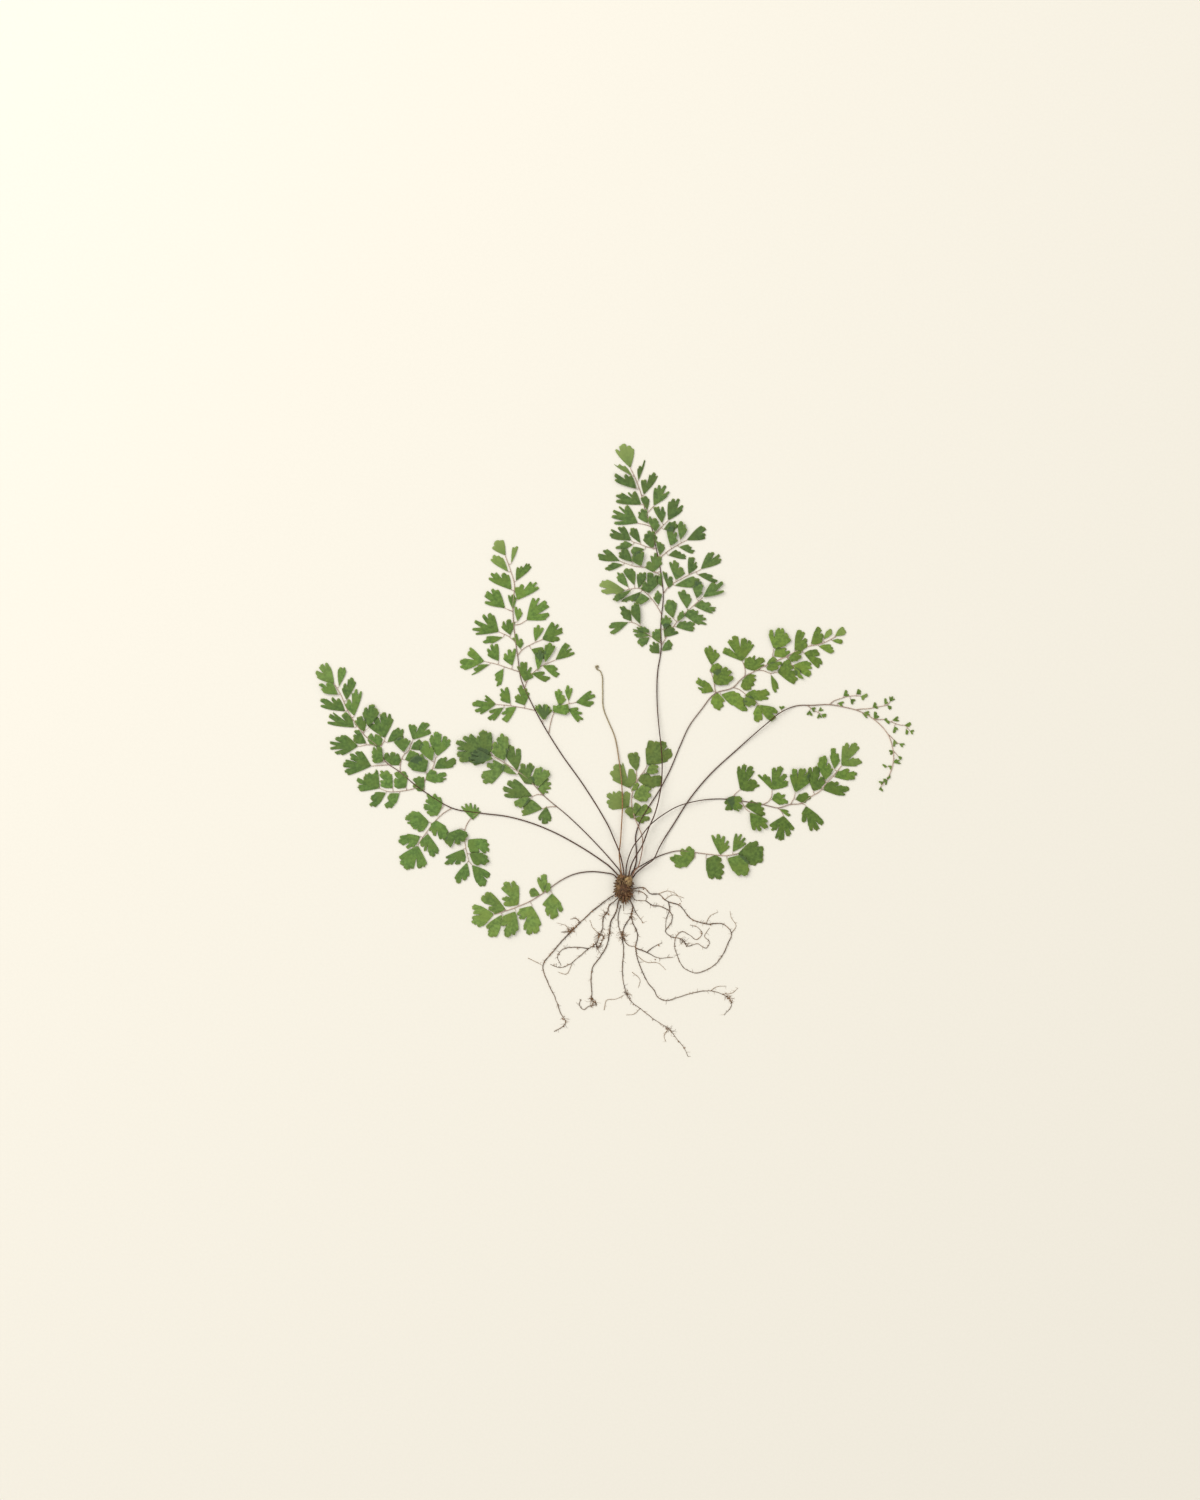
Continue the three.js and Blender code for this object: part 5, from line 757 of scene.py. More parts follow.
          [134.1, 82.8, 137, 84.7, 137.4, 82.6, 2],
          [135.2, 79.8, 136.9, 78.4, 134.7, 76.5, 2],
          [140.3, 80.4, 143.3, 81.7, 142.7, 79.7, 1],
          [141, 78.5, 142.2, 77, 141.1, 75.7, 1],
          [142.9, 77.6, 145, 77.8, 144.2, 75.9, 2],
        ],
      },
      {
        "axis": [[131.5, 76], [133.3, 74.8], [136, 72], [137.3, 71.3]],
        "leaflets": [
          [134.9, 73.4, 136.6, 71, 134.9, 69.7, 2],
          [137.5, 71.2, 140.3, 70.9, 139.3, 69.4, 2],
        ],
      },
      {
        "axis": [[134.6, 67.5], [136, 66.2], [136.8, 65.1]],
        "leaflets": [
          [136.9, 65, 138.9, 64.3, 138.2, 63.1, 1],
        ],
      },
    ],
  },
  {
    "name": "frond_right",
    "radius": 0.4,
    "stem": [[0.9, 4.4, 1], [1.2, 10, 1.3], [2.2, 14, 1.9], [5, 20.5, 2.6], [7.8, 24, 2.6],
     [13, 30.5, 2.4], [20, 36, 2], [28, 40.3, 1.8], [32, 41.5, 1.8], [38, 42.8, 1.2], [45, 43.5],
     [54, 43.2], [60, 42.3], [67, 41.3], [72, 40.1], [77, 39.1], [83.2, 40.8], [88.5, 41.3], [93.3, 44.6],
     [98, 47.5], [101.3, 51.5], [104.5, 55], [108.7, 60.1]],
    "leaflets": [
      [55.3, 45.4, 50.8, 43.2, 50.2, 42.2, 50.3, 41.2, 51.6, 40.6, 50.2, 39.8, 50.6, 39, 50.4, 38.2, 52,
       37.9, 53.6, 37.8],
      [51.1, 43.9, 58.2, 44.6, 59, 44, 58.8, 42.4, 57.2, 41.6, 59.4, 39.8, 58.9, 39.2, 58.8, 38.6, 56.4,
       38.6, 57.8, 37.6, 57.2, 37.1, 55.6, 37.8],
      [94.5, 47.4, 91.8, 56, 92.2, 58.2, 93.4, 59.5, 94.4, 56.8, 94.9, 59.4, 96.2, 60.2, 97.7, 59.4, 98,
       57.6, 97.9, 55.6, 96.7, 52.5, 98.8, 54.7, 100.2, 54.6, 100.7, 52.8, 100.2, 51, 98.8, 49.2],
      [100.3, 52.8, 97, 61.6, 97.6, 63.8, 98.6, 64.6, 99.5, 64.7, 100.4, 65.3, 101.3, 64.6, 101.9, 63.4,
       101.2, 59.6, 102.6, 61.4, 103, 60.4, 103.4, 60.2, 103.2, 58.6, 104.6, 58.6, 104.2, 57.6, 103.8,
       56.6],
      [105.2, 58.4, 103.2, 65.4, 103.6, 66.8, 103.6, 68.8, 104.6, 69, 105.7, 68.9, 105.9, 66.2, 107,
       66.3, 107.4, 65, 107.8, 63.4],
      [108.6, 60.2, 109.8, 70, 110.6, 70.2, 111.6, 71.6, 112.3, 71.5, 112.6, 70.6, 112.3, 68, 114.3,
       71.2, 115.4, 71.6, 116.5, 71.2, 116.6, 70, 117.7, 69.4, 117.4, 68, 116, 66.8, 111.6, 62.6, 115,
       63.9, 116.4, 63.7, 117.4, 63.8, 118.2, 62.8, 119, 61.8, 117.8, 60.9, 116.4, 60.1],
      [105.1, 54.5, 107.6, 57.5, 110, 58.2, 112.6, 58.2, 111.9, 56.6, 115, 57.3, 116.6, 56.6, 116.4,
       55.5, 115, 54.9, 115.5, 53.8, 114, 53.1, 112.4, 53],
      [99.5, 48, 101.8, 51.6, 103.4, 52.3, 104.8, 51.9, 105.4, 51.7, 106.8, 52.1, 107.6, 51.6, 107.4,
       50.7, 105.4, 49.7, 109, 50.2, 111.4, 49.8, 112.6, 48.4, 112.2, 47.4, 111, 47, 109.1, 46.8, 110.6,
       45.8, 109.6, 45.1, 108, 45.2],
    ],
    "pinnae": [
      {
        "axis": [[53.4, 43.2], [55.6, 46.1], [57.8, 48]],
        "leaflets": [
          [58, 48.1, 56.8, 57.4, 57, 59, 57.9, 60, 58.9, 57.9, 59.6, 60.4, 60.4, 61.2, 61.4, 60.4, 60.7,
           55.9, 62.2, 59.3, 63, 59.9, 64.4, 59.6, 64.2, 57.4, 65.3, 57.4, 65, 56.4, 64.4, 55, 61.9,
           52.5, 64, 53.4, 65.2, 53.2, 66.6, 51.6, 66.4, 50.8, 67.8, 50.2, 66.2, 49.2, 65, 48, 63.6,
           47.4, 62, 47.3],
        ],
      },
      {
        "axis": [[69.5, 41], [72.5, 42.6], [73.6, 44.5], [74, 47.7]],
        "leaflets": [
          [74, 48, 67.2, 55.8, 69.5, 54.6, 70.4, 56, 71.2, 55.9, 72.2, 54.8, 74, 51.3, 74.2, 58.6, 74.8,
           59.2, 75.7, 59.2, 76.2, 57.1, 77.2, 59.6, 78.4, 60.1, 79.7, 59, 77.8, 54.1, 80.4, 56, 81.3,
           56, 81.5, 55.2, 79.7, 52.4, 81.2, 52.7, 82.4, 52.3, 81.9, 50.8, 81, 49.6, 79.6, 49.1],
          [73.8, 43.2, 75.4, 46, 76.6, 46.6, 78.2, 46.2, 78.6, 45.3, 80, 45.9, 81, 45.6, 80.4, 44.5,
           78.8, 43.8, 80.6, 43.5, 81.9, 42.6, 81.9, 41.4, 80.8, 41.1, 80, 41.2, 79.2, 40.7, 78, 40.6],
        ],
      },
      {
        "axis": [[83.2, 40.8], [84, 42.3], [85, 44], [85.5, 46.6]],
        "leaflets": [
          [85.5, 46.7, 83.2, 55.4, 83.5, 56, 84, 55.9, 84.3, 55.4, 84.4, 58.5, 85, 58.9, 86, 58.5, 86.9,
           53.5, 87.7, 58.5, 88.3, 58.9, 89.1, 58.7, 89.5, 58.1, 90.1, 58.9, 90.8, 58.7, 91.2, 57.8,
           89.8, 54.8, 92, 56.8, 93, 55.6, 92.5, 52],
          [85.7, 43.3, 88, 46, 90, 46.6, 92.1, 45.9, 91.9, 45, 93.5, 44.5, 92.6, 43.2, 91, 42, 90, 41.6,
           88.8, 41.8],
        ],
      },
      {
        "axis": [[58, 42.6], [59.5, 41], [60.4, 39.2], [61.5, 38], [62.6, 37.2]],
        "leaflets": [
          [60.4, 39.9, 64.2, 42.8, 66.4, 41.7, 68.8, 41.2, 68.4, 39.6, 70, 38.4, 69.2, 37.4, 70.6, 36.2,
           70.4, 35.3, 69.2, 34.9],
          [62.8, 37, 71.8, 32.2, 69.8, 31.5, 72, 29.8, 71.8, 28.9, 70.6, 28.6, 67.4, 30.6, 68.6, 28,
           68.2, 27.3, 67.4, 27.4, 65.8, 29.6, 65.5, 27.9, 65, 27.6, 64.4, 28],
        ],
      },
      {
        "axis": [[76.5, 39.2], [77.7, 38.3], [79, 36.7], [79.8, 35.2]],
        "leaflets": [
          [79.8, 35.2, 72.7, 30.2, 74.2, 29.3, 73.4, 28.1, 74.4, 27.5, 75.4, 28, 77.9, 30.6, 75.2, 24.6,
           75.4, 23.8, 76.2, 23.7, 77, 24.8, 77, 23.2, 78, 22.6, 79.6, 23.2, 80, 28.4, 81.4, 24.9, 82.4,
           24.8, 83.4, 26, 81.9, 29.3, 83.4, 27.8, 84.4, 27.4, 84.9, 28.4],
          [77.7, 38.5, 80.2, 38.2, 81.4, 38, 82.2, 37.4, 81.6, 36.6, 83.3, 35.8, 83.2, 35.1, 82.4,
           34.8],
        ],
      },
      {
        "axis": [[88.5, 41.3], [90, 40.9], [91, 40.2]],
        "leaflets": [
          [91, 40, 88.9, 36, 88.8, 33.6, 89.4, 31.9, 90.1, 31.6, 90.8, 32.3, 91.3, 35, 92.2, 30, 92.5,
           28.4, 93.4, 27.5, 94.3, 29.7, 94.8, 28.2, 96, 27.3, 97.4, 28.4, 95.6, 32.5, 97.4, 30.8, 98.4,
           30, 99.4, 31, 98.8, 33.2, 97.4, 34.7],
        ],
      },
    ],
  },
  {
    "name": "frond_lower_right",
    "radius": 0.4,
    "stem": [[3.1, 4.7, 2.1], [4.5, 7.8, 1.8], [7, 9.3, 1.4], [10, 11, 0.7], [14, 13.3], [20, 15.9],
     [27, 17.6], [35.2, 16.8], [43.3, 15.8], [51.7, 15.3], [56.6, 16.2]],
    "leaflets": [
      [35.2, 14, 30.6, 9.6, 28.8, 9.6, 27.4, 9.2, 26, 9.6, 25.2, 10.4, 25.6, 11.4, 24.8, 12.2, 24.8,
       12.5, 23.6, 12.9, 23, 13.6, 22.9, 14.5, 24, 15, 25, 15.3, 25.2, 16.1, 26.4, 16.3, 28.6, 15.9, 30,
       15.4, 29.4, 15.2, 28.2, 16.4, 27.7, 17.6, 28.6, 18.6, 29.4, 18.8, 30.6, 18, 31.4, 19.2, 32.4,
       19.9, 33.6, 19.3, 34.8, 18.4],
      [48, 15.5, 44, 25.5, 52.8, 20, 5],
      [54.3, 17, 56.2, 26.3, 61, 21.5, 4],
      [56.7, 16, 63.6, 21.8, 65, 21.9, 66.6, 22.3, 67.3, 21.6, 67.3, 20.4, 66, 19.4, 67.8, 19.6, 68.8,
       19.8, 69.6, 19.3, 69.9, 18, 69.5, 16.6, 69.8, 15.4, 69.4, 14.2, 69.8, 12.8, 69, 11.8, 67, 11.6,
       66.2, 10.8, 65, 10.1, 63.6, 10.4, 62.8, 10.9, 61.8, 11.2],
      [51.4, 13.8, 54.6, 7.4, 56, 6, 57.6, 5.1, 58.9, 5.7, 60.4, 4.9, 61.8, 5.4, 62.4, 7.4, 62, 9.4,
       62.4, 11.2, 62.2, 12.6, 61, 14, 60, 14.8, 58.6, 15.3],
      [41, 13.6, 41.2, 7.6, 41.8, 5.4, 42.8, 3.8, 43.8, 3.2, 44.8, 3.8, 45.2, 4.7, 46.4, 3.4, 47.6, 3.1,
       48.8, 3.8, 48.4, 5.1, 49.6, 6, 48.8, 8.3, 49.9, 9.2, 49.8, 10.4, 49, 11.3, 47.8, 11.7, 48.8,
       12.8, 48, 14.2, 46.6, 15.3],
    ],
    "pinnae": [
    ],
  },
  {
    "name": "frond_lower_left",
    "radius": 0.42,
    "stem": [[-2.9, 3.2, 0.9], [-4.8, 5.4, 0.9], [-10, 6.7], [-20.5, 6.9], [-25, 5.9], [-30, 3.7],
     [-40, -3.2], [-45, -6.5], [-55, -11], [-64.4, -14.1]],
    "leaflets": [
      [-64.9, -14, -70.8, -19.8, -72.2, -20.4, -73.5, -19.8, -73.4, -18.9, -75, -18.9, -76, -18.4,
       -76.4, -17.4, -75.4, -16.8, -76, -15.8, -75.8, -15, -75, -14.8, -71.3, -14.3, -75.4, -13.5,
       -74.4, -12, -75.9, -11.2, -76, -10, -75, -9.3, -73.6, -9.4, -72.2, -9.8],
      [-59.1, -11.8, -65, -13.6, -66.6, -12.4, -67.8, -10.8, -65.6, -9.8, -70, -8.4, -71, -7.4, -71.2,
       -5.4, -70.6, -4.5, -70.2, -4.4, -69.6, -4.8, -69.2, -3.4, -68.2, -2.8, -66.8, -3, -65.4, -4.2,
       -64.2, -5.6],
      [-52.7, -9.4, -58, -10, -59.4, -9.8, -60.2, -8.6, -59, -7.6, -61, -6.2, -60.4, -5.4, -59.4, -5.3,
       -56.8, -5.5, -60.8, -1.8, -61.4, -0.9, -60.4, -0.2, -59.9, 0.2, -59.8, 1.9, -58.8, 2.4, -57.3,
       2.2, -55.8, -1.4, -56.2, 1.9, -55.4, 2.9, -54.5, 2.4, -54, 1, -53, 0.4, -52.5, -1, -52.4, -3],
      [-61, -14.2, -69, -20.4, -68.7, -21.3, -68, -21.4, -66.7, -20.8, -68.2, -22.6, -68.2, -24.4, -67,
       -25.4, -65.4, -25.1, -64.6, -25.4, -63.4, -24.6, -62.8, -23],
      [-54.2, -12.6, -60.9, -15.6, -61.3, -17.2, -61.4, -19.6, -60.4, -20, -59.6, -19.7, -58.1, -18.6,
       -60.2, -22.4, -60, -24, -59, -25.4, -57.8, -25.6, -57, -25, -56.4, -23.6, -55.4, -24.5, -54.2,
       -22.9, -53.2, -22.2],
      [-46, -9.9, -52.4, -11.8, -53.4, -13.4, -53.2, -14.6, -51.5, -14.1, -52.5, -15.9, -52, -16.7,
       -50.8, -16.6, -48.4, -15.2, -50.5, -20, -50.5, -21.6, -49.8, -22, -49, -21, -48.9, -23.8, -47.8,
       -24.7, -46.5, -23.9, -46, -22.4, -45.3, -23.8, -44, -23.8, -42.8, -22.8, -42.9, -20.4, -41.9,
       -19.8, -42, -18, -42.6, -16.4],
      [-36, -3.6, -40.6, -9.5, -39, -10.4, -39.4, -12.8, -38.9, -14, -38, -15, -37.1, -13.6, -36.8,
       -16.3, -35.8, -16.9, -34.8, -16.1, -34, -15.8, -33.2, -15.2, -33.8, -10.3, -32.4, -12.9, -31.6,
       -13.4, -30.9, -12.4, -30.8, -11, -31.6, -9],
      [-40.3, -3.8, -43.3, 3.4, -43.2, 4.4, -42.4, 4.4, -41.4, 2.4, -41.4, 5.4, -40.2, 6, -38.9, 5.8,
       -38.6, 4.4, -38.5, 3],
      [-42, -4.6, -43.4, -2.6, -44, -1.4, -45.2, -0.8, -46.4, -1.2, -47.2, -2.4, -47.2, -3.8, -46.8,
       -5],
      [-38.6, -3.6, -39.6, 0.4, -38.8, 0.2, -37.8, 1.6, -37.2, 1.8, -36.9, 1.2, -36.8, 0, -36.6, -1],
    ],
    "pinnae": [
    ],
  },
  {
    "name": "frond_inner_left",
    "radius": 0.4,
    "stem": [[-0.8, 4.4, 0.8], [-2.4, 8], [-5, 11.2], [-15, 22.3], [-28, 35], [-40.3, 45.4], [-48, 53.5],
     [-58, 60.5], [-65.4, 64.9]],
    "leaflets": [
      [-49.6, 51.2, -52.7, 56.4, -52.6, 57.6, -51.9, 58.6, -51.6, 59.4, -51.2, 61.2, -50.4, 61.5, -49.5,
       61, -49, 58.2, -48.1, 60.8, -47, 61.8, -46.3, 61.4, -45.7, 60.4, -44.7, 60, -45.8, 57.2, -46.4,
       56, -47, 54.9, -45.2, 54.2, -44.6, 53, -44.6, 51],
      [-43.4, 49.4, -46.2, 54.8, -44.8, 57.4, -43.2, 59, -41.6, 59.7, -39.8, 58.9, -41.2, 56.7, -39, 58,
       -37.4, 58, -37, 56.4, -37.4, 54.8, -38.6, 53.4],
      [-43.3, 48.5, -37.8, 53.8, -39.8, 45.8, 5],
      [-53.4, 57.6, -59, 66, -59, 68, -58.6, 69.6, -57.4, 67.4, -57.6, 70.5, -56.6, 70.7, -55, 69.9,
       -54.2, 64.6, -53.5, 68.6, -52.8, 69.1, -52, 68.6, -51.5, 67, -51.5, 65.4],
      [-59.6, 62.6, -64.6, 65.4, -65.6, 66.6, -65.9, 68.2, -65.4, 69.4, -65.2, 71.6, -64.6, 72.4, -63.8,
       72.2, -62.5, 69.9, -63.7, 73.6, -63, 74.6, -62.2, 74.6, -61.9, 75.2, -61, 76.4, -59.8, 74.8,
       -58.6, 74.8, -57.7, 73.8, -57.6, 71.6],
      [-66, 65.2, -71, 61.2, -73, 60.8, -75.2, 60.7, -76.6, 61.8, -77.8, 63, -77.6, 64.4, -76, 66.4,
       -74.6, 68, -72.6, 69, -70.8, 69.2, -69, 68.6],
      [-66.4, 66.4, -79.4, 62.6, -81, 62.5, -82.5, 63.6, -81.9, 65.1, -83.4, 65.6, -83.8, 66.8, -83.2,
       67.8, -77.9, 67.8, -83.3, 69.1, -83.2, 70, -82.4, 70.3, -81.2, 70.3, -83.8, 72.3, -83.2, 73.4,
       -81.4, 73.9, -78.4, 71.9, -80.3, 74.6, -79.2, 75.5, -78, 75.2, -77.3, 74.5, -77, 75.8, -76.1,
       76.4, -75, 75.6, -73.8, 74, -72.8, 75.4, -72, 74.5, -71.8, 77.2, -70.4, 78.4, -68.8, 77.6, -68.1,
       76.6, -66.8, 77, -66.1, 76, -65.9, 74.4],
      [-65, 63.5, -76.2, 61.8, -74, 68, 4],
      [-58.7, 59.6, -66.8, 51.4, -68.2, 51.8, -69.6, 51.3, -70.8, 52, -70.8, 53, -69.4, 53.9, -71.2,
       54.2, -71.6, 55, -71.3, 56, -70.5, 56.5, -70.8, 57.3, -69.4, 58.1, -67.6, 58.1, -64.8, 58.5, -67,
       58.8, -68.4, 59.4, -68.6, 60.6, -65.6, 61.4, -65.4, 62.8],
      [-53.5, 55.7, -59, 56.8, -60.4, 57.4, -61.4, 58.6, -61, 60, -60.2, 61],
    ],
    "pinnae": [
      {
        "axis": [[-40.3, 45.4], [-43, 45.8], [-45.8, 44.9]],
        "leaflets": [
          [-45.8, 44.9, -57, 44.6, -58.8, 44.6, -59.9, 45.8, -57, 46.8, -60.2, 47.8, -60.8, 48.8, -60,
           50.2, -55.4, 48.5, -58.4, 51.6, -58, 52.8, -57, 53, -55.8, 52.2, -55, 53.4, -53.8, 53.2,
           -52.4, 51.8],
          [-46.4, 43.8, -50.4, 39.9, -51.4, 39.2, -52.4, 39.4, -53, 40.2, -54.2, 39.7, -54.8, 40.8, -55,
           41.8, -54.2, 42.8, -52.8, 43.6, -51.4, 44, -50, 44.6],
        ],
      },
      {
        "axis": [[-34, 39.3], [-38, 39.5], [-40.6, 38.7]],
        "leaflets": [
          [-38.8, 39.8, -42.9, 33.8, -42.6, 32.9, -41.8, 32.7, -40.8, 34.6, -40.8, 31.2, -39.6, 31,
           -38.5, 31.2, -38, 32.6, -37.2, 32.2, -36.6, 32.8, -36.4, 33.6],
          [-40.7, 38.6, -51, 35.4, -50.3, 36.2, -51.3, 37.4, -50.2, 38.2, -50.4, 39.8, -49.6, 41.4,
           -48.6, 42.8, -47.6, 43.4, -46.4, 43.2],
        ],
      },
    ],
  },
]

CROZIER = {
  "name": "crozier",
  "radius": 0.36,
  "tip": 0.3,
  "path": [
    [-1, 4.6, 2], [-1.8, 10, 1.8], [-2.4, 17, 1.6], [-1.9, 21, 1.6], [-1.3, 30, 1.5], [-0.8, 39, 1.5],
    [-1.6, 56, 1.5], [-2.6, 63.5, 0.8], [-5.1, 76], [-7.7, 82], [-10.2, 88.5], [-10.7, 98.8], [-11.3, 106.2],
    [-12.2, 107.8], [-13.6, 108.3], [-14, 109.5], [-13, 110.3],
  ],
}

# Each node of roots is one or more paths that grow out of each other. The first one starts in the rhizome.
ROOTS = [
  {
    "name": "root_far_left",
    "radius": 0.42,
    "paths": [
      [
        [-2.4, -3, 1.4], [-5, -4.5, 1], [-14, -11], [-26, -22.3], [-30, -26.3], [-36.2, -33.5],
        [-40.6, -39.8],
        [-40, -43.5], [-38, -48.5], [-34.2, -56.5], [-32, -63], [-29.4, -68.8], [-31.5, -70.8], [-35, -72.8],
      ],
      [[-24.5, -21], [-27.5, -22.6], [-31.6, -23]],
      [[-21.7, -18.6], [-24.3, -16], [-26.8, -16.6]],
    ],
  },
  {
    "name": "root_left",
    "radius": 0.38,
    "paths": [
      [
        [-2.2, -4.9, 2.6], [-4.6, -7.4, 1.6], [-7, -9.3], [-8.7, -13.8], [-10.3, -15.5], [-10.6, -20],
        [-12, -24.5],
        [-14, -28.5], [-18, -31.5], [-22.5, -35.3], [-27, -39], [-32.5, -40.7], [-36.8, -39.2],
      ],
      [[-14, -28.5], [-13, -31], [-12.1, -30], [-10.9, -27.3], [-10.3, -25]],
      [[-17.6, -31.2], [-19.5, -31], [-26, -30.6], [-31.8, -32.5], [-33.3, -35.5], [-31.5, -39.6]],
    ],
  },
  {
    "name": "root_inner_left",
    "radius": 0.4,
    "paths": [
      [
        [-1.3, -5, 1], [-2.9, -8.4, 0.7], [-4, -13], [-6.5, -17.5], [-7.3, -23], [-8.5, -29.5], [-12, -35.5],
        [-15.8, -41], [-16.5, -47], [-16.2, -55], [-16.5, -56.7], [-13.8, -59], [-18, -60.3], [-19.7, -61.8],
        [-21.4, -61], [-22.3, -58.3], [-21.3, -56.8],
      ],
    ],
  },
  {
    "name": "root_short",
    "radius": 0.34,
    "paths": [[[0.5, -5.2, 1.8], [-0.2, -8.4, 0.9], [-0.3, -12.5]]],
  },
  {
    "name": "roots_middle",
    "radius": 0.38,
    "paths": [
      [
        [2.5, -4.8, 1], [3.4, -8, 0.7], [4.3, -9.6], [3.5, -15], [4.3, -18], [6.8, -25], [5.8, -30.3],
        [6.3, -34.5],
        [9, -42.5], [13, -49.8], [15.3, -52.5], [16.3, -55], [21, -57.3], [26.5, -55.8], [36.5, -53],
        [43.3, -52.4],
        [49, -54], [53, -56.5], [53.7, -59.5], [50, -64.5],
      ],
      [
        [3.5, -15.4], [0.3, -20], [-0.8, -25], [-0.2, -32], [-0.8, -41], [0.2, -50.5], [3, -57], [8, -61.2],
        [17, -68], [22.3, -71.3], [26, -76], [30, -81], [32, -85.3],
      ],
      [[-0.8, -25], [2.5, -29.8], [5.8, -30.3]],
      [[-1.7, -9.5], [-3, -16], [-2.2, -22], [-0.9, -25]],
      [[4.3, -9.6], [5.8, -13], [9.5, -18.5]],
      [[5.9, -31], [12, -33.5], [16.5, -35.8], [24.6, -35.6]],
      [[11.2, -33.2], [14, -31], [19, -28.3]],
    ],
  },
  {
    "name": "roots_right",
    "radius": 0.38,
    "paths": [
      [
        [2.8, -1.3, 1.6], [5, -1.3, 1], [10, -0.9], [13.5, -3.9], [17, -3.9], [21.5, -7.7], [27, -9.3],
        [34, -16.7],
        [41, -18.8], [50, -19.3], [53.7, -23.5], [51.8, -29], [48, -36.5], [43, -41], [35, -43.3],
        [30, -40.8],
        [26.5, -34.5], [25.7, -26], [28.5, -22.8], [33.5, -25], [36, -26.8], [39, -23.7], [36.5, -20.5],
        [33, -19.5],
      ],
      [
        [10.8, -7.4], [14.5, -9.8], [18.5, -10.3], [24, -14.7], [23.7, -18], [20.7, -22.8], [23, -25],
        [29.5, -27],
        [31, -29.8], [37, -28.9], [41, -31], [42.8, -28], [40.3, -25.2], [42.8, -20.8],
      ],
      [[22.2, -8], [22.8, -11], [21, -17], [20.7, -22.8]],
      [[3.2, -3.6, 1.2], [5.6, -6.9], [10.8, -7.4]],
      [[3.4, -2.6, 1.2], [8.5, -2.8], [11.3, -5.2], [10.8, -7.4]],
    ],
  },
]


# The green of each frond's blades, where along its stipe the dark brown gives way to pale, as two shares of
# its length, and how reddish its stipe is.
LOOKS = {
    "frond_upper_right": {"green": (0.152, 0.232, 0.050), "pale_from": 0.42, "pale_to": 0.85},
    "frond_inner_centre": {"green": (0.150, 0.214, 0.062), "pale_from": 0.3, "pale_to": 0.9, "red": 0.8},
    "frond_top": {"green": (0.104, 0.168, 0.055), "pale_from": 0.8, "pale_to": 1.0},
    "frond_upper_left": {"green": (0.132, 0.220, 0.054), "pale_from": 0.55, "pale_to": 0.95},
    "frond_far_left": {"green": (0.118, 0.200, 0.056), "pale_from": 0.62, "pale_to": 0.92},
    "frond_young_right": {"green": (0.112, 0.190, 0.040), "pale_from": 0.55, "pale_to": 0.8},
    "frond_right": {"green": (0.118, 0.190, 0.041), "pale_from": 0.5, "pale_to": 0.9},
    "frond_lower_right": {"green": (0.124, 0.194, 0.050), "pale_from": 0.3, "pale_to": 0.9},
    "frond_lower_left": {"green": (0.160, 0.240, 0.068), "pale_from": 0.3, "pale_to": 0.85},
    "frond_inner_left": {"green": (0.130, 0.202, 0.062), "pale_from": 0.45, "pale_to": 0.9},
}
# Leaflets that are yellower than their neighbours, by the place of their base
YELLOW_LEAFLETS = {
    (0.5, 148): 0.85, (3.3, 208.8): 0.8, (4.2, 204.8): 0.4, (-59.2, 164.8): 0.8, (-56.4, 160.8): 0.6,
    (-57.8, 156.6): 0.5, (134.9, 73.4): 0.5, (120.5, 94.5): 0.6, (118.4, 94.9): 0.6, (2.5, 39.3): 0.5,
    (3, 48.7): 0.45, (108.8, 60.2): 0.3, (105.5, 124.8): 0.6, (99.7, 123): 0.5, (-144.7, 100.8): 0.3,
}


def lerp(start, end, share):
    return start + (end - start) * share


def place_path(points, start_radius, end_radius):
    """A path's points in space and radii, where one with no height of its own lies on the surface."""
    radii = np.linspace(start_radius, end_radius, len(points))
    places = [(p[0], p[1], p[2] if len(p) > 2 else radius + FLOOR_GAP) for p, radius in zip(points, radii)]
    return np.array(places, float), radii


def smooth_path(places, radii, step=CURVE_STEP):
    """Points about a step apart on a smooth curve through the given ones, and their radii."""
    lengths = np.linalg.norm(np.diff(places, axis=0), axis=1)
    ways = np.diff(places, axis=0) / lengths[:, None]
    tangents = [ways[0]]
    for index in range(1, len(places) - 1):
        before, after = lengths[index - 1], lengths[index]
        tangents.append((ways[index - 1] * after + ways[index] * before) / (before + after))
    tangents.append(ways[-1])
    points, sizes = [], []
    for index, length in enumerate(lengths):
        count = max(2, math.ceil(length / step))
        last = index == len(lengths) - 1
        t = np.linspace(0, 1, count + 1)[: None if last else -1, None]
        start, end = places[index], places[index + 1]
        leave, arrive = tangents[index] * length, tangents[index + 1] * length
        curve = (2 * t**3 - 3 * t**2 + 1) * start + (t**3 - 2 * t**2 + t) * leave
        curve = curve + (3 * t**2 - 2 * t**3) * end + (t**3 - t**2) * arrive
        points.append(curve)
        sizes.append(lerp(radii[index], radii[index + 1], t[:, 0]))
    return np.concatenate(points), np.concatenate(sizes)


def nearest_on(path, place):
    """The point of a path nearest to a place in plan, and how far off it is."""
    starts, reaches = path[:-1], np.diff(path, axis=0)
    flat = (reaches[:, :2] ** 2).sum(1)
    shares = np.clip(((np.array(place) - starts[:, :2]) * reaches[:, :2]).sum(1) / flat, 0, 1)
    points = starts + reaches * shares[:, None]
    distances = np.linalg.norm(points[:, :2] - place, axis=1)
    best = int(np.argmin(distances))
    return points[best], float(distances[best])


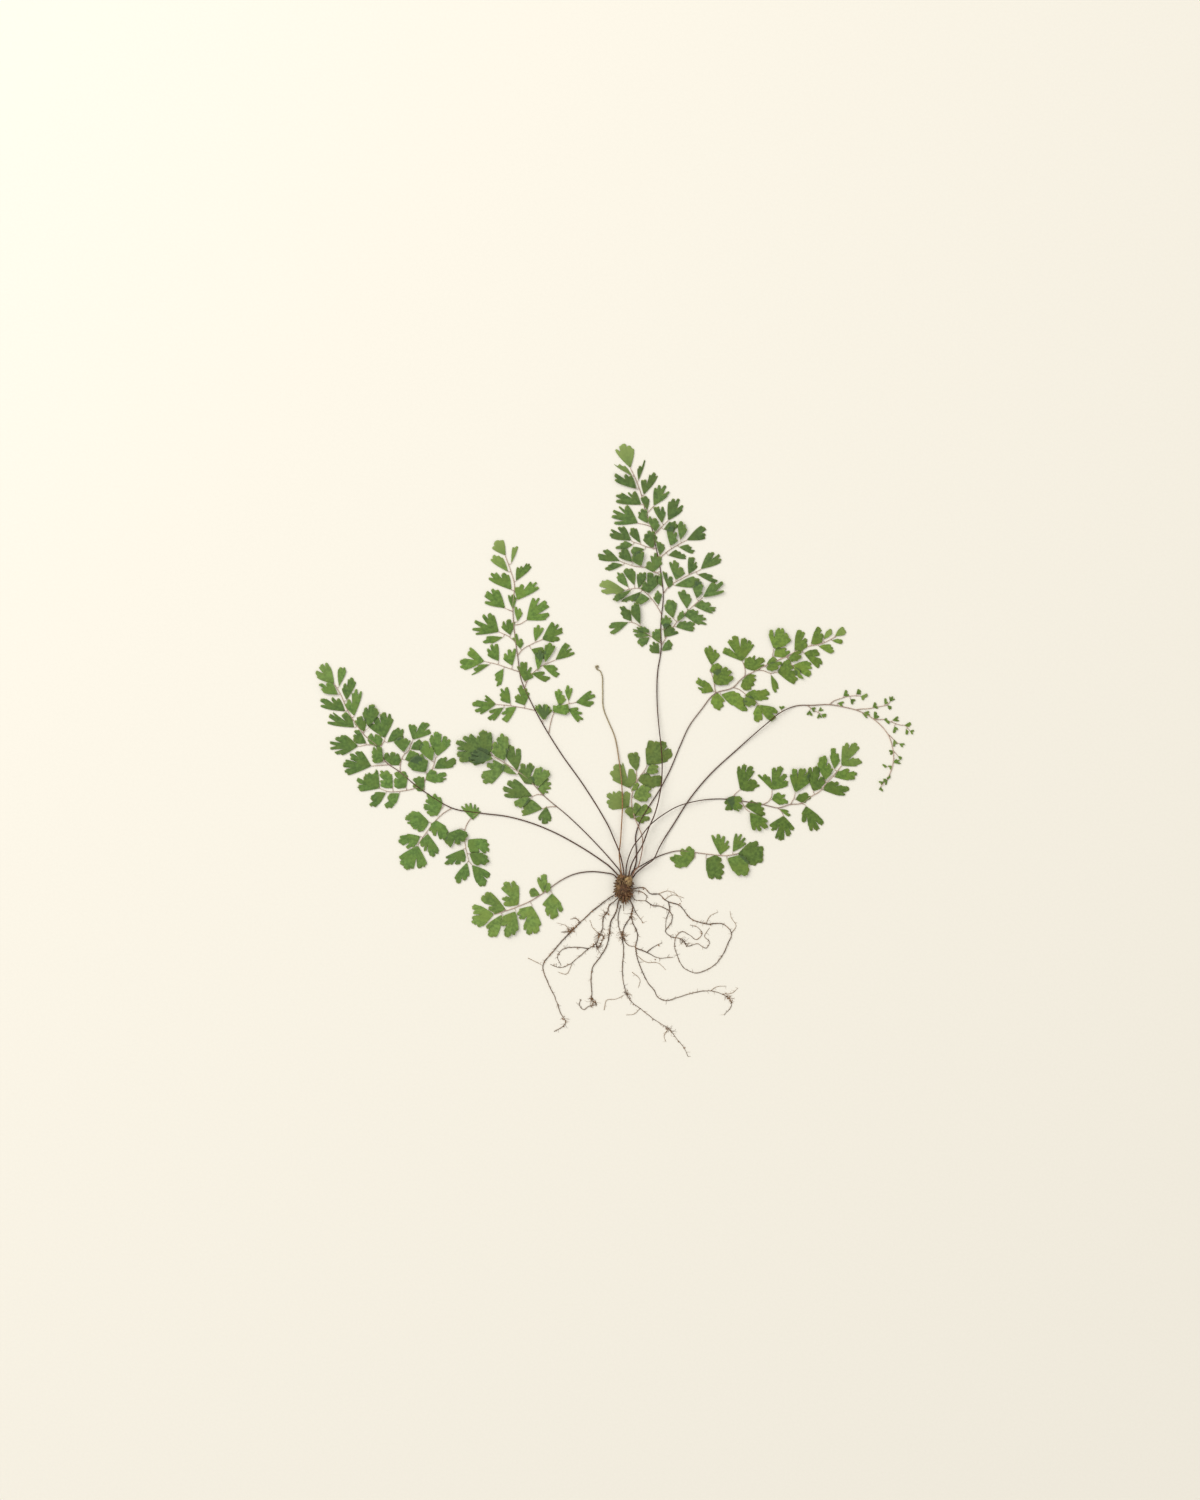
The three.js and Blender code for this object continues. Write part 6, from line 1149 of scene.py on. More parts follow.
class Surface:
    """Gathers vertices, faces and values at the vertices, and makes one mesh object of them."""

    def __init__(self):
        self.places, self.faces, self.values = [], [], {}
        self.count = 0

    def add(self, places, faces, **values):
        self.faces.extend([[corner + self.count for corner in face] for face in faces])
        self.places.append(np.asarray(places, float))
        self.count += len(places)
        for name, value in values.items():
            spread = np.broadcast_to(np.asarray(value, float), (len(places),))
            self.values.setdefault(name, []).append(spread)

    def build(self, name, material, nodes=()):
        mesh = bpy.data.meshes.new(name)
        places = np.concatenate(self.places)
        places[:, 2] = np.maximum(places[:, 2], 0)
        mesh.from_pydata((places * MM).tolist(), [], self.faces)
        for key, parts in self.values.items():
            attribute = mesh.attributes.new(key, "FLOAT", "POINT")
            attribute.data.foreach_set("value", np.concatenate(parts).astype(np.float32))
        mesh.shade_smooth()
        mesh.materials.append(material)
        piece = bpy.data.objects.new(name, mesh)
        bpy.context.scene.collection.objects.link(piece)
        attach(piece, "root")
        if nodes:
            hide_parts(*nodes)
        return piece


def add_tube(surface, points, radii, sides, **values):
    """A closed tube round a line of points."""
    ways = np.gradient(points, axis=0)
    ways /= np.linalg.norm(ways, axis=1)[:, None]
    across = np.cross((0.0, 0.0, 1.0), ways)
    across /= np.maximum(np.linalg.norm(across, axis=1), 1e-6)[:, None]
    upward = np.cross(ways, across)
    angles = np.arange(sides) / sides * math.tau
    ring = np.cos(angles)[None, :, None] * across[:, None] + np.sin(angles)[None, :, None] * upward[:, None]
    places = (points[:, None] + ring * np.asarray(radii)[:, None, None]).reshape(-1, 3)
    rings = len(points)
    faces = [
        [r * sides + c, r * sides + (c + 1) % sides, (r + 1) * sides + (c + 1) % sides, (r + 1) * sides + c]
        for r in range(rings - 1)
        for c in range(sides)
    ]
    faces.append(list(range(sides))[::-1])
    faces.append([(rings - 1) * sides + c for c in range(sides)])
    spread = {key: np.repeat(np.broadcast_to(value, (rings,)), sides) for key, value in values.items()}
    surface.add(places, faces, **spread)


# Leaflets


def edge_points(row):
    """A leaflet's base, and its tips and notches about that base, in turn from one side to the other."""
    base = np.array(row[:2], float)
    if len(row) % 2 == 0:
        return base, np.array(row[2:], float).reshape(-1, 2) - base
    first, last, lobes = np.array(row[2:4]) - base, np.array(row[4:6]) - base, row[6]
    shares = np.linspace(0, 1, max(3, 2 * lobes - 1))
    spread = math.atan2(first[0] * last[1] - first[1] * last[0], first @ last)
    angles = math.atan2(first[1], first[0]) + spread * shares
    reaches = lerp(np.linalg.norm(first), np.linalg.norm(last), shares)
    reaches = reaches * (1 + FAN_BULGE * np.sin(math.pi * shares))
    if lobes > 1:
        notches = np.arange(1, len(shares), 2)
        deepest = notches[len(notches) // 2]
        reaches[notches] *= 1 - MIDDLE_CUT * np.where(notches == deepest, 1, SIDE_CUT)
    return base, np.stack([np.cos(angles), np.sin(angles)], axis=1) * reaches[:, None]


# Where a lobe's flank has its vertices, from tip to shoulder, and where a slit does, from mouth to bottom
TIP_PLACES = (0, 0.35, 0.6, 0.8, 1)
SLIT_PLACES = (0.75, 0.45, 0.15)


def edge_line(angles, reaches):
    """The lobed edge about the base, as angles and reaches: rounded tips, and slits where it is cut in."""
    line = []
    count = len(angles)
    for tip in range(0, count, 2):
        angle, reach = angles[tip], reaches[tip]
        for side in (-1, 1):
            notch, beyond = tip + side, min(max(tip + 2 * side, 0), count - 1)
            cut_in = False
            if 0 <= notch < count:
                space = abs(angles[notch] - angle)
                depth = min(reach, reaches[beyond]) - reaches[notch]
                cut_in = depth > NICK
                mouth = (SLIT_WIDTH + SLIT_FLARE * depth) / reaches[notch]
                gap = min(MOST_SLIT * space, mouth) if cut_in else 0
                width = space - gap
                end = reach - min(TIP_ROUNDING * width * reach, MOST_ROUNDING) if cut_in else reaches[notch]
            else:
                width = min(0.4 * abs(angles[tip - side] - angle), SIDE_CORNER / reach)
                end = reach - min(TIP_ROUNDING * width * reach * 2, 0.5)
            fall = reach - end
            flank = [(angle + side * width * t, reach - fall * t**2.6) for t in TIP_PLACES]
            if cut_in:
                bottom = (angles[notch], reaches[notch])
                flank += [(bottom[0] - side * gap * t, lerp(bottom[1], end, t**1.5)) for t in SLIT_PLACES]
                if side > 0:
                    flank.append(bottom)
            line.extend(flank if side > 0 else flank[:0:-1])
    return np.array(line)


class Leaflet:
    """One fan-shaped blade: its grid of points in plan, from the base out to its edge, and its height."""

    def __init__(self, row, foot):
        self.base, points = edge_points(row)
        self.height, self.foot = FIRST_LAYER, foot
        self.unevens = [math.sin(row[0] * 12.9 + row[1] * 7.7 + lobe * 2.3) for lobe in range(3)]
        angles = np.unwrap(np.arctan2(points[:, 1], points[:, 0]))
        if angles[-1] < angles[0]:
            angles, points = angles[::-1], points[::-1]
        angles = np.maximum.accumulate(angles + np.arange(len(angles)) * 1e-3)
        line = edge_line(angles, np.linalg.norm(points, axis=1))
        angles = np.maximum.accumulate(line[:, 0] + np.arange(len(line)) * 1e-4)
        self.reach = line[:, 1]
        self.spread = angles[-1] - angles[0]
        self.shares = (angles - angles[0]) / self.spread
        self.length = float(np.mean(self.reach))
        self.width = self.spread * self.length
        self.lobes = (len(points) + 1) // 2
        rows = max(5, math.ceil(self.length / ROW_STEP))
        self.outward = np.linspace(0.05, 1, rows + 1)
        bulge = np.interp(math.degrees(self.spread), (25, 50, 80, 120), (0.38, 0.22, 0.07, 0))
        widened = 1 + bulge * (1 - self.outward**3)
        turns = angles[0] + self.spread * (0.5 + (self.shares[None, :] - 0.5) * widened[:, None])
        ways = np.stack([np.cos(turns), np.sin(turns)], axis=-1)
        self.radial = self.outward[:, None] * self.reach[None, :]
        self.plan = self.base + ways * self.radial[..., None]
        middle = angles[0] + self.spread / 2
        self.middle = np.array((math.cos(middle), math.sin(middle)))
        near = [v for place, v in YELLOW_LEAFLETS.items() if math.dist(place, self.base) < YELLOW_REACH]
        self.yellow = max(near, default=0)

    def outline(self):
        first_side, last_side = self.plan[:-1, 0], self.plan[:-1, -1][::-1]
        return np.concatenate([first_side, self.plan[-1], last_side])

    def rims(self):
        """How far each point lies from the outer edge and from the nearer side, in millimetres."""
        outer = self.reach[None, :] - self.radial
        side = np.minimum(self.shares, 1 - self.shares)[None, :] * abs(self.spread) * self.radial
        return outer, side

    def heights(self):
        """The height of the blade's middle at each point: slow waves, curled sides and bowed lobes."""
        turn = self.unevens[0] * 3
        x, y = self.plan[..., 0], self.plan[..., 1]
        wave = WAVE * np.sin(x * 0.55 + turn) * np.cos(y * 0.5 - turn)
        curl = CURL * self.unevens[1] * (2 * self.shares[None, :] - 1) ** 2 * self.outward[:, None] ** 2
        bow = BOW * np.cos(math.tau * self.lobes * self.shares[None, :]) * self.outward[:, None] ** 3
        return self.height + wave * self.outward[:, None] - curl - bow


def covered(places, outline):
    """Whether each place in plan lies inside an outline."""
    starts, ends = outline, np.roll(outline, -1, axis=0)
    x, y = places[:, 0:1], places[:, 1:2]
    spans = (starts[None, :, 1] > y) != (ends[None, :, 1] > y)
    rise = np.where(ends[:, 1] == starts[:, 1], 1e-9, ends[:, 1] - starts[:, 1])
    crossing = starts[None, :, 0] + (y - starts[None, :, 1]) / rise * (ends[:, 0] - starts[:, 0])
    return ((spans & (x < crossing)).sum(1) % 2).astype(bool)


def add_blade(surface, leaflet, covers):
    """A thin closed blade, with the values that its material reads."""
    rows, columns = leaflet.plan.shape[:2]
    middle = leaflet.heights()
    outer, side = leaflet.rims()
    thin = np.clip(np.minimum(outer, side * 1.5) / RIM_REACH, 0, 1)
    half = lerp(RIM_THICKNESS, BLADE_THICKNESS, thin) / 2
    top = np.dstack([leaflet.plan, middle + half]).reshape(-1, 3)
    bottom = np.dstack([leaflet.plan, middle - half]).reshape(-1, 3)
    grid = np.arange(rows * columns).reshape(rows, columns)
    quads = np.stack([grid[:-1, :-1], grid[1:, :-1], grid[1:, 1:], grid[:-1, 1:]], axis=-1).reshape(-1, 4)
    if leaflet.spread < 0:
        quads = quads[:, ::-1]
    quads = quads[:, ::-1] if leaflet_faces_down(top, quads[0]) else quads
    loop = [*grid[:, 0], *grid[-1, 1:], *grid[-2::-1, -1], *grid[0, -2:0:-1]]
    size = rows * columns
    faces = quads.tolist() + (quads[:, ::-1] + size).tolist()
    rim = [[a, b, b + size, a + size] for a, b in zip(loop, loop[1:] + loop[:1])]
    edges = {(face[i], face[(i + 1) % 4]) for face in quads.tolist() for i in range(4)}
    if (rim[0][0], rim[0][1]) in edges:
        rim = [face[::-1] for face in rim]
    faces.extend(rim)
    twice = {
        "across": np.broadcast_to((leaflet.shares - 0.5) * leaflet.width, (rows, columns)),
        "outward": np.broadcast_to(leaflet.outward[:, None], (rows, columns)),
        "outer": outer,
        "side": side,
        "covers": covers.reshape(rows, columns),
        "tint": np.full((rows, columns), leaflet.unevens[-1]),
        "yellow": np.full((rows, columns), leaflet.yellow),
    }
    surface.add(
        np.concatenate([top, bottom]),
        faces,
        **{key: np.concatenate([value.reshape(-1)] * 2) for key, value in twice.items()},
    )


def leaflet_faces_down(places, quad):
    a, b, c = places[quad[0]], places[quad[1]], places[quad[2]]
    return np.cross(b - a, c - a)[2] < 0


def lay_leaflets(leaflets):
    """Lifts each leaflet to the lowest layer in which it lies on no other."""
    layers = []
    for leaflet in leaflets:
        edge = leaflet.outline()
        low, high = edge.min(0), edge.max(0)
        for number in range(MOST_LAYERS):
            if number == len(layers):
                layers.append([])
            if not any(outlines_meet(edge, low, high, *other) for other in layers[number]):
                break
        layers[number].append((edge, low, high))
        leaflet.height = FIRST_LAYER + LAYER_STEP * number


def outlines_meet(edge, low, high, other, other_low, other_high):
    if (other_low > high).any() or (other_high < low).any():
        return False
    return covered(edge, other).any() or covered(other, edge).any()


def plan_frond(frond):
    """A frond's lines and leaflets, ready to be made."""
    stem, stem_radii = smooth_path(*place_path(frond["stem"], frond["radius"], STEM_TIP))
    axes, leaflets = [], []
    for pinna in frond["pinnae"]:
        places, radii = place_path(pinna["axis"], AXIS_RADIUS + 0.1, AXIS_TIP + 0.09)
        places[0] = nearest_on(stem, places[0, :2])[0]
        axes.append(smooth_path(places, np.linspace(AXIS_RADIUS, AXIS_TIP, len(places))))
    groups = [(frond["leaflets"], [stem])]
    groups.extend((pinna["leaflets"], [axis[0], stem]) for pinna, axis in zip(frond["pinnae"], axes))
    for rows, lines in groups:
        for row in rows:
            foot = min((nearest_on(line, row[:2]) for line in lines), key=lambda found: found[1])[0]
            leaflets.append(Leaflet(row, foot))
    radii = stem_radii * STEM_SHARE
    return {"frond": frond, "stem": stem, "radii": radii, "axes": axes, "leaflets": leaflets}


def add_stalk(surface, leaflet):
    """The short stalk from an axis into the base of a blade."""
    base = np.array((*leaflet.base, leaflet.height))
    inside = base + np.array((*leaflet.middle, 0)) * min(STALK_INTO_BLADE, leaflet.length * 0.3)
    gap = np.linalg.norm(base - leaflet.foot)
    places = [leaflet.foot, base, inside] if gap > 0.3 else [leaflet.foot, inside]
    points, radii = smooth_path(np.array(places), np.linspace(STALK_RADIUS, STALK_TIP, len(places)), 0.5)
    add_tube(surface, points, radii, 5, pale=np.linspace(0.75, 0.9, len(points)), red=0)


def make_frond(plan, others):
    frond = plan["frond"]
    look = LOOKS[frond["name"]]
    stems = Surface()
    share = np.linspace(0, 1, len(plan["stem"]))
    pale = np.clip((share - look["pale_from"]) / (look["pale_to"] - look["pale_from"]), 0, 1)
    add_tube(stems, plan["stem"], plan["radii"], 8, pale=pale, red=look.get("red", 0))
    for points, radii in plan["axes"]:
        add_tube(stems, points, radii, 6, pale=np.linspace(0.7, 1, len(points)), red=0)
    blades = Surface()
    for leaflet in plan["leaflets"]:
        add_stalk(stems, leaflet)
        places = leaflet.plan.reshape(-1, 2)
        low, high = places.min(0), places.max(0)
        # How many other blades overlap each point, for the painted shade in the leaf material
        covers = np.zeros(len(places))
        for other, other_low, other_high, outline in others:
            if other is leaflet or (other_low > high).any() or (other_high < low).any():
                continue
            covers += covered(places, outline)
        add_blade(blades, leaflet, covers)
    name = frond["name"]
    stems.build(f"{name}_stem", stem_material(), [name])
    blades.build(f"{name}_leaflets", leaf_material(name, look["green"]), [name])


# Materials


def new_material(name):
    material = bpy.data.materials.new(name)
    material.use_nodes = True
    material.node_tree.nodes.clear()
    return material, material.node_tree


def node(tree, kind, inputs=None, **settings):
    """A new shader node. An input is a socket to link from, or a plain value."""
    made = tree.nodes.new(kind)
    for key, value in settings.items():
        setattr(made, key, value)
    for key, value in (inputs or {}).items():
        if isinstance(value, bpy.types.NodeSocket):
            tree.links.new(value, made.inputs[key])
        else:
            made.inputs[key].default_value = value
    return made


def math_node(tree, operation, *values):
    return node(tree, "ShaderNodeMath", dict(enumerate(values)), operation=operation).outputs[0]


def mix(tree, factor, a, b, blend="MIX"):
    made = node(tree, "ShaderNodeMix", {0: factor, 6: a, 7: b}, data_type="RGBA", blend_type=blend)
    return made.outputs[2]


def value_at(tree, name):
    return node(tree, "ShaderNodeAttribute", attribute_name=name).outputs["Fac"]


def between(tree, value, low, high, from_share=0.0, to_share=1.0):
    inputs = {"Value": value, "From Min": low, "From Max": high, "To Min": from_share, "To Max": to_share}
    return node(tree, "ShaderNodeMapRange", inputs, interpolation_type="SMOOTHSTEP").outputs[0]


def speckle(tree, size, detail=3.0, stretch=(1, 1, 1)):
    """Noise whose spots are about a size across, in millimetres."""
    coordinates = node(tree, "ShaderNodeTexCoord").outputs["Object"]
    scaled = node(tree, "ShaderNodeMapping", {"Vector": coordinates, "Scale": stretch}).outputs[0]
    inputs = {"Vector": scaled, "Scale": 1 / (size * MM), "Detail": detail}
    return node(tree, "ShaderNodeTexNoise", inputs).outputs["Fac"]


def color(r, g, b):
    return (r, g, b, 1.0)


def finish_material(tree, base, roughness, bump, bump_height, specular=0.3, translucent=None):
    lift = node(tree, "ShaderNodeBump", {"Height": bump, "Strength": 1.0, "Distance": bump_height * MM})
    inputs = {"Base Color": base, "Roughness": roughness, "Normal": lift.outputs[0]}
    shader = node(tree, "ShaderNodeBsdfPrincipled", inputs)
    shader.inputs["Specular IOR Level"].default_value = specular
    out = shader.outputs[0]
    if translucent is not None:
        through = node(tree, "ShaderNodeBsdfTranslucent", {"Color": translucent})
        out = node(tree, "ShaderNodeMixShader", {0: 0.14, 1: out, 2: through.outputs[0]}).outputs[0]
    node(tree, "ShaderNodeOutputMaterial", {"Surface": out})


def vein_lines(tree, across, spacing, sharpness):
    turned = math_node(tree, "MULTIPLY", across, math.tau / spacing)
    wave = math_node(tree, "COSINE", turned)
    raised = math_node(tree, "MULTIPLY_ADD", wave, 0.5, 0.5)
    return math_node(tree, "POWER", raised, sharpness)


def leaf_material(name, green):
    """A dry, thin blade with forking veins and a yellowish margin, and painted shade where blades overlap."""
    material, tree = new_material(f"leaf_{name}")
    green = [c * k for c, k in zip(green, (1.04, 1.14, 0.84))]
    outer, side = value_at(tree, "outer"), value_at(tree, "side")
    outward, across = value_at(tree, "outward"), value_at(tree, "across")
    wander = math_node(tree, "MULTIPLY_ADD", speckle(tree, 2.5), 0.5, -0.25)
    bent = math_node(tree, "ADD", across, wander)
    coarse, fine = vein_lines(tree, bent, 1.5, 5.0), vein_lines(tree, bent, 0.75, 4.0)
    veins = node(
        tree,
        "ShaderNodeMix",
        {0: between(tree, outward, 0.4, 0.62), 2: coarse, 3: fine},
        data_type="FLOAT",
    ).outputs[0]
    mottle = speckle(tree, 1.4, 4.0)
    patches = speckle(tree, 6.0, 2.0)
    dark = color(*(c * 0.72 for c in green))
    light = color(*(c * k for c, k in zip(green, (1.32, 1.24, 1.28))))
    base = mix(tree, between(tree, mottle, 0.3, 0.72), dark, light)
    warm = color(green[0] * 1.25, green[1] * 1.05, green[2] * 0.9)
    base = mix(tree, between(tree, patches, 0.42, 0.7, 0.0, 0.6), base, warm)
    base = mix(tree, math_node(tree, "MULTIPLY", veins, 0.22), base, color(*(c * 0.7 for c in green)))
    tint = between(tree, value_at(tree, "tint"), -1.0, 1.0, 0.88, 1.16)
    tone = node(tree, "ShaderNodeCombineColor", {0: tint, 1: tint, 2: tint}).outputs[0]
    base = mix(tree, 1.0, base, tone, "MULTIPLY")
    yellow_green = color(0.36, 0.41, 0.10)
    ragged = between(tree, speckle(tree, 0.9), 0.3, 0.7, 0.35, 1.0)
    tips = math_node(tree, "MULTIPLY", between(tree, outer, 0.75, 0.0, 0.0, 0.75), ragged)
    sides = between(tree, side, 0.3, 0.0, 0.0, 0.3)
    margin = math_node(tree, "MAXIMUM", tips, sides)
    base = mix(tree, margin, base, yellow_green)
    aged = math_node(tree, "MULTIPLY", value_at(tree, "yellow"), between(tree, outward, 0.1, 0.9, 0.45, 1.0))
    base = mix(tree, aged, base, color(0.30, 0.39, 0.11))
    # Painted shade: darker where other blades overlap this one, for the light that stacked blades hold back
    twice = between(tree, value_at(tree, "covers"), 0.25, 0.8, 0.0, 0.62)
    base = mix(tree, twice, base, color(0.047, 0.078, 0.045))
    raised, sunk = math_node(tree, "MULTIPLY", veins, 0.7), math_node(tree, "MULTIPLY", mottle, 0.6)
    height = math_node(tree, "SUBTRACT", raised, sunk)
    roughness = between(tree, mottle, 0.2, 0.8, 0.48, 0.66)
    finish_material(tree, base, roughness, height, 0.05, 0.28, color(0.25, 0.4, 0.06))
    return material


def stem_material():
    """Wiry and polished where it is dark, dull and pinkish where it is pale."""
    found = bpy.data.materials.get("stem")
    if found:
        return found
    material, tree = new_material("stem")
    pale = value_at(tree, "pale")
    streaks = speckle(tree, 0.7, 4.0)
    dark = mix(tree, between(tree, streaks, 0.3, 0.7), color(0.030, 0.013, 0.008), color(0.115, 0.048, 0.026))
    light = mix(tree, between(tree, streaks, 0.3, 0.7), color(0.40, 0.28, 0.21), color(0.60, 0.46, 0.37))
    dark = mix(tree, value_at(tree, "red"), dark, color(0.30, 0.135, 0.075))
    base = mix(tree, pale, dark, light)
    finish_material(tree, base, between(tree, pale, 0.0, 1.0, 0.42, 0.6), streaks, 0.06, 0.22)
    return material


def crozier_material():
    """Orange-brown below, greyer above, dark at the coiled tip."""
    material, tree = new_material("young_stem")
    streaks = speckle(tree, 0.8, 4.0)
    up = value_at(tree, "pale")
    low = mix(tree, between(tree, streaks, 0.3, 0.7), color(0.22, 0.10, 0.035), color(0.36, 0.19, 0.08))
    high = mix(tree, between(tree, streaks, 0.3, 0.7), color(0.24, 0.19, 0.10), color(0.40, 0.34, 0.20))
    base = mix(tree, between(tree, up, 0.25, 0.75), low, high)
    base = mix(tree, between(tree, up, 0.975, 1.0), base, color(0.05, 0.028, 0.02))
    finish_material(tree, base, 0.5, streaks, 0.06)
    return material


def root_material():
    material, tree = new_material("root")
    bark = speckle(tree, 0.8, 5.0)
    patches = speckle(tree, 7.0, 2.0)
    base = mix(tree, between(tree, bark, 0.32, 0.68), color(0.032, 0.018, 0.011), color(0.15, 0.082, 0.046))
    base = mix(tree, between(tree, patches, 0.5, 0.72, 0.0, 0.7), base, color(0.28, 0.16, 0.085))
    base = mix(tree, value_at(tree, "pale"), base, color(0.44, 0.31, 0.19))
    finish_material(tree, base, between(tree, bark, 0.2, 0.8, 0.6, 0.85), bark, 0.12, 0.2)
    return material


def rhizome_material():
    """Dark fibrous scales on a buff core."""
    material, tree = new_material("rhizome")
    grain = speckle(tree, 0.7, 5.0)
    patches = speckle(tree, 3.2, 3.0)
    base = mix(tree, between(tree, grain, 0.3, 0.7), color(0.022, 0.011, 0.007), color(0.15, 0.07, 0.035))
    base = mix(tree, between(tree, patches, 0.45, 0.7, 0.0, 0.6), base, color(0.30, 0.135, 0.065))
    base = mix(tree, value_at(tree, "buff"), base, color(0.50, 0.35, 0.16))
    finish_material(tree, base, between(tree, grain, 0.2, 0.8, 0.55, 0.85), grain, 0.25, 0.2)
    return material


def soil_material():
    material, tree = new_material("soil")
    grain = speckle(tree, 0.5, 4.0)
    patches = speckle(tree, 4.0, 2.0)
    base = mix(tree, between(tree, grain, 0.3, 0.7), color(0.16, 0.075, 0.03), color(0.42, 0.22, 0.09))
    base = mix(tree, between(tree, patches, 0.45, 0.65), base, color(0.10, 0.06, 0.04))
    finish_material(tree, base, 0.9, grain, 0.2, 0.1)
    return material


# Roots, crozier and rhizome

# Where root hairs and soil are thickest: x, y and how far round it they reach
BRUSHES = [
    (-26, -21, 4), (-11, -24.3, 4), (-13, -31, 3.5), (-7.5, -22, 4), (-1, -25, 4), (2, -53, 4), (24, -72, 4),
    (-31, -67, 3), (-16, -57, 3), (51, -57, 4), (30, -28, 3.5), (-9, -14, 3), (3.5, -14, 3),
]
# Thin pale rootlets that stand clear of the thick roots
ROOTLETS = [
    [[-10, -62], [-8.5, -57], [-4, -56.5], [0, -54.5]],
    [[-26, -39], [-29, -44], [-33, -43]], [[-48, -36], [-44, -38], [-40.6, -39.8]],
    [[-27, -24], [-29, -20], [-33, -18.5]], [[-12, -24], [-15.5, -21], [-17, -17]],
    [[4, -43], [8, -47], [7, -51]], [[6.3, -34.5], [11, -38], [17, -38.5], [21, -42]],
    [[43.3, -52.4], [46, -50.5], [51, -50]], [[49, -54], [54, -53.5], [57, -51]],
    [[53.7, -23.5], [56, -20], [53.5, -15.5], [53, -12.5]], [[17, -3.9], [22, -2.5], [26, -4], [29, -8]],
    [[41, -18.8], [43, -15], [47, -13]], [[20, -7], [24, -4.5], [30, -6]],
    [[22.3, -71.3], [20, -75], [21, -78]], [[8, -61.2], [5, -64], [1, -64.5]],
]


def rough_radii(points, radii, amount):
    """Radii that swell and shrink along a root."""
    lumps = [noise.noise(Vector((x * 0.9, y * 0.9, z))) for x, y, z in points]
    return radii * (1 + amount * np.array(lumps))


def add_hair(surface, start, angle, length, radius, pale, rng, sides=4):
    """A thin, wandering rootlet that lies on the surface."""
    steps = max(4, int(length / 0.6))
    place = np.array(start, float)
    points = [place.copy()]
    for _ in range(steps):
        angle += rng.normal(0, 0.28)
        place = place + np.array((math.cos(angle), math.sin(angle), 0)) * length / steps
        place[2] = lerp(place[2], radius + FLOOR_GAP, 0.35)
        points.append(place.copy())
    add_tube(surface, np.array(points), np.linspace(radius, radius * 0.4, len(points)), sides, pale=pale)


def brush_share(place):
    """From 0 to 1, how near a place is to the middle of a brush of hairs."""
    return max(max(0, 1 - math.hypot(place[0] - x, place[1] - y) / reach) for x, y, reach in BRUSHES)


def make_roots(rng):
    material = root_material()
    crumbs = Surface()
    for root in ROOTS:
        surface = Surface()
        for index, path in enumerate(root["paths"]):
            start = root["radius"] * (ROOT_SHARE if index == 0 else BRANCH_SHARE)
            points, radii = smooth_path(*place_path(path, start, start * ROOT_TAPER))
            radii = rough_radii(points, radii, 0.45)
            wander = [[noise.noise(Vector((x * 0.45, y * 0.45, z))) for z in (3, 9)] for x, y, _ in points]
            points[1:-1, :2] += 0.22 * np.array(wander)[1:-1]
            add_tube(surface, points, radii, 7, pale=np.linspace(0, 0.25, len(points)))
            ways = np.gradient(points, axis=0)
            for place, way, radius in zip(points[2:], ways[2:], radii[2:]):
                near = brush_share(place)
                along = math.atan2(way[1], way[0])
                for _ in range(rng.poisson(0.3 + 3.4 * near)):
                    turn = along + rng.choice((-1, 1)) * rng.uniform(0.5, 1.5)
                    length = rng.uniform(0.8, 2.2 + 2.6 * near)
                    thickness, pale = rng.uniform(0.04, 0.09), rng.uniform(0.1, 0.9)
                    add_hair(surface, place, turn, length, thickness, pale, rng)
                for _ in range(rng.poisson(0.08 + 2.4 * near)):
                    add_crumb(crumbs, place, radius, rng)
        surface.build(f"{root['name']}_strands", material, [root["name"]])
    rootlets = Surface()
    for path in ROOTLETS:
        points, radii = smooth_path(*place_path(path, 0.14, 0.07))
        add_tube(rootlets, points, rough_radii(points, radii, 0.3), 5, pale=0.6)
        for place in points[3::3]:
            add_hair(rootlets, place, rng.uniform(0, math.tau), rng.uniform(0.6, 2), 0.05, 0.8, rng)
    rootlets.build("fine_rootlets", material)
    crumbs.build("soil_crumbs", soil_material())


def add_crumb(surface, place, radius, rng):
    """A small lump of soil that clings to a root."""
    size = rng.uniform(0.14, 0.42)
    shift = rng.normal(0, 0.5, 2)
    height = size * 0.7 + FLOOR_GAP + rng.uniform(0, radius)
    centre = np.array((place[0] + shift[0], place[1] + shift[1], height))
    corners = np.array([(1, 0, 0), (0, 1, 0), (-1, 0, 0), (0, -1, 0), (0, 0, 1), (0, 0, -1)], float)
    between_corners = [(c + corners[(i + 1) % 4]) / 1.4 for i, c in enumerate(corners[:4])]
    places = np.concatenate([corners, between_corners]) * rng.uniform(0.55, 1.15, (10, 1)) * size
    places[:, 2] *= 0.75
    ring = [0, 6, 1, 7, 2, 8, 3, 9]
    faces = [[4, a, b] for a, b in zip(ring, ring[1:] + ring[:1])]
    faces += [[5, b, a] for a, b in zip(ring, ring[1:] + ring[:1])]
    surface.add(centre + places, faces)


def make_crozier():
    """The young shoot, whose tip still curls in on itself."""
    surface = Surface()
    points, radii = smooth_path(*place_path(CROZIER["path"], CROZIER["radius"], CROZIER["tip"]))
    radii = radii * 0.86
    end = points[-1]
    turns = np.linspace(0, 1, 22)[1:]
    angles = math.radians(40) + turns * math.radians(-420)
    coil = 0.95 * (1 - turns * 0.72)
    centre = end - np.array((math.cos(math.radians(40)), math.sin(math.radians(40)), 0)) * 0.95
    spiral = centre + np.stack([np.cos(angles) * coil, np.sin(angles) * coil, turns * 0.35], axis=1)
    points = np.concatenate([points, spiral])
    radii = np.concatenate([radii, lerp(radii[-1], 0.12, turns)])
    add_tube(surface, points, radii, 8, pale=np.linspace(0, 1, len(points)))
    surface.build("crozier_shoot", crozier_material(), ["crozier"])


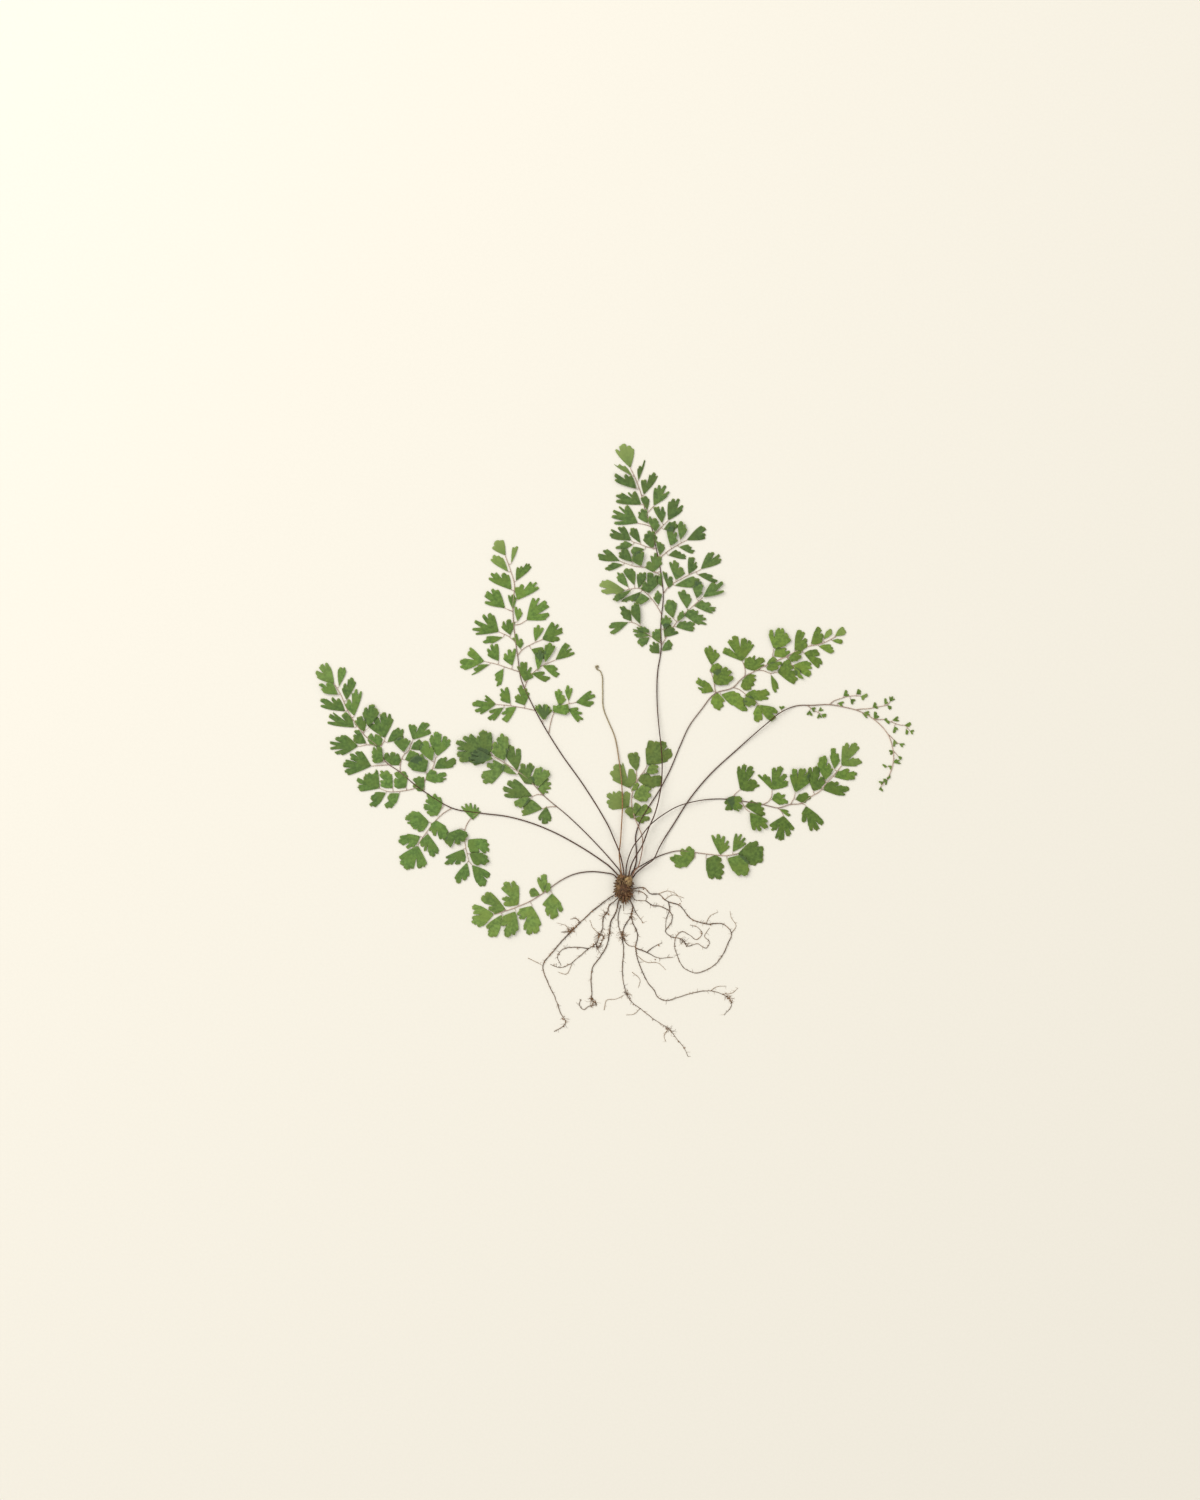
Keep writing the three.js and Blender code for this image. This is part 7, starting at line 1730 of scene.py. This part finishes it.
RHIZOME_LUMPS = [
    # x, y, z, half width, half length, half height, buff share
    [-0.2, -0.9, 2.2, 3.1, 4.8, 2.5, 0.05], [-1.2, 2.9, 2.2, 2.2, 2.2, 2.2, 0.25],
    [1.9, 2.9, 2.9, 2.2, 2.5, 2.5, 1.0], [0.4, -5.2, 1.6, 1.9, 2.4, 1.5, 0.0],
    [-2, -1.4, 1.8, 1.9, 2.4, 1.8, 0.1],
]


def make_rhizome(rng):
    surface = Surface()
    for x, y, z, width, length, height, buff in RHIZOME_LUMPS:
        add_lump(surface, (x, y, z), (width, length, height), buff)
    for _ in range(260):
        lump = RHIZOME_LUMPS[rng.integers(len(RHIZOME_LUMPS))]
        if lump[6] > 0.5 and rng.random() < 0.75:
            continue
        add_scale(surface, lump, rng)
    for _ in range(34):
        add_stub(surface, rng)
    for _ in range(90):
        angle = rng.uniform(math.radians(150), math.radians(400))
        start = (math.cos(angle) * 2.4, -2 + math.sin(angle) * 3.6, rng.uniform(0.4, 2.5))
        add_fibre(surface, start, angle + rng.normal(0, 0.4), rng)
    surface.build("rhizome_scaly", rhizome_material(), ["rhizome"])


# Each swelling of a lump: its height as a share of the lump's size, and how fine it is
LUMP_SWELLS = [(0.24, 0.7), (0.18, 1.8), (0.08, 5)]


def add_lump(surface, centre, sizes, buff):
    """A rough rounded lump, flat where it meets the surface."""
    rings, sides = 22, 36
    places, faces = [], []
    for ring in range(rings + 1):
        polar = math.pi * ring / rings
        for side in range(sides):
            turn = math.tau * side / sides
            flat = math.sin(polar)
            way = Vector((flat * math.cos(turn), flat * math.sin(turn), math.cos(polar)))
            at = Vector([c + w * s for c, w, s in zip(centre, way, sizes)])
            swell = 1 + sum(share * noise.noise(at * fineness) for share, fineness in LUMP_SWELLS)
            point = [c + w * s * swell for c, w, s in zip(centre, way, sizes)]
            point[2] = max(point[2], 0.0)
            places.append(point)
    for ring in range(rings):
        for side in range(sides):
            after = (side + 1) % sides
            row, below = ring * sides, (ring + 1) * sides
            faces.append([row + side, below + side, below + after, row + after])
    buffs = [buff * (0.6 + 0.6 * noise.noise(Vector(p) * 1.2)) for p in places]
    surface.add(places, faces, buff=np.clip(buffs, 0, 1))


def add_scale(surface, lump, rng):
    """A papery scale that lies against the rhizome and points outwards."""
    centre, sizes = np.array(lump[:3]), np.array(lump[3:6])
    turn, rise = rng.uniform(0, math.tau), rng.uniform(-0.1, 1.35)
    way = np.array((math.cos(turn) * math.cos(rise), math.sin(turn) * math.cos(rise), math.sin(rise)))
    base = centre + way * sizes * 0.94
    out = way * (0.35, 0.35, 0.12) + np.array((way[0], way[1] - 0.35, 0)) * 0.9 + rng.normal(0, 0.22, 3)
    out[2] = min(out[2], 0.5)
    out /= np.linalg.norm(out)
    across = np.cross(out, way)
    across /= max(np.linalg.norm(across), 1e-6)
    length, width = rng.uniform(1.0, 2.6), rng.uniform(0.22, 0.5)
    thick = way * 0.05
    middle, places = [], []
    for share in (0, 0.25, 0.5, 0.75, 1):
        half = width * math.sin(math.pi * (0.2 + 0.8 * share)) + 0.01
        spot = base + out * length * share + way * 0.16 * math.sin(math.pi * share)
        spot[2] = max(spot[2], 0.1)
        middle.append((spot, half))
    for side in (1, -1):
        for spot, half in middle:
            places.extend([spot + across * half + thick * side, spot - across * half + thick * side])
    faces = []
    for index in range(4):
        a, b = index * 2, 10 + index * 2
        faces.append([a, a + 1, a + 3, a + 2])
        faces.append([b + 2, b + 3, b + 1, b])
        faces.append([a + 2, b + 2, b, a])
        faces.append([a + 1, b + 1, b + 3, a + 3])
    faces.append([1, 0, 10, 11])
    faces.append([8, 9, 19, 18])
    surface.add(places, faces, buff=rng.uniform(0, 0.35))


def add_stub(surface, rng):
    """The broken foot of an old stipe."""
    turn = rng.uniform(math.radians(20), math.radians(340))
    start = np.array((math.cos(turn) * 2.6, -1 + math.sin(turn) * 4, rng.uniform(0.8, 3.6)))
    way = np.array((math.cos(turn), math.sin(turn) - 0.3, rng.uniform(-0.1, 0.35)))
    way /= np.linalg.norm(way)
    end = start + way * rng.uniform(1.4, 3.4)
    end[2] = max(end[2], 0.4)
    radius = rng.uniform(0.2, 0.42)
    line = np.array([start, (start + end) / 2 + rng.normal(0, 0.12, 3), end])
    points, radii = smooth_path(line, np.full(3, radius), 0.4)
    add_tube(surface, points, rough_radii(points, radii, 0.3), 7, buff=rng.uniform(0, 0.15))


def add_fibre(surface, start, angle, rng):
    place, points = np.array(start, float), []
    for _ in range(6):
        points.append(place.copy())
        angle += rng.normal(0, 0.25)
        place = place + np.array((math.cos(angle), math.sin(angle), 0)) * rng.uniform(0.35, 0.75)
        place[2] = max(0.15, place[2] - rng.uniform(0.1, 0.6))
    add_tube(surface, np.array(points), np.linspace(0.1, 0.04, len(points)), 4, buff=rng.uniform(0, 0.4))


# The set


def make_camera():
    camera = bpy.data.objects.new("camera", bpy.data.cameras.new("camera"))
    camera.data.lens = LENS
    camera.data.sensor_width = SENSOR
    camera.location = (VIEW_CENTRE[0] * MM, VIEW_CENTRE[1] * MM, VIEW_HEIGHT * MM * LENS / SENSOR)
    bpy.context.scene.collection.objects.link(camera)
    bpy.context.scene.camera = camera


def make_floor():
    size = 3.0
    mesh = bpy.data.meshes.new("floor")
    corners = [(-size, -size, 0), (size, -size, 0), (size, size, 0), (-size, size, 0)]
    mesh.from_pydata(corners, [], [(0, 1, 2, 3)])
    floor = bpy.data.objects.new("floor", mesh)
    floor.location.z = -0.02 * MM
    bpy.context.scene.collection.objects.link(floor)
    material, tree = new_material("floor")
    darker, lighter = color(0.86, 0.825, 0.735), color(0.875, 0.84, 0.75)
    base = mix(tree, between(tree, speckle(tree, 1.2), 0.2, 0.8), darker, lighter)
    finish_material(tree, base, 0.9, speckle(tree, 0.8), 0.02, 0.1)
    mesh.materials.append(material)


def make_light(name, place, aim, size, watts, tone):
    lamp = bpy.data.lights.new(name, "AREA")
    lamp.shape = "DISK"
    lamp.size = size
    lamp.energy = watts
    lamp.color = tone
    light = bpy.data.objects.new(name, lamp)
    light.location = place
    light.rotation_euler = (Vector(aim) - Vector(place)).to_track_quat("-Z", "Y").to_euler()
    bpy.context.scene.collection.objects.link(light)


def make_lights():
    make_light("key", (-1.4, 1.25, 1.6), (-0.05, 0.1, 0), 2.2, 40, (1.0, 0.99, 0.965))
    make_light("fill", (1.5, -1.0, 2.2), (0, 0.05, 0), 1.8, 6, (1.0, 0.97, 0.93))
    world = bpy.data.worlds.new("world")
    world.use_nodes = True
    background = world.node_tree.nodes["Background"]
    background.inputs["Color"].default_value = (1.0, 0.985, 0.96, 1.0)
    background.inputs["Strength"].default_value = 0.66
    bpy.context.scene.world = world
    bpy.context.scene.view_settings.view_transform = "Standard"


make_camera()
make_floor()
make_lights()
plans = [plan_frond(frond) for frond in FRONDS]
lay_leaflets([leaflet for plan in plans for leaflet in plan["leaflets"]])
laid = []
for plan in plans:
    for leaflet in plan["leaflets"]:
        edge = leaflet.outline()
        laid.append((leaflet, edge.min(0), edge.max(0), edge))
for plan in plans:
    make_frond(plan, laid)
make_crozier()
make_roots(np.random.default_rng(7))
make_rhizome(np.random.default_rng(11))
